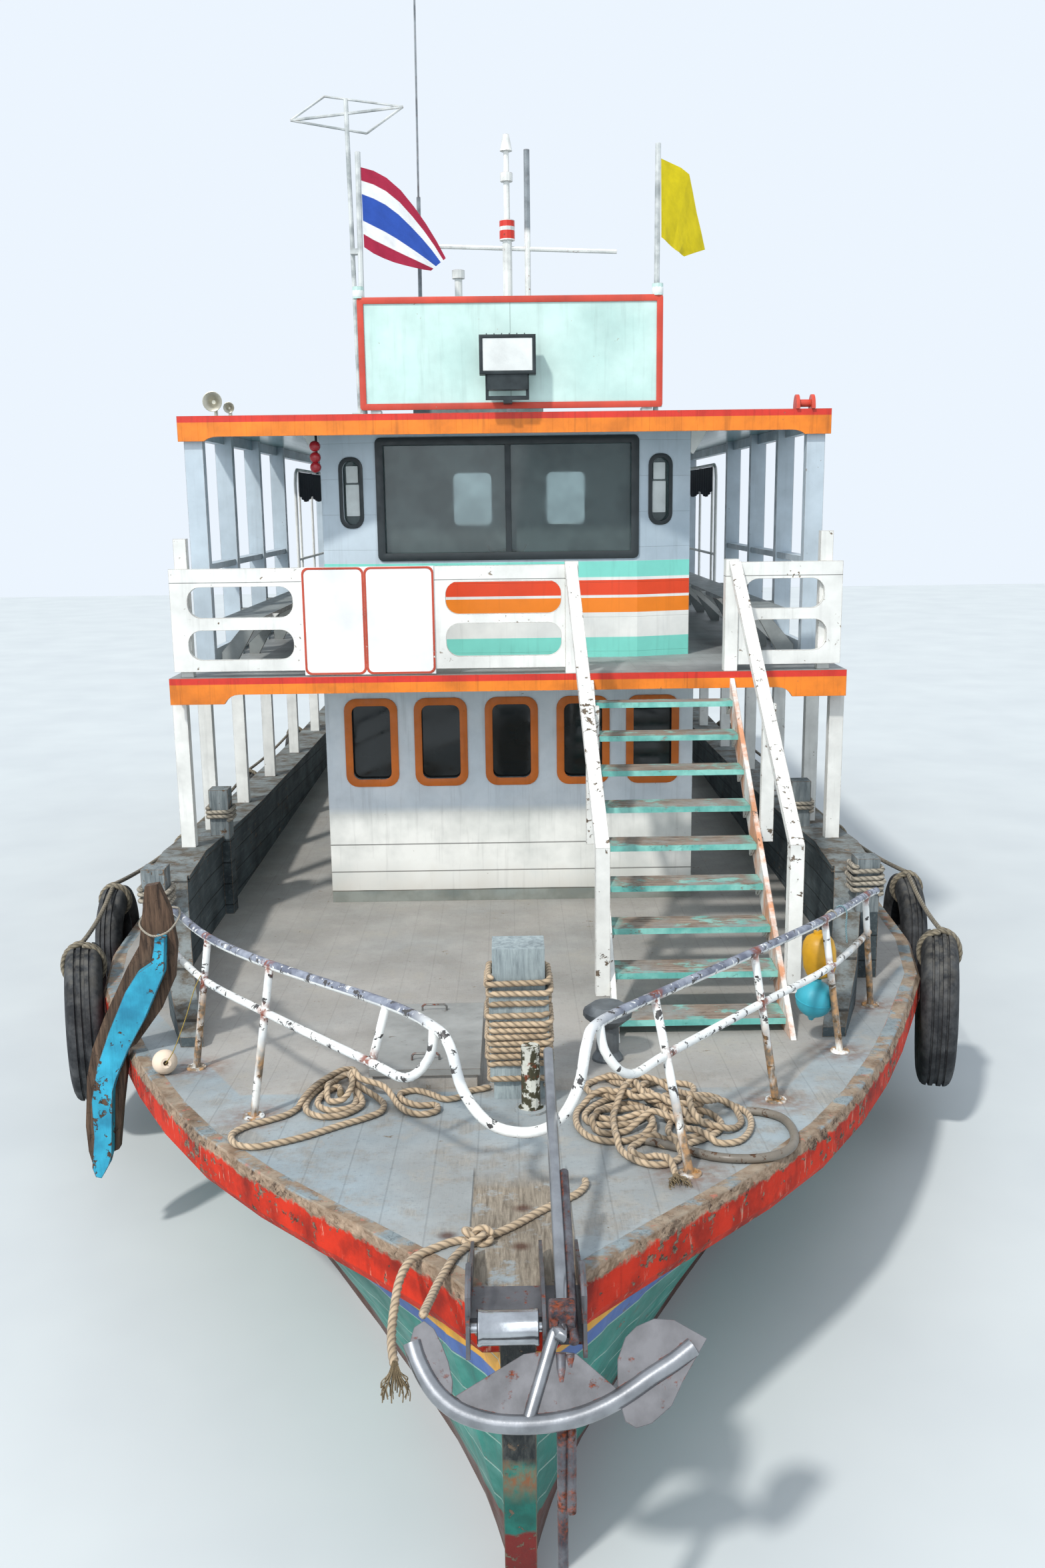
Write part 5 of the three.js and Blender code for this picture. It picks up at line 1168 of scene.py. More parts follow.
# The heaps from above, as x, y along each rope. The left one ends at the post.
LEFT_HEAP = (
    (-0.99, -8.1), (-1.02, -7.96), (-1.09, -8.08), (-1.1, -8.24), (-1.01, -8.34), (-0.9, -8.28),
    (-0.9, -8.1), (-0.95, -7.88), (-0.98, -7.76), (-1.03, -7.78), (-1.1, -7.9), (-1.16, -8.12),
    (-1.15, -8.33), (-1.05, -8.43), (-0.93, -8.4), (-0.85, -8.24), (-0.92, -8.05), (-0.94, -7.82),
    (-0.96, -7.7), (-1.05, -7.8), (-1.14, -8.01), (-1.19, -8.24), (-1.24, -8.38), (-1.33, -8.47),
    (-1.44, -8.56), (-1.49, -8.68), (-1.44, -8.81), (-1.34, -8.85), (-1.22, -8.8), (-1.09, -8.71),
    (-0.94, -8.57), (-0.8, -8.45), (-0.73, -8.35), (-0.75, -8.2), (-0.89, -8.09), (-0.95, -7.93),
    (-0.98, -7.84), (-1.06, -7.9), (-1.07, -8.06), (-1.04, -8.19), (-0.96, -8.23), (-0.92, -8.12),
    (-0.93, -8.01), (-0.87, -8.09), (-0.75, -8.11), (-0.68, -8.2), (-0.6, -8.36), (-0.51, -8.42),
    (-0.43, -8.37), (-0.44, -8.28), (-0.54, -8.28), (-0.63, -8.19), (-0.65, -8.09), (-0.57, -8.04),
    (-0.48, -8.1), (-0.39, -8.19), (-0.3, -8.15), (-0.25, -8.06), (-0.18, -8.03), (-0.137, -8.0))
RIGHT_HEAP = (
    (0.55, -7.9), (0.64, -7.87), (0.72, -7.91), (0.77, -8.05), (0.72, -8.22), (0.59, -8.29), (0.47, -8.19),
    (0.41, -8.04), (0.47, -7.93), (0.57, -7.95), (0.66, -8.08), (0.69, -8.28), (0.78, -8.41), (0.89, -8.35),
    (1.01, -8.3), (1.01, -8.45), (0.9, -8.52), (0.81, -8.44), (0.69, -8.37), (0.58, -8.27), (0.45, -8.25),
    (0.35, -8.39), (0.33, -8.6), (0.38, -8.78), (0.49, -8.86), (0.61, -8.83), (0.72, -8.7), (0.71, -8.52),
    (0.61, -8.42), (0.49, -8.44), (0.41, -8.6), (0.46, -8.74), (0.58, -8.72), (0.73, -8.6), (0.84, -8.64),
    (0.93, -8.77), (1.03, -8.9), (1.15, -8.88), (1.24, -8.7), (1.26, -8.49), (1.19, -8.35), (1.09, -8.3),
    (0.98, -8.38), (0.94, -8.56), (1.00, -8.7), (1.1, -8.75), (1.2, -8.63), (1.2, -8.46), (1.12, -8.41),
    (1.03, -8.5), (0.94, -8.44), (0.87, -8.24), (0.77, -8.16), (0.65, -8.22), (0.54, -8.49), (0.52, -8.77),
    (0.54, -9.00), (0.63, -9.15), (0.74, -9.17), (0.83, -9.06), (0.8, -8.92), (0.69, -8.86), (0.59, -8.94),
    (0.6, -9.07), (0.69, -9.09), (0.76, -9.19), (0.77, -9.31))

# The anchor's line from the port heap, and its frayed tail. Columns: x, y.
LINE_ROUTE = ((0.33, -9.3322), (0.33, -9.4), (0.29, -9.495), (0.215, -9.58), (0.12, -9.68), (0.0, -9.83),
              (-0.08, -9.915), (-0.15, -9.975), (-0.215, -10.055), (-0.262, -10.16), (-0.29, -10.28),
              (-0.315, -10.4), (-0.33, -10.52), (-0.343, -10.65), (-0.35, -10.766))
TAIL_ROUTE = ((-0.2, -9.985), (-0.27, -9.995), (-0.35, -10.06), (-0.415, -10.13), (-0.455, -10.23),
              (-0.475, -10.35), (-0.48, -10.48), (-0.48, -10.6), (-0.474, -10.7), (-0.464, -10.78),
              (-0.455, -10.83), (-0.448, -10.87))
LINE_END, TAIL_END = (-10.766, 1.823), (-10.87, 1.69)
LEAVES_DECK_Y = -10.28
KNOT_PLACE = (-0.17, -9.985)

# Turns on a square post or bitt: left, right, front, back, then each turn's height at its start
POST_TURNS = (-0.137, 0.2, -8.172, -7.898, (1.54, 1.585, 1.68, 1.72, 1.757, 1.797, 1.834, 1.872, 1.91,
                                            1.96, 2.03, 2.09, 2.15))
BITT_TURNS = ((2.42, 2.625, -3.925, -3.715, (2.1, 2.136, 2.175)),
              (2.48, 2.69, -5.905, -5.695, (1.94, 1.98, 2.03, 2.066, 2.12)))

# Thin cords: on the floats, on the cork ball, and round the two timbers. Columns: x, y, height.
FLOAT_CORD = ((1.985, -7.29, 2.2), (2.003, -7.292, 2.235), (1.972, -7.3, 2.266), (1.935, -7.312, 2.24),
              (1.912, -7.322, 2.195), (1.887, -7.322, 2.145), (1.9, -7.33, 1.985), (1.908, -7.337, 1.85),
              (1.88, -7.33, 1.705), (1.866, -7.31, 1.565))
HANGING_CORD = ((2.05, -7.1, 2.19), (2.058, -7.11, 2.23), (2.09, -7.12, 2.235), (2.112, -7.13, 2.195),
                (2.108, -7.14, 2.1), (2.118, -7.145, 2.0))
CORK_CORD = ((-1.872, -7.562, 2.005), (-1.91, -7.6, 1.92), (-1.96, -7.65, 1.76), (-2.02, -7.71, 1.6),
             (-2.062, -7.735, 1.53), (-2.08, -7.7, 1.502), (-2.098, -7.648, 1.4885))
TIMBER_CORD = ((-2.2, -6.875, 2.225), (-2.12, -7.0, 2.25), (-2.083, -7.18, 2.24), (-2.12, -7.323, 2.2),
               (-2.22, -7.322, 2.18), (-2.32, -7.2, 2.22), (-2.29, -7.0, 2.26), (-2.205, -6.91, 2.236))


def evenly(points, step):
    """Points at an even spacing along a line."""
    found, left = [Vector(points[0])], step
    for start, end in zip(points, points[1:]):
        start, end = Vector(start), Vector(end)
        run = (end - start).length
        while left <= run:
            found.append(start.lerp(end, left / run))
            left += step
        left -= run
    return found


def run_length(points):
    return sum((Vector(b) - Vector(a)).length for a, b in zip(points, points[1:]))


# How near crossing turns press together, as a share of the diameter, and the steepest slope of a hump
PRESSED, HUMP_SLOPE = 0.84, 0.3


def laid_down(route, diameter):
    """Heights for a rope laid turn over turn, with a long low hump at each crossing."""
    reach = PRESSED * diameter
    route = [spot[:2] for spot in evenly(smooth_path([(*spot, 0.0) for spot in route], 8), 0.01)]
    heights = [deck_z(y) + diameter / 2 + 0.001 for _, y in route]
    gaps = [math.dist(a, b) for a, b in zip(route, route[1:])]
    for _ in range(3):
        for i, (x, y) in enumerate(route):
            for j in range(i - 6):
                across, along = x - route[j][0], y - route[j][1]
                if abs(across) < reach and abs(along) < reach:
                    near = across * across + along * along
                    if near < reach * reach:
                        heights[i] = max(heights[i], heights[j] + math.sqrt(reach * reach - near))
        for i in range(1, len(route)):
            heights[i] = max(heights[i], heights[i - 1] - HUMP_SLOPE * gaps[i - 1])
        for i in range(len(route) - 2, -1, -1):
            heights[i] = max(heights[i], heights[i + 1] - HUMP_SLOPE * gaps[i])
    return [Vector((x, y, z)) for (x, y), z in zip(route, heights)]


LINE_LIFT, LINE_SAG = 0.0165, 0.06


def line_height(y, end):
    """The line lies on the deck, then sags on its way to the anchor."""
    if y > LEAVES_DECK_Y:
        return deck_z(y) + LINE_LIFT
    start = deck_z(LEAVES_DECK_Y) + LINE_LIFT
    share = (LEAVES_DECK_Y - y) / (LEAVES_DECK_Y - end[0])
    return start + (end[1] - start) * share - LINE_SAG * share * (1 - share)


def wound(left, right, low, high, heights):
    """A line wound round a square post, a little looser at every third turn."""
    found = []
    for turn, height in enumerate(heights):
        slack = 0.01 if turn % 3 == 2 and turn + 1 < len(heights) else 0.0
        ring = rounded(left - slack, right + slack, low - slack, high + slack, 0.035)
        rise = heights[min(turn + 1, len(heights) - 1)] - height or 0.035
        found += [(x, y, height + rise * i / len(ring)) for i, (x, y) in enumerate(ring)]
    return found


# One strand's outline as shares of the rope's radius, how many degrees each step of the lay turns,
# and how an end draws in
STRAND_SHAPE, LAY_STEP, END_SHAPE = (0.79, 0.96, 1.0, 0.96), 20, (0.45, 0.8, 0.95, 1.0)


def laid_rope(name, points, diameter, material):
    """A rope of three strands that twist round each other, with its ends drawn in."""
    radius = diameter / 2
    points = evenly(points, 0.2 * diameter)
    corners = []
    for i, out in enumerate(STRAND_SHAPE * 3):
        angle = 2 * math.pi * i / (3 * len(STRAND_SHAPE))
        corners.append((radius * out * math.cos(angle), radius * out * math.sin(angle), 0.0))
    outline, spline = drawn("strands", corners, True)
    spline.use_cyclic_u = True
    shape = linked("strands", outline)
    curve, spline = drawn(name, points)
    curve.twist_mode, curve.bevel_mode, curve.bevel_object = "MINIMUM", "OBJECT", shape
    for i, spot in enumerate(spline.points):
        spot.tilt = math.radians(LAY_STEP * i % 360)
        spot.radius = END_SHAPE[min(i, len(points) - 1 - i, len(END_SHAPE) - 1)]
    solid_line(name, curve)
    length = run_length(points)
    for corner in bpy.context.object.data.uv_layers[0].data:
        corner.uv.x *= length
    sound()
    bpy.data.objects.remove(shape)
    return settle(name, material, 60), points, length


def free_rope(name, points, far_end, material, diameter=None, replaces=(), with_pieces=()):
    """A laid rope, placed on the vessel."""
    diameter = diameter or sizes().rope
    piece, line, length = laid_rope(name, points, diameter, material)
    placed(piece, replaces=replaces)
    tuple(line[0])
    [tuple(p) for p in line]
    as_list(with_pieces)


def whipped(name, points, material):
    """Twine bound round a rope's last few centimetres."""
    end, before = Vector(points[-1]), Vector(points[-4])
    way = (end - before).normalized()
    grip = sizes().rope * 0.53
    profile = ((0.0, -0.05), (grip, -0.05), (grip * 1.04, -0.04), (grip, -0.03),
               (grip * 1.04, -0.02), (grip, -0.01), (grip * 0.6, 0.003), (0.0, 0.004))
    return placed(turned(name, profile, end, way, material, 12))


def stopper_knot(name, place, size, diameter, material):
    """A round knot of three turns pulled tight into each other."""
    x, y = place
    centre = Vector((x, y, deck_z(y) + 0.036))
    found = []
    for i in range(97):
        turn = 2 * math.pi * i / 96
        swell = size * (1.0 + 0.42 * math.cos(3 * turn))
        found.append(centre + Vector((swell * math.cos(2 * turn), swell * 0.8 * math.sin(2 * turn),
                                      size * 0.42 * math.sin(3 * turn))))
    return laid_rope(name, found, diameter, material)[0]


def frayed(name, place, way, material):
    """Loose yarns that fan out of a rope's end."""
    centre, way, strands = Vector(place), Vector(way).normalized(), []
    side = way.cross((0.0, 1.0, 0.1)) if abs(way.z) > 0.5 else way.cross((0.0, 0.0, 1.0))
    rise = side.cross(way)
    for i in range(34):
        out = side * math.sin(2.4 * i) * 0.03 + rise * math.cos(2.4 * i) * 0.011
        reach = 0.07 + 0.012 * ((i * 5) % 6)
        points = [centre + out * 0.2 - way * 0.02, centre + out * 0.8 + way * reach * 0.35,
                  centre + out * (1.4 + 0.1 * (i % 5)) + way * reach * 0.7,
                  centre + out * (1.2 + 0.2 * (i % 4)) + way * reach]
        strands.append(tube(f"{name}_{i}", smooth_path(points, 4), 0.0028, material, 0))
    return placed(joined(name, strands))


# The right heap lies on a smaller copy of its own turns, turned round this place
HEAP_MIDDLE = (0.77, -8.48)


class FERRY_OT_ropes(Operator):
    """Lays the foredeck's rope heaps, the anchor's line, and the turns on the post and the bitts"""

    bl_idname = "ferry.ropes"
    bl_label = "Ropes"

    def execute(self, context):
        diameter = sizes().rope
        tan = rope_finish("rope_tan", "rope", "#7b6a55")
        grey = rope_finish("rope_grey", "#aaa293", "#5d574d")
        twine = painted("twine", "#8b7a5e", "#51442f", 0.2, 0.3, rough=0.9)
        across, ahead = HEAP_MIDDLE
        again = [(across + 0.62 * (x - across) + 0.5 * (y - ahead),
                  ahead + 0.66 * (y - ahead) - 0.5 * (x - across)) for x, y in RIGHT_HEAP[:-16]]
        left, right = (laid_down(route, diameter) for route in (LEFT_HEAP, (*again, *RIGHT_HEAP)))
        free_rope("rope_heap_left", left, "object", tan, replaces=["rope_heap_starboard"],
                  with_pieces=[whipped("heap_left_whipping", left[::-1], twine)])
        brush = frayed("heap_yarns", right[-1], (0.1, -1.0, 0.0), twine)
        free_rope("rope_heap_right", right, "bare", tan, replaces=["rope_heap_port"],
                  with_pieces=[brush])
        knot = placed(stopper_knot("line_knot", KNOT_PLACE, 0.046, 0.032, tan))
        line = [(x, y, line_height(y, LINE_END)) for x, y in LINE_ROUTE]
        tail = [(x, y, line_height(y, TAIL_END)) for x, y in TAIL_ROUTE]
        free_rope("anchor_rope", smooth_path(line, 8), "object", tan, replaces=["anchor_line"],
                  with_pieces=[knot])
        fray = frayed("tail_yarns", tail[-1], (0.0, -0.15, -1.0), twine)
        free_rope("anchor_rope_tail", smooth_path(tail, 8), "bare", tan, with_pieces=[fray])
        free_rope("post_turns", wound(*POST_TURNS), "object", tan)
        for i, (inner, outer, front, back, heights) in enumerate(BITT_TURNS):
            for side, turns in (("port", wound(inner, outer, front, back, heights)),
                                ("starboard", wound(-outer, -inner, front, back, heights[:3]))):
                free_rope(f"bitt_turns_{side}_{i}", turns, "object", grey)
        return {"FINISHED"}


# Hull and decks

class FERRY_OT_hull(Operator):
    """Paints the hull and dresses the keel, the guard and what is under water"""

    bl_idname = "ferry.hull"
    bl_label = "Hull"

    def execute(self, context):
        dress(hull_finish(), "hull")
        dress(stem_finish(), "keel_and_stem")
        dress(strake_finish(), "rubbing_strake")
        dress(metal("bronze", "#8f6b35", "#3f6b57", 0.35, 0.35), "propeller")
        dress(metal("rudder_steel", "#6e3a2a", "rust", 0.5, 0.6, shine=0.4), "rudder")
        dress(painted("engine_paint", "#4e6a5c", "rust", 0.3, 0.4), "engine_block")
        return {"FINISHED"}


# A grip's bent rod as places across the boat and heights above the lid
GRIP_SHAPE = ((-0.6, -0.002), (-0.6, 0.03), (-0.585, 0.042), (-0.455, 0.042), (-0.44, 0.03), (-0.44, -0.002))


class FERRY_OT_decks(Operator):
    """Paints the decks and the roof, and fits the hatch lid's grips"""

    bl_idname = "ferry.decks"
    bl_label = "Decks"

    def execute(self, context):
        dress(deck_finish(), "main_deck")
        dress(painted("hatch_paint", "#9a9c9a", "#6a5a49", 0.35, 0.3, 16.0, edge=0.4), "hatch_lid")
        dress(slab_finish("upper_deck_paint", UPPER_DECK_Z, 0.054, 3.34), "upper_deck")
        dress(slab_finish("roof_paint", ROOF_Z, 0.053, 5.39), "roof")
        steel = metal("grip_steel", "#8b8b88", "rust", 0.5)
        for name, y in (("hatch_grip_front", -7.82), ("hatch_grip_back", -6.86)):
            z = top_of("hatch_lid", -0.52, y)
            points = [(x, y, z + lift) for x, lift in GRIP_SHAPE]
            placed(tube(name, points, 0.007, steel), "hatch_lid")
        return {"FINISHED"}


class FERRY_OT_bulwarks(Operator):
    """Paints the bulwarks"""

    bl_idname = "ferry.bulwarks"
    bl_label = "Bulwarks"

    def execute(self, context):
        dress(bulwark_finish(), "bulwark_port", "bulwark_starboard", "stern_bulwark")
        return {"FINISHED"}


# Foredeck gear

# The pulpit's rails from the aft starboard end round the bow, and its posts as top and foot
TOP_RAIL = ((-2.2, -6.84, 2.2), (-1.82, -7.54, 2.235), (-1.3, -8.37, 2.35), (-0.62, -9.09, 2.4),
            (-0.36, -9.48, 2.43), (-0.285, -9.57, 2.37), (-0.23, -9.61, 2.18), (-0.11, -9.64, 2.03),
            (0.06, -9.65, 1.99), (0.2, -9.63, 2.04), (0.29, -9.6, 2.19), (0.33, -9.55, 2.37),
            (0.39, -9.46, 2.43), (0.69, -9.03, 2.39), (1.32, -8.25, 2.335), (1.9, -7.43, 2.25),
            (2.395, -6.515, 2.12), (2.53, -6.3, 2.09))
MID_RAILS = (((-2.23, -6.8, 1.9), (-1.85, -7.54, 1.96), (-1.34, -8.37, 2.08), (-0.7, -9.16, 2.13),
              (-0.5, -9.42, 2.16), (-0.385, -9.5, 2.29), (-0.362, -9.484, 2.425)),
             ((2.48, -6.33, 1.8), (1.95, -7.43, 1.95), (1.37, -8.25, 2.04), (0.76, -9.07, 2.11),
              (0.54, -9.4, 2.15), (0.42, -9.48, 2.29), (0.392, -9.464, 2.425)))
RAIL_POSTS = (((-1.82, -7.54, 2.235), (-1.94, -7.54)), ((-1.3, -8.37, 2.35), (-1.432, -8.373)),
              ((0.69, -9.03, 2.39), (0.843, -9.255)), ((1.32, -8.25, 2.335), (1.462, -8.25)),
              ((1.9, -7.43, 2.25), (2.025, -7.427)), ((2.395, -6.515, 2.12), (2.462, -6.515)))
RAIL_FEET = [foot for _, foot in RAIL_POSTS]
RAIL_JOINTS = (*(top for top, _ in RAIL_POSTS), *(spot for rail in MID_RAILS for spot in rail[1:4]))

# The anchor hangs over the bow in a plane that leans aft. Places in it are across, up the plane.
ANCHOR_BASE, ANCHOR_LEAN = Vector((0.0, -11.05, 1.46)), math.radians(38)
ANCHOR_UP = Vector((0.0, math.sin(ANCHOR_LEAN), math.cos(ANCHOR_LEAN)))
ANCHOR_ARM = ((-0.387, 0.372), (-0.366, 0.313), (-0.329, 0.246), (-0.284, 0.19), (-0.22, 0.143),
              (-0.141, 0.113), (-0.062, 0.098), (0.032, 0.094), (0.127, 0.1), (0.223, 0.118),
              (0.319, 0.152), (0.401, 0.194), (0.483, 0.244), (0.566, 0.29), (0.64, 0.34))
ANCHOR_PLATES = (
    ((-0.228, 0.19), (0.021, 0.325), (0.06, 0.33), (0.175, 0.33), (0.214, 0.322), (0.354, 0.205),
     (0.223, 0.118), (0.032, 0.094), (-0.141, 0.113)),
    ((0.358, 0.22), (0.362, 0.301), (0.394, 0.375), (0.437, 0.412), (0.503, 0.437), (0.576, 0.432),
     (0.693, 0.366), (0.594, 0.223), (0.549, 0.145), (0.474, 0.089), (0.418, 0.075), (0.38, 0.097),
     (0.366, 0.15)),
    ((-0.395, 0.37), (-0.38, 0.422), (-0.344, 0.444), (-0.307, 0.417), (-0.278, 0.364),
     (-0.253, 0.304), (-0.237, 0.238), (-0.24, 0.165), (-0.3, 0.2)))
PLATE_THICK = 0.012
SHANK = ((0.1651, -10.76, 1.8012), (0.165, -9.645, 2.0763), (0.165, -9.2, 2.186))

# The bent bar that lies on the deck
BENT_BAR = ((0.65, -8.85), (0.79, -8.94), (0.98, -9.09), (1.16, -9.13), (1.31, -9.08), (1.41, -8.95),
            (1.45, -8.75), (1.43, -8.58), (1.35, -8.49), (1.26, -8.46))
BAR_RADIUS = 0.023

# Net floats that hang inside the port rail, and the cork ball on deck
FLOATS_X, FLOATS_Y = 1.88, -7.33
CORK_PLACE, CORK_RADIUS = (-2.105, -7.63), 0.075

# Turned shapes as radius and height
LONG_FLOAT = ((0.0, -0.138), (0.05, -0.135), (0.085, -0.112), (0.102, -0.06), (0.104, 0.03), (0.094, 0.09),
              (0.072, 0.125), (0.04, 0.14), (0.026, 0.143), (0.026, 0.16), (0.0, 0.161))
ROLLER_SHAPE = ((0.0, -0.0255), (0.018, -0.0255), (0.018, 0.0), (0.062, 0.0), (0.066, 0.004),
                (0.066, 0.012), (0.063, 0.018), (0.063, 0.212), (0.066, 0.218), (0.066, 0.226),
                (0.062, 0.23), (0.018, 0.23), (0.018, 0.2415), (0.0, 0.2415))


def half_round(radius, steps):
    """A ball's profile from below to above, without its poles."""
    angles = [math.pi * i / steps for i in range(1, steps)]
    return [(radius * math.sin(a), -radius * math.cos(a)) for a in angles]


def on_anchor(place):
    return ANCHOR_BASE + Vector((place[0], 0.0, 0.0)) + ANCHOR_UP * place[1]


def pulpit():
    """The pulpit's pipes, with a round foot plate and two bolts under each post."""
    paint = pulpit_finish("pulpit_paint", False)
    parts = [tube("pulpit", smooth_path(TOP_RAIL, 5), 0.025, pulpit_finish("top_rail_paint", True), 4)]
    parts += [tube("mid_rail", smooth_path(rail, 5), 0.022, paint, 4) for rail in MID_RAILS]
    for top, (x, y) in RAIL_POSTS:
        foot = deck_z(y)
        parts.append(bar("post", (x, y, foot), top, 0.022, paint))
        parts.append(bar("foot", (x, y, foot - 0.004), (x, y, foot + 0.012), 0.06, paint, 24))
        parts += [bar("bolt", (x + dx, y, foot + 0.011), (x + dx, y, foot + 0.022), 0.009, paint, 6)
                  for dx in (-0.04, 0.04)]
    parts.append(bar("post", (-0.61, -9.105, 2.4), (-0.682, -9.14, 2.13), 0.021, paint))
    return placed(joined("pulpit", parts), replaces=["pulpit_rail"])


def anchor():
    """The anchor: a bent pipe with three plates, its shank, and the bars beside it."""
    shine = metal("anchor_pipe", "#a3a5a9", "#6b4a38", 0.22, 0.3, 14.0, shine=0.9)
    rough = metal("anchor_plate", "#6f6f73", "rust", 0.42, 0.6, 16.0, shine=0.35)
    rusty = anchor_finish()
    normal = Vector((1.0, 0.0, 0.0)).cross(ANCHOR_UP)
    parts = [tube("anchor", smooth_path([on_anchor(p) for p in ANCHOR_ARM], 3), 0.034, shine, 6)]
    plane = (ANCHOR_BASE - normal * PLATE_THICK / 2, (1.0, 0.0, 0.0), ANCHOR_UP)
    parts += [plate("plate", outline, PLATE_THICK, plane, rough) for outline in ANCHOR_PLATES]
    neck = [on_anchor((0.03, 0.095)), on_anchor((0.137, 0.4))]
    parts.append(tube("shank", smooth_path([*neck, *SHANK], 4), 0.025, shine, 4))
    parts.append(bar("second_bar", (0.205, -10.85, 1.76), (0.205, -10.0, 1.984), 0.019, rusty))
    for points, radius in ((((0.156, -10.85, 1.72), (0.156, -10.94, 1.5), (0.156, -10.95, 1.0),
                             (0.156, -10.975, -0.15)), 0.02),
                           (((0.19, -10.85, 1.715), (0.19, -10.94, 1.49), (0.187, -10.97, 1.15)), 0.018)):
        parts.append(tube("drop_bar", smooth_path(points, 6), radius, rusty, 3))
    parts.append(block("joint", (0.114, -10.81, 1.765), (0.215, -10.735, 1.872), rusty, 0.012, 2))
    for x in (0.135, 0.194):
        parts.append(bar("joint_bolt", (x, -10.822, 1.82), (x, -10.809, 1.82), 0.014, rusty, 6))
    return placed(joined("anchor", parts), replaces=["anchor"])


class FERRY_OT_foredeck(Operator):
    """Dresses the post and the bollard; builds the pulpit, the anchor, its roller and the floats"""

    bl_idname = "ferry.foredeck"
    bl_label = "Foredeck gear"

    def execute(self, context):
        dress(timber("post_timber", "#a2aeb0", "#7b868a", (30.0, 30.0, 4.0), depth=0.001), "sampson_post")
        dress(metal("bollard_iron", "#6a7074", "rust", 0.3, 0.55, shine=0.3), "mushroom_bollard")
        dress(metal("roller_frame_steel", "#77777b", "rust", 0.5, 0.45), "bow_roller_frame")
        pulpit()
        anchor()
        chrome = metal("roller_chrome", "#c9ccd0", "#6b5a4a", 0.12, 0.2, 30.0, shine=1.0)
        drum = turned("roller", ROLLER_SHAPE, (-0.15, -10.73, 1.745), (1.0, 0.0, 0.0), chrome, 40)
        placed(drum, "bow_roller", ["bow_roller"])
        bar_paint = painted("bent_bar_paint", "#7d756a", "#5b3f2a", 0.6, 0.3)
        points = [(x, y, deck_z(y) + BAR_RADIUS + 0.0005) for x, y in BENT_BAR]
        placed(tube("bent_bar", smooth_path(points, 6), BAR_RADIUS, bar_paint, 4))
        ball = half_round(0.118, 16)
        ball[7:8] = [(0.1175, -0.004), (0.121, -0.003), (0.121, 0.003), (0.1175, 0.004)]
        ball = [(0.0, -0.15), (0.014, -0.148), (0.022, -0.13), *ball[1:-1],
                (0.024, 0.125), (0.02, 0.142), (0.0, 0.144)]
        aqua = turned("aqua_float", ball, (FLOATS_X, FLOATS_Y, 1.705), (0.1, -0.15, 1.0),
                      painted("aqua_float", "#3aa9bd", "#2a6f80", 0.1, 0.25, edge=0.0), 32)
        ochre = turned("ochre_float", LONG_FLOAT, (FLOATS_X + 0.02, FLOATS_Y, 1.985), (-0.08, 0.05, 1.0),
                       painted("ochre_float", "#cf9a12", "#7a5a14", 0.25, 0.4, edge=0.0), 28)
        floats = [placed(aqua), placed(ochre)]
        x, y = CORK_PLACE
        bore = ((0.016, 0.066), (0.014, -0.02), (0.012, -0.021), (0.0, -0.022))
        cork = turned("cork_ball", [(0.0, -CORK_RADIUS), *half_round(CORK_RADIUS, 15)[:-1], *bore],
                      (x, y, deck_z(y) + CORK_RADIUS + 0.0005), (0.35, -0.9, 0.25),
                      painted("cork", "#d8c6b2", "#a5825c", 0.35, 0.35, 22.0, edge=0.0, rough=0.8), 28)
        cords = (("float_cord", FLOAT_CORD, "fitting", 0.016, "#aaa293", floats),
                 ("hanging_cord", HANGING_CORD, "bare", 0.012, "#7f9fa6", ()),
                 ("cork_cord", CORK_CORD, "fitting", 0.006, "#b39a4a", [placed(cork)]),
                 ("timber_cord", TIMBER_CORD, "object", 0.014, "#aaa293", ()))
        for name, route, end, size, code, pieces in cords:
            free_rope(name, smooth_path(route, 8), end, rope_finish(name, code, "#5d574d"),
                      diameter=size, with_pieces=pieces)
        return {"FINISHED"}


# Cabin and stair

CABIN_FACE_Y, CABIN_FACE_X = -3.5985, 1.6115
FRONT_WINDOWS = (-1.213, -0.603, 0.018, 0.647, 1.258)
SIDE_WINDOW_START, SIDE_WINDOW_PITCH, SIDE_WINDOWS = -2.95, 1.02, 9
WINDOW_HALF, WINDOW_LOW, WINDOW_HIGH = 0.175, 2.37, 3.04
TREADS, NOSE_Y, GOING, RISE, TREAD_THICK = 8, -4.761, 0.286, 0.217, 0.0425
# The stringers' inner faces, and the cleats against them
STAIR_SIDES, CLEAT_THICK = (0.6785, 1.7645), 0.021


def window_at(middle):
    """A cabin window's opening round its middle."""
    return middle - WINDOW_HALF, middle + WINDOW_HALF, WINDOW_LOW, WINDOW_HIGH


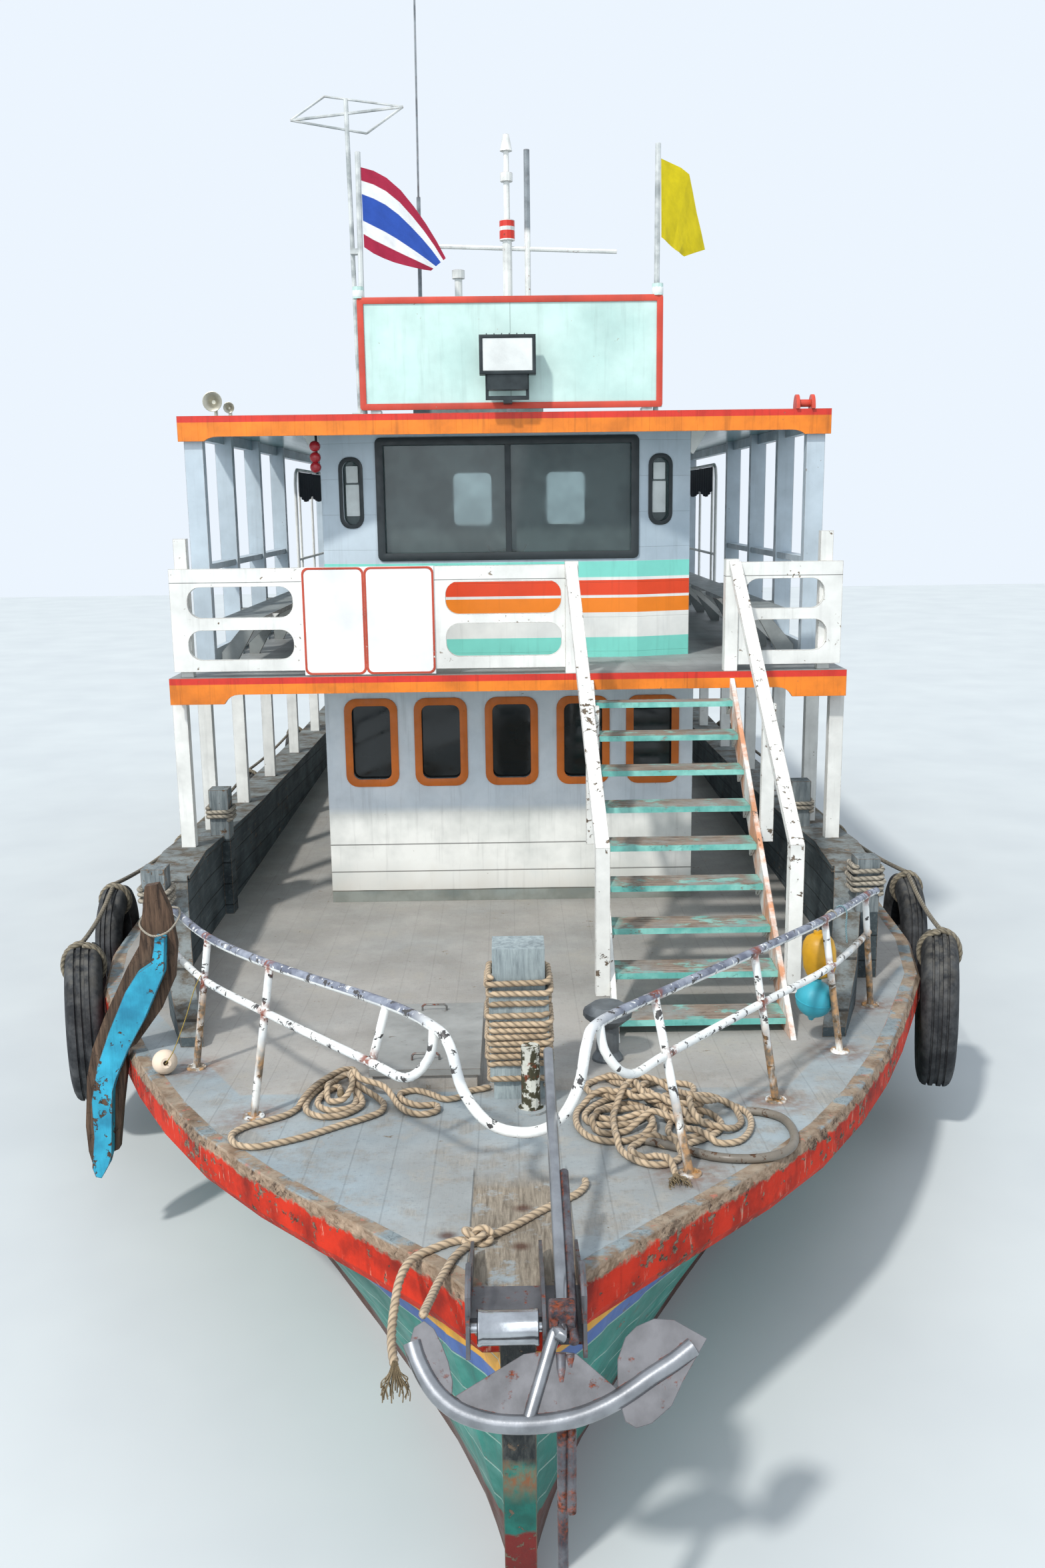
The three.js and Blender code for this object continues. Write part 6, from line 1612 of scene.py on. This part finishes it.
class FERRY_OT_cabin(Operator):
    """Paints the lower cabin and fits its window frames"""

    bl_idname = "ferry.cabin"
    bl_label = "Lower cabin"

    def execute(self, context):
        dress(cabin_finish(), "cabin_front", "cabin_side_port", "cabin_side_starboard", "cabin_aft")
        # Painted shade: opaque near-black panes stand in for the dark cabin inside
        dress(glass_finish("cabin_pane", 0.0, "#1c2224"), "cabin_glass")
        dress(painted("lower_post_paint", "white", "#7a6f60", 0.3, 0.2, runs=0.15),
              "lower_posts_port", "lower_posts_starboard")
        paint = painted("frame_orange", "#d9711c", "#8a5a36", 0.25, 0.2, runs=0.15, radius=0.004)
        width, proud = sizes().frame - FRAME_LAP, sizes().proud
        first = frame_ring("window_frames_front", ahead(CABIN_FACE_Y),
                           window_at(FRONT_WINDOWS[0]), width, proud, paint, 0.07)
        row = [first, *(copied(first, "frame", (x - FRONT_WINDOWS[0], 0.0, 0.0)) for x in FRONT_WINDOWS[1:])]
        placed(joined("window_frames_front", row))
        first = frame_ring("window_frames_side", to_port(CABIN_FACE_X),
                           window_at(SIDE_WINDOW_START), width, proud, paint, 0.07)
        row = [first, *(copied(first, "frame", (0.0, SIDE_WINDOW_PITCH * i, 0.0))
                        for i in range(1, SIDE_WINDOWS))]
        both_sides(joined("window_frames_side", row))
        return {"FINISHED"}


class FERRY_OT_stair(Operator):
    """Paints the stair and its handrails, and fits the cleats under the treads"""

    bl_idname = "ferry.stair"
    bl_label = "Stair"

    def execute(self, context):
        dress(stair_finish(), "stair_flight")
        white = painted("handrail_paint", "white", "#6f6152", 0.62, 0.2, 22.0, 0.55)
        dress(white, "stair_handrail_port", "stair_handrail_starboard")
        parts = []
        for i in range(TREADS):
            nose, under = NOSE_Y - GOING * i, UPPER_DECK_Z - RISE * (i + 1) - TREAD_THICK
            outline = ((nose + 0.03, under), (nose + 0.2, under), (nose + 0.17, under - 0.09),
                       (nose + 0.1, under - 0.055))
            parts += [plate("cleat", outline, CLEAT_THICK, to_port(x), white)
                      for x in (STAIR_SIDES[0], STAIR_SIDES[1] - CLEAT_THICK)]
        placed(joined("tread_cleats", parts))
        return {"FINISHED"}


# Wheelhouse and upper deck

# Faces that the frames lie on, and openings as left, right, low, high in each face's plane
BAY_Y, WALL_X, DOOR_X, DOOR_PANE_X = -3.4845, 1.5985, 1.6345, 1.617
BAY_WINDOW, SIDE_WINDOW = (-1.05, 1.08, 4.335, 5.25), (-3.05, -2.15, 4.33, 5.15)
DOOR_LIGHT, OBLONG = (-1.8, -1.38, 4.4, 5.05), (0.124, 0.297, 4.58, 5.13)
BLANK_CARDS = ((0.155, 0.265, 4.94, 5.08), (0.148, 0.272, 4.66, 4.925))
# The bay's slanted face runs this way from its corner
BAY_CORNER, OBLONG_WAY = Vector((1.13, BAY_Y, 0.0)), Vector((0.9497, 0.3132, 0.0))
GUSSET_Y, GUSSET = -3.3, ((1.601, 5.388), (1.6, 5.16), (1.625, 5.15), (1.75, 5.36), (1.75, 5.388))


class FERRY_OT_wheelhouse(Operator):
    """Paints the wheelhouse inside and out, and fits its window frames, panes and plates"""

    bl_idname = "ferry.wheelhouse"
    bl_label = "Wheelhouse"

    def execute(self, context):
        dress(wheelhouse_finish(), "wheelhouse_front", "wheelhouse_side_port",
              "wheelhouse_side_starboard", "wheelhouse_back")
        dress(painted("door_paint", "pale", "#7d7468", 0.25, 0.15),
              "wheelhouse_door_port", "wheelhouse_door_starboard")
        pane = glass_finish("wheelhouse_pane", 0.85, "#9fb4b4")
        dress(pane, "wheelhouse_glass")
        dress(timber("console_wood", "#9c6a3c", "#5c3518", (4.0, 60.0, 60.0), 0.4), "console")
        dress(timber("helm_wood", "#8a5428", "#4a2810", (20.0, 20.0, 20.0), 0.35), "helm_wheel")
        black = painted("frame_black", "#222c30", "#56544e", 0.2, 0.25, rough=0.45, radius=0.004)
        card = painted("blank_plate", "#d3dad9", "#b3b0a4", 0.12, 0.25, edge=0.1)
        ring = frame_ring("wheelhouse_window_frame", ahead(BAY_Y), BAY_WINDOW, 0.06, 0.016,
                          black, 0.012, 0.006)
        mullion = block("mullion", (-0.007, -3.497, 4.33), (0.044, -3.43, 5.255), black)
        placed(joined("wheelhouse_window_frame", [ring, mullion]))
        ring = frame_ring("oblong_frame", (BAY_CORNER, OBLONG_WAY, UPWARD), OBLONG, 0.026, 0.01, black, 0.08)
        inward = BAY_CORNER - OBLONG_WAY.cross(UPWARD) * 0.03
        plane = (inward, OBLONG_WAY, UPWARD)
        back = panel("oblong_pane", plane, grown(OBLONG, 0.002), 0.08, 0.006, pane)
        plane = (inward + Vector((0.0, -0.012, 0.0)), OBLONG_WAY, UPWARD)
        cards = [panel("card", plane, box, 0.006, 0.002, card) for box in BLANK_CARDS]
        both_sides(joined("oblong_frame", [ring, back, *cards]))
        ring = frame_ring("side_window_frame", to_port(WALL_X), SIDE_WINDOW, 0.035, 0.012, black, 0.06)
        both_sides(ring)
        ring = frame_ring("door_light_frame", to_port(DOOR_X), DOOR_LIGHT, 0.03, 0.008, black, 0.06)
        light = panel("door_light", to_port(DOOR_PANE_X), grown(DOOR_LIGHT, 0.01), 0.06, 0.005, pane)
        both_sides(joined("door_light", [ring, light]), "wheelhouse_door_port")
        gusset = plate("roof_gusset", GUSSET, 0.03, ahead(GUSSET_Y),
                       painted("gusset_paint", "white", "#7a6f60", 0.3, 0.2))
        both_sides(gusset)
        return {"FINISHED"}


# Blank boards on the front rail, as left, right, low, high
RAIL_BOARDS = ((-1.619, -1.126, 3.43, 4.28), (-1.131, -0.577, 3.43, 4.28))
BOARDS_Y = -4.575
# A bench's brackets: the outline across the boat, then the first one's place along, the pitch, the count
BRACKET = ((2.0, 3.835), (2.12, 3.835), (2.44, 3.5), (2.44, 3.43))
BRACKET_START, BRACKET_PITCH, BRACKETS = -3.4, 1.1, 5


class FERRY_OT_upper_deck(Operator):
    """Dresses posts, benches, rails and pipe frames of the upper deck, and fits two blank boards"""

    bl_idname = "ferry.upper_deck"
    bl_label = "Upper deck"

    def execute(self, context):
        dress(painted("upper_post_paint", "pale", "#8b8275", 0.3, 0.15, runs=0.1),
              "upper_posts_port", "upper_posts_starboard")
        dress(painted("bench_paint", "#8e9494", "#6c5b4a", 0.4, 0.3),
              "side_bench_port", "side_bench_starboard")
        dress(painted("frame_paint", "white", "#6d4a36", 0.3, 0.15),
              "pipe_frame_port", "pipe_frame_starboard")
        rail = painted("rail_paint", "white", "#8b7a66", 0.42, 0.16, 24.0, runs=0.14,
                       seams=lambda look: look.inside(look.z, 4.166, 4.171, 0.001))
        dress(rail, "front_rail_port", "front_rail_starboard", "aft_rail")
        board = painted("board_white", "#eef0f0", "#b48a72", 0.1, 0.1, edge=0.2)
        border = painted("board_border", "#b8452c", "#d8d2c8", 0.35, 0.2, radius=0.003)
        parts = []
        for box in RAIL_BOARDS:
            left, right, low, high = box
            parts.append(block("boards", (left, BOARDS_Y - 0.0005, low), (right, BOARDS_Y + 0.0095, high),
                               board, 0.002))
            parts.append(frame_ring("border", ahead(BOARDS_Y), grown(box, -0.02), 0.018, 0.003,
                                    border, 0.04, 0.0))
        placed(joined("rail_boards", parts))
        brackets = [plate("bench_brackets", BRACKET, 0.03, ahead(BRACKET_START + BRACKET_PITCH * i), rail)
                    for i in range(BRACKETS)]
        both_sides(joined("bench_brackets", brackets))
        return {"FINISHED"}


# Cloth. Rows of a flag's edge are x, height, and how far it waves out of its plane.
STRIPED_TOP = ((-1.1, 7.34, 0.0), (-1.0, 7.315, 0.012), (-0.9, 7.26, -0.004), (-0.79, 7.165, -0.014),
               (-0.69, 7.045, 0.004), (-0.6, 6.92, 0.016), (-0.52, 6.79, 0.002), (-0.45, 6.66, -0.01))
STRIPED_LOW = ((-1.094, 6.75, 0.0), (-1.02, 6.7, -0.01), (-0.94, 6.665, 0.008), (-0.86, 6.635, 0.014),
               (-0.78, 6.61, -0.006), (-0.7, 6.59, -0.014), (-0.63, 6.578, 0.004), (-0.57, 6.57, 0.01))
YELLOW_TOP = ((1.254, 7.38, 0.0), (1.33, 7.35, 0.012), (1.41, 7.31, -0.008), (1.475, 7.26, -0.012),
              (1.51, 7.12, 0.01), (1.54, 6.98, 0.014), (1.575, 6.84, -0.006), (1.61, 6.705, 0.004))
YELLOW_LOW = ((1.261, 6.8, 0.0), (1.29, 6.775, -0.012), (1.32, 6.75, 0.006), (1.35, 6.725, 0.014),
              (1.375, 6.7, -0.006), (1.4, 6.685, -0.014), (1.425, 6.668, 0.006), (1.445, 6.655, 0.01))
FLAG_Y = -3.955
CURTAIN_X, CURTAIN_START, CURTAIN_RUN, CURTAIN_LOW, CURTAIN_TOP, SWAGS = 2.3992, 0.701, 6.248, 4.803, 5.139, 6


def flag(name, top, low, material, node):
    """A flag that hangs from its staff in soft folds."""
    def spot(u, v):
        x, z, wave = along(low, u).lerp(along(top, u), v)
        return Vector((x, FLAG_Y + wave + 0.006 * math.sin(9.0 * u + 5.0 * v) * u, z))
    piece, size, area = cloth(name, 42, 28, spot, material)
    placed(piece, replaces=[node])


class FERRY_OT_cloth(Operator):
    """Hangs the side curtains and the flags"""

    bl_idname = "ferry.cloth"
    bl_label = "Curtains and flags"

    def execute(self, context):
        navy = flag_finish("tarpaulin", (("cloth", 0.0),))
        folds = sizes().folds
        for side, name in ((1, "port"), (-1, "starboard")):
            def spot(u, v, side=side):
                swag = (u * SWAGS) % 1.0
                low = CURTAIN_LOW + 0.07 * (1 - 4 * swag * (1 - swag)) + 0.004 * math.sin(61.0 * u)
                fold = math.sin(2 * math.pi * folds * u + 0.8 * math.sin(23.0 * u))
                wave = 0.0095 * fold * (1.0 - 0.55 * v)
                return Vector((side * (CURTAIN_X + wave), CURTAIN_START + CURTAIN_RUN * u,
                               low + (CURTAIN_TOP - low) * v))
            piece, size, _ = cloth(f"curtain_{name}", 8 * folds, 9, spot, navy)
            placed(piece, replaces=[f"side_curtain_{name}"])
        stripes = (("#a22442", 0.0), ("#e6e8ea", 1 / 6), ("#2c50a8", 1 / 3),
                   ("#e6e8ea", 2 / 3), ("#a22442", 5 / 6))
        flag("striped_flag", STRIPED_TOP, STRIPED_LOW, flag_finish("flag_stripes", stripes), "flag_striped")
        yellow = flag_finish("flag_yellow", (("#c9b80f", 0.0),))
        flag("yellow_flag", YELLOW_TOP, YELLOW_LOW, yellow, "flag_yellow")
        return {"FINISHED"}


# Roof gear

# Horns on the roof's starboard corner. Columns: x, height of its middle, and mouth radius.
HORNS = ((-2.368, 5.588, 0.08), (-2.251, 5.544, 0.045))
HORN_SHAPE = ((0.0, 0.0), (0.3, 0.0), (0.32, 1.1), (0.5, 1.9), (0.78, 2.35), (1.0, 2.5), (0.95, 2.52),
              (0.7, 2.35), (0.42, 1.9), (0.2, 1.6), (0.0, 1.55))
STACK_X, STACK_Y, STACK_ZS = -1.576, -3.7, (5.235, 5.145, 5.065)
DOME_SHAPE = ((0.0, 0.0), (0.04, 0.0), (0.046, 0.012), (0.046, 0.05), (0.038, 0.075), (0.02, 0.09),
              (0.0, 0.094))
LAMP_SHAPE = ((0.0, 0.0), (0.03, 0.0), (0.044, 0.02), (0.044, 0.05), (0.036, 0.062), (0.02, 0.07),
              (0.0, 0.072))
SIGN_FACE_Y, SIGN_BOX = -4.0195, (-1.12, 1.23, 5.54, 6.32)
FLOOD_FACE_Y, FLOOD_BOX = -4.2495, (-0.175, 0.23, 5.765, 6.025)
FAIRLEAD_Y, CHEEK_WIDE, CHEEK_TALL, CHEEKS_X = -4.0, 0.075, 0.115, (2.35, 2.474)


class FERRY_OT_roof(Operator):
    """Dresses the sign and the mast; fits lamps, horns and the floodlight's reflector"""

    bl_idname = "ferry.roof"
    bl_label = "Roof gear"

    def execute(self, context):
        dress(sign_finish(), "sign_board")
        housing = metal("flood_housing", "#3c4244", "rust", 0.15)
        dress(housing, "floodlight")
        dress(mast_finish(), "mast")
        red = painted("trim_red", "#c9432f", "#a89a88", 0.3, 0.2, runs=0.1, radius=0.004)
        lens = painted("lamp_lens", "#e2e6e4", "#a7aaa4", 0.1, 0.2, rough=0.2, edge=0.0)
        border = frame_ring("sign_border", ahead(SIGN_FACE_Y), SIGN_BOX, 0.042, 0.012, red)
        placed(border)
        lamps = [turned("sign_lamps", DOME_SHAPE, (x, -4.0, 6.359), (0.0, 0.0, 1.0), lens, 20)
                 for x in (-1.15, 1.23)]
        placed(joined("sign_lamps", lamps))
        front = ahead(FLOOD_FACE_Y)
        rim = frame_ring("flood_face", front, FLOOD_BOX, 0.019, 0.008, housing)
        face = panel("reflector", front, grown(FLOOD_BOX, -0.003), 0.01, 0.003, lens)
        fins = [block("fin", (x, -4.2, 6.0449), (x + 0.008, -4.135, 6.06), housing, 0.001)
                for x in (-0.14 + 0.06 * i for i in range(6))]
        placed(joined("flood_face", [rim, face, *fins]))
        horn = metal("horn_metal", "#c8c4b4", "rust", 0.15, 0.35)
        parts = []
        for x, z, mouth in HORNS:
            shape = [(r * mouth, h * mouth * 0.8) for r, h in HORN_SHAPE]
            parts.append(turned("horns", shape, (x, -3.78, z), (0.0, -1.0, 0.0), horn, 28))
            parts.append(block("horn_foot", (x - 0.012, -3.83, ROOF_Z - 0.001), (x + 0.012, -3.79, z), horn,
                               0.003))
        placed(joined("horns", parts))
        angles = [math.pi * i / 10 for i in range(11)]
        cheek = [(FAIRLEAD_Y + CHEEK_WIDE * math.cos(a), ROOF_Z - 0.0005 + CHEEK_TALL * math.sin(a))
                 for a in angles]
        parts = [plate("roof_fairlead", cheek, 0.03, to_port(x), red) for x in CHEEKS_X]
        start, end = ((x, FAIRLEAD_Y, ROOF_Z + 0.045) for x in (CHEEKS_X[0] + 0.029, CHEEKS_X[1] + 0.001))
        parts.append(bar("fairlead_roller", start, end, 0.03, red, 20))
        placed(joined("roof_fairlead", parts))
        ruby = painted("lamp_red", "#a3202a", "#571016", 0.1, 0.2, rough=0.2, edge=0.0)
        parts = [bar("lamp_stack", (STACK_X, STACK_Y, 5.01), (STACK_X, STACK_Y, 5.391), 0.011, housing)]
        parts += [turned("lamp", LAMP_SHAPE, (STACK_X, STACK_Y - 0.008, z), (-0.15, -1.0, 0.0), ruby, 20)
                  for z in STACK_ZS]
        placed(joined("lamp_stack", parts))
        return {"FINISHED"}


# Fenders

# Tyres on each side. Columns: place along, height, outer radius.
TYRES = ((-5.6, 0.95, 0.59), (-4.25, 1.15, 0.46), (-1.5, 0.9, 0.46), (2.0, 0.9, 0.46), (5.5, 0.9, 0.46))
# Half of a tyre's section, from its bead to the middle of its tread and back inside
TYRE_HALF = ((0.52, 0.62), (0.57, 0.8), (0.64, 0.94), (0.72, 1.0), (0.74, 0.97), (0.82, 0.98), (0.9, 0.9),
             (0.96, 0.78), (0.992, 0.62), (1.0, 0.46), (0.972, 0.43), (0.972, 0.35), (1.0, 0.32),
             (1.0, 0.12), (0.972, 0.09))
TYRE_INSIDE = ((0.55, 0.55), (0.62, 0.72), (0.84, 0.76), (0.92, 0.55))
TYRE_SHAPE = (*((r, -h) for r, h in TYRE_HALF), *TYRE_HALF[::-1], *TYRE_INSIDE, (0.94, 0.0),
              *((r, -h) for r, h in TYRE_INSIDE[::-1]), (0.52, -0.62))
# Half a tyre's thickness as a share of its radius
TYRE_SLIM = 0.23


def tyre_seat(y, radius):
    """Where a tyre's middle is across the boat, and the guard's slope beside it."""
    slope = half_breadth(y + 0.5) - half_breadth(y - 0.5)
    near = (y - radius, y, y + radius, *(s for s in STATION_YS if abs(s - y) < radius))
    swell = max(half_breadth(s) - half_breadth(y) - slope * (s - y) for s in near)
    return half_breadth(y) + swell + TYRE_SLIM * radius * math.hypot(1.0, slope) + 0.0006, slope


def lashing(x, y, z, slope, radius):
    """Two turns of the line round the top of a tyre."""
    across, ahead = Vector((1.0, -slope, 0.0)).normalized(), Vector((slope, 1.0, 0.0)).normalized()
    middle, wide, tall = Vector((x, y, z + 0.76 * radius)), TYRE_SLIM * radius + 0.016, 0.24 * radius + 0.0185
    found = []
    for i in range(41):
        angle = math.pi / 2 + 4 * math.pi * i / 40
        rise = Vector((0.0, 0.0, tall * math.sin(angle)))
        found.append(middle + across * wide * math.cos(angle) + rise + ahead * (0.008 * (angle - 7.85)))
    return found


class FERRY_OT_fenders(Operator):
    """Hangs ribbed tyres along both sides and dresses the curved timbers"""

    bl_idname = "ferry.fenders"
    bl_label = "Fenders"

    def execute(self, context):
        rubber = rubber_finish()
        line = rope_finish("rope_tarred", "#8d8472", "#4b463c")
        dress(timber_bars_finish(), "curved_timbers")
        parts, route = [], []
        for y, z, radius in TYRES:
            x, slope = tyre_seat(y, radius)
            shape = [(r * radius, h * TYRE_SLIM * radius) for r, h in TYRE_SHAPE]
            parts.append(turned("tyres", shape, (x, y, z), (1.0, -slope, 0.0), rubber, 56))
            lap = lashing(x, y, z, slope, radius)
            route += bow((route[-1], lap[0]), 0.04)[1:-1] + lap if route else lap
        tyres = joined("tyres", parts)
        for side, name, piece in ((-1, "starboard", mirrored(tyres, "tyres_starboard")), (1, "port", tyres)):
            placed(piece, replaces=[f"tyre_fenders_{name}"])
            hung = [(side * x, y, z) for x, y, z in route]
            free_rope(f"fender_line_{name}", hung, "object", line)
        return {"FINISHED"}


# The panel, and the run

STEPS = (FERRY_OT_stage, FERRY_OT_ropes, FERRY_OT_hull, FERRY_OT_decks, FERRY_OT_bulwarks,
         FERRY_OT_foredeck, FERRY_OT_cabin, FERRY_OT_stair, FERRY_OT_wheelhouse,
         FERRY_OT_upper_deck, FERRY_OT_cloth, FERRY_OT_roof, FERRY_OT_fenders)


class VIEW3D_PT_ferry(Panel):
    """The ferry's settings and its steps in order."""

    bl_label = "Ferry"
    bl_idname = "VIEW3D_PT_ferry"
    bl_space_type = "VIEW_3D"
    bl_region_type = "UI"
    bl_category = "Ferry"

    def draw(self, context):
        for group in (context.scene.ferry_colours, context.scene.ferry_sizes):
            box = self.layout.box()
            for name in group.bl_rna.properties.keys():
                if name not in ("rna_type", "name"):
                    box.prop(group, name)
        for step in STEPS:
            self.layout.operator(step.bl_idname)


CLASSES = (FerryColours, FerrySizes, *STEPS, VIEW3D_PT_ferry)


def register():
    for cls in CLASSES:
        bpy.utils.register_class(cls)
    bpy.types.Scene.ferry_colours = PointerProperty(type=FerryColours)
    bpy.types.Scene.ferry_sizes = PointerProperty(type=FerrySizes)


def unregister():
    del bpy.types.Scene.ferry_sizes
    del bpy.types.Scene.ferry_colours
    for cls in reversed(CLASSES):
        bpy.utils.unregister_class(cls)


def main():
    """Registers the add-on and runs each step."""
    register()
    for step in STEPS:
        group, name = step.bl_idname.split(".")
        getattr(getattr(bpy.ops, group), name)()


if __name__ == "__main__":
    main()
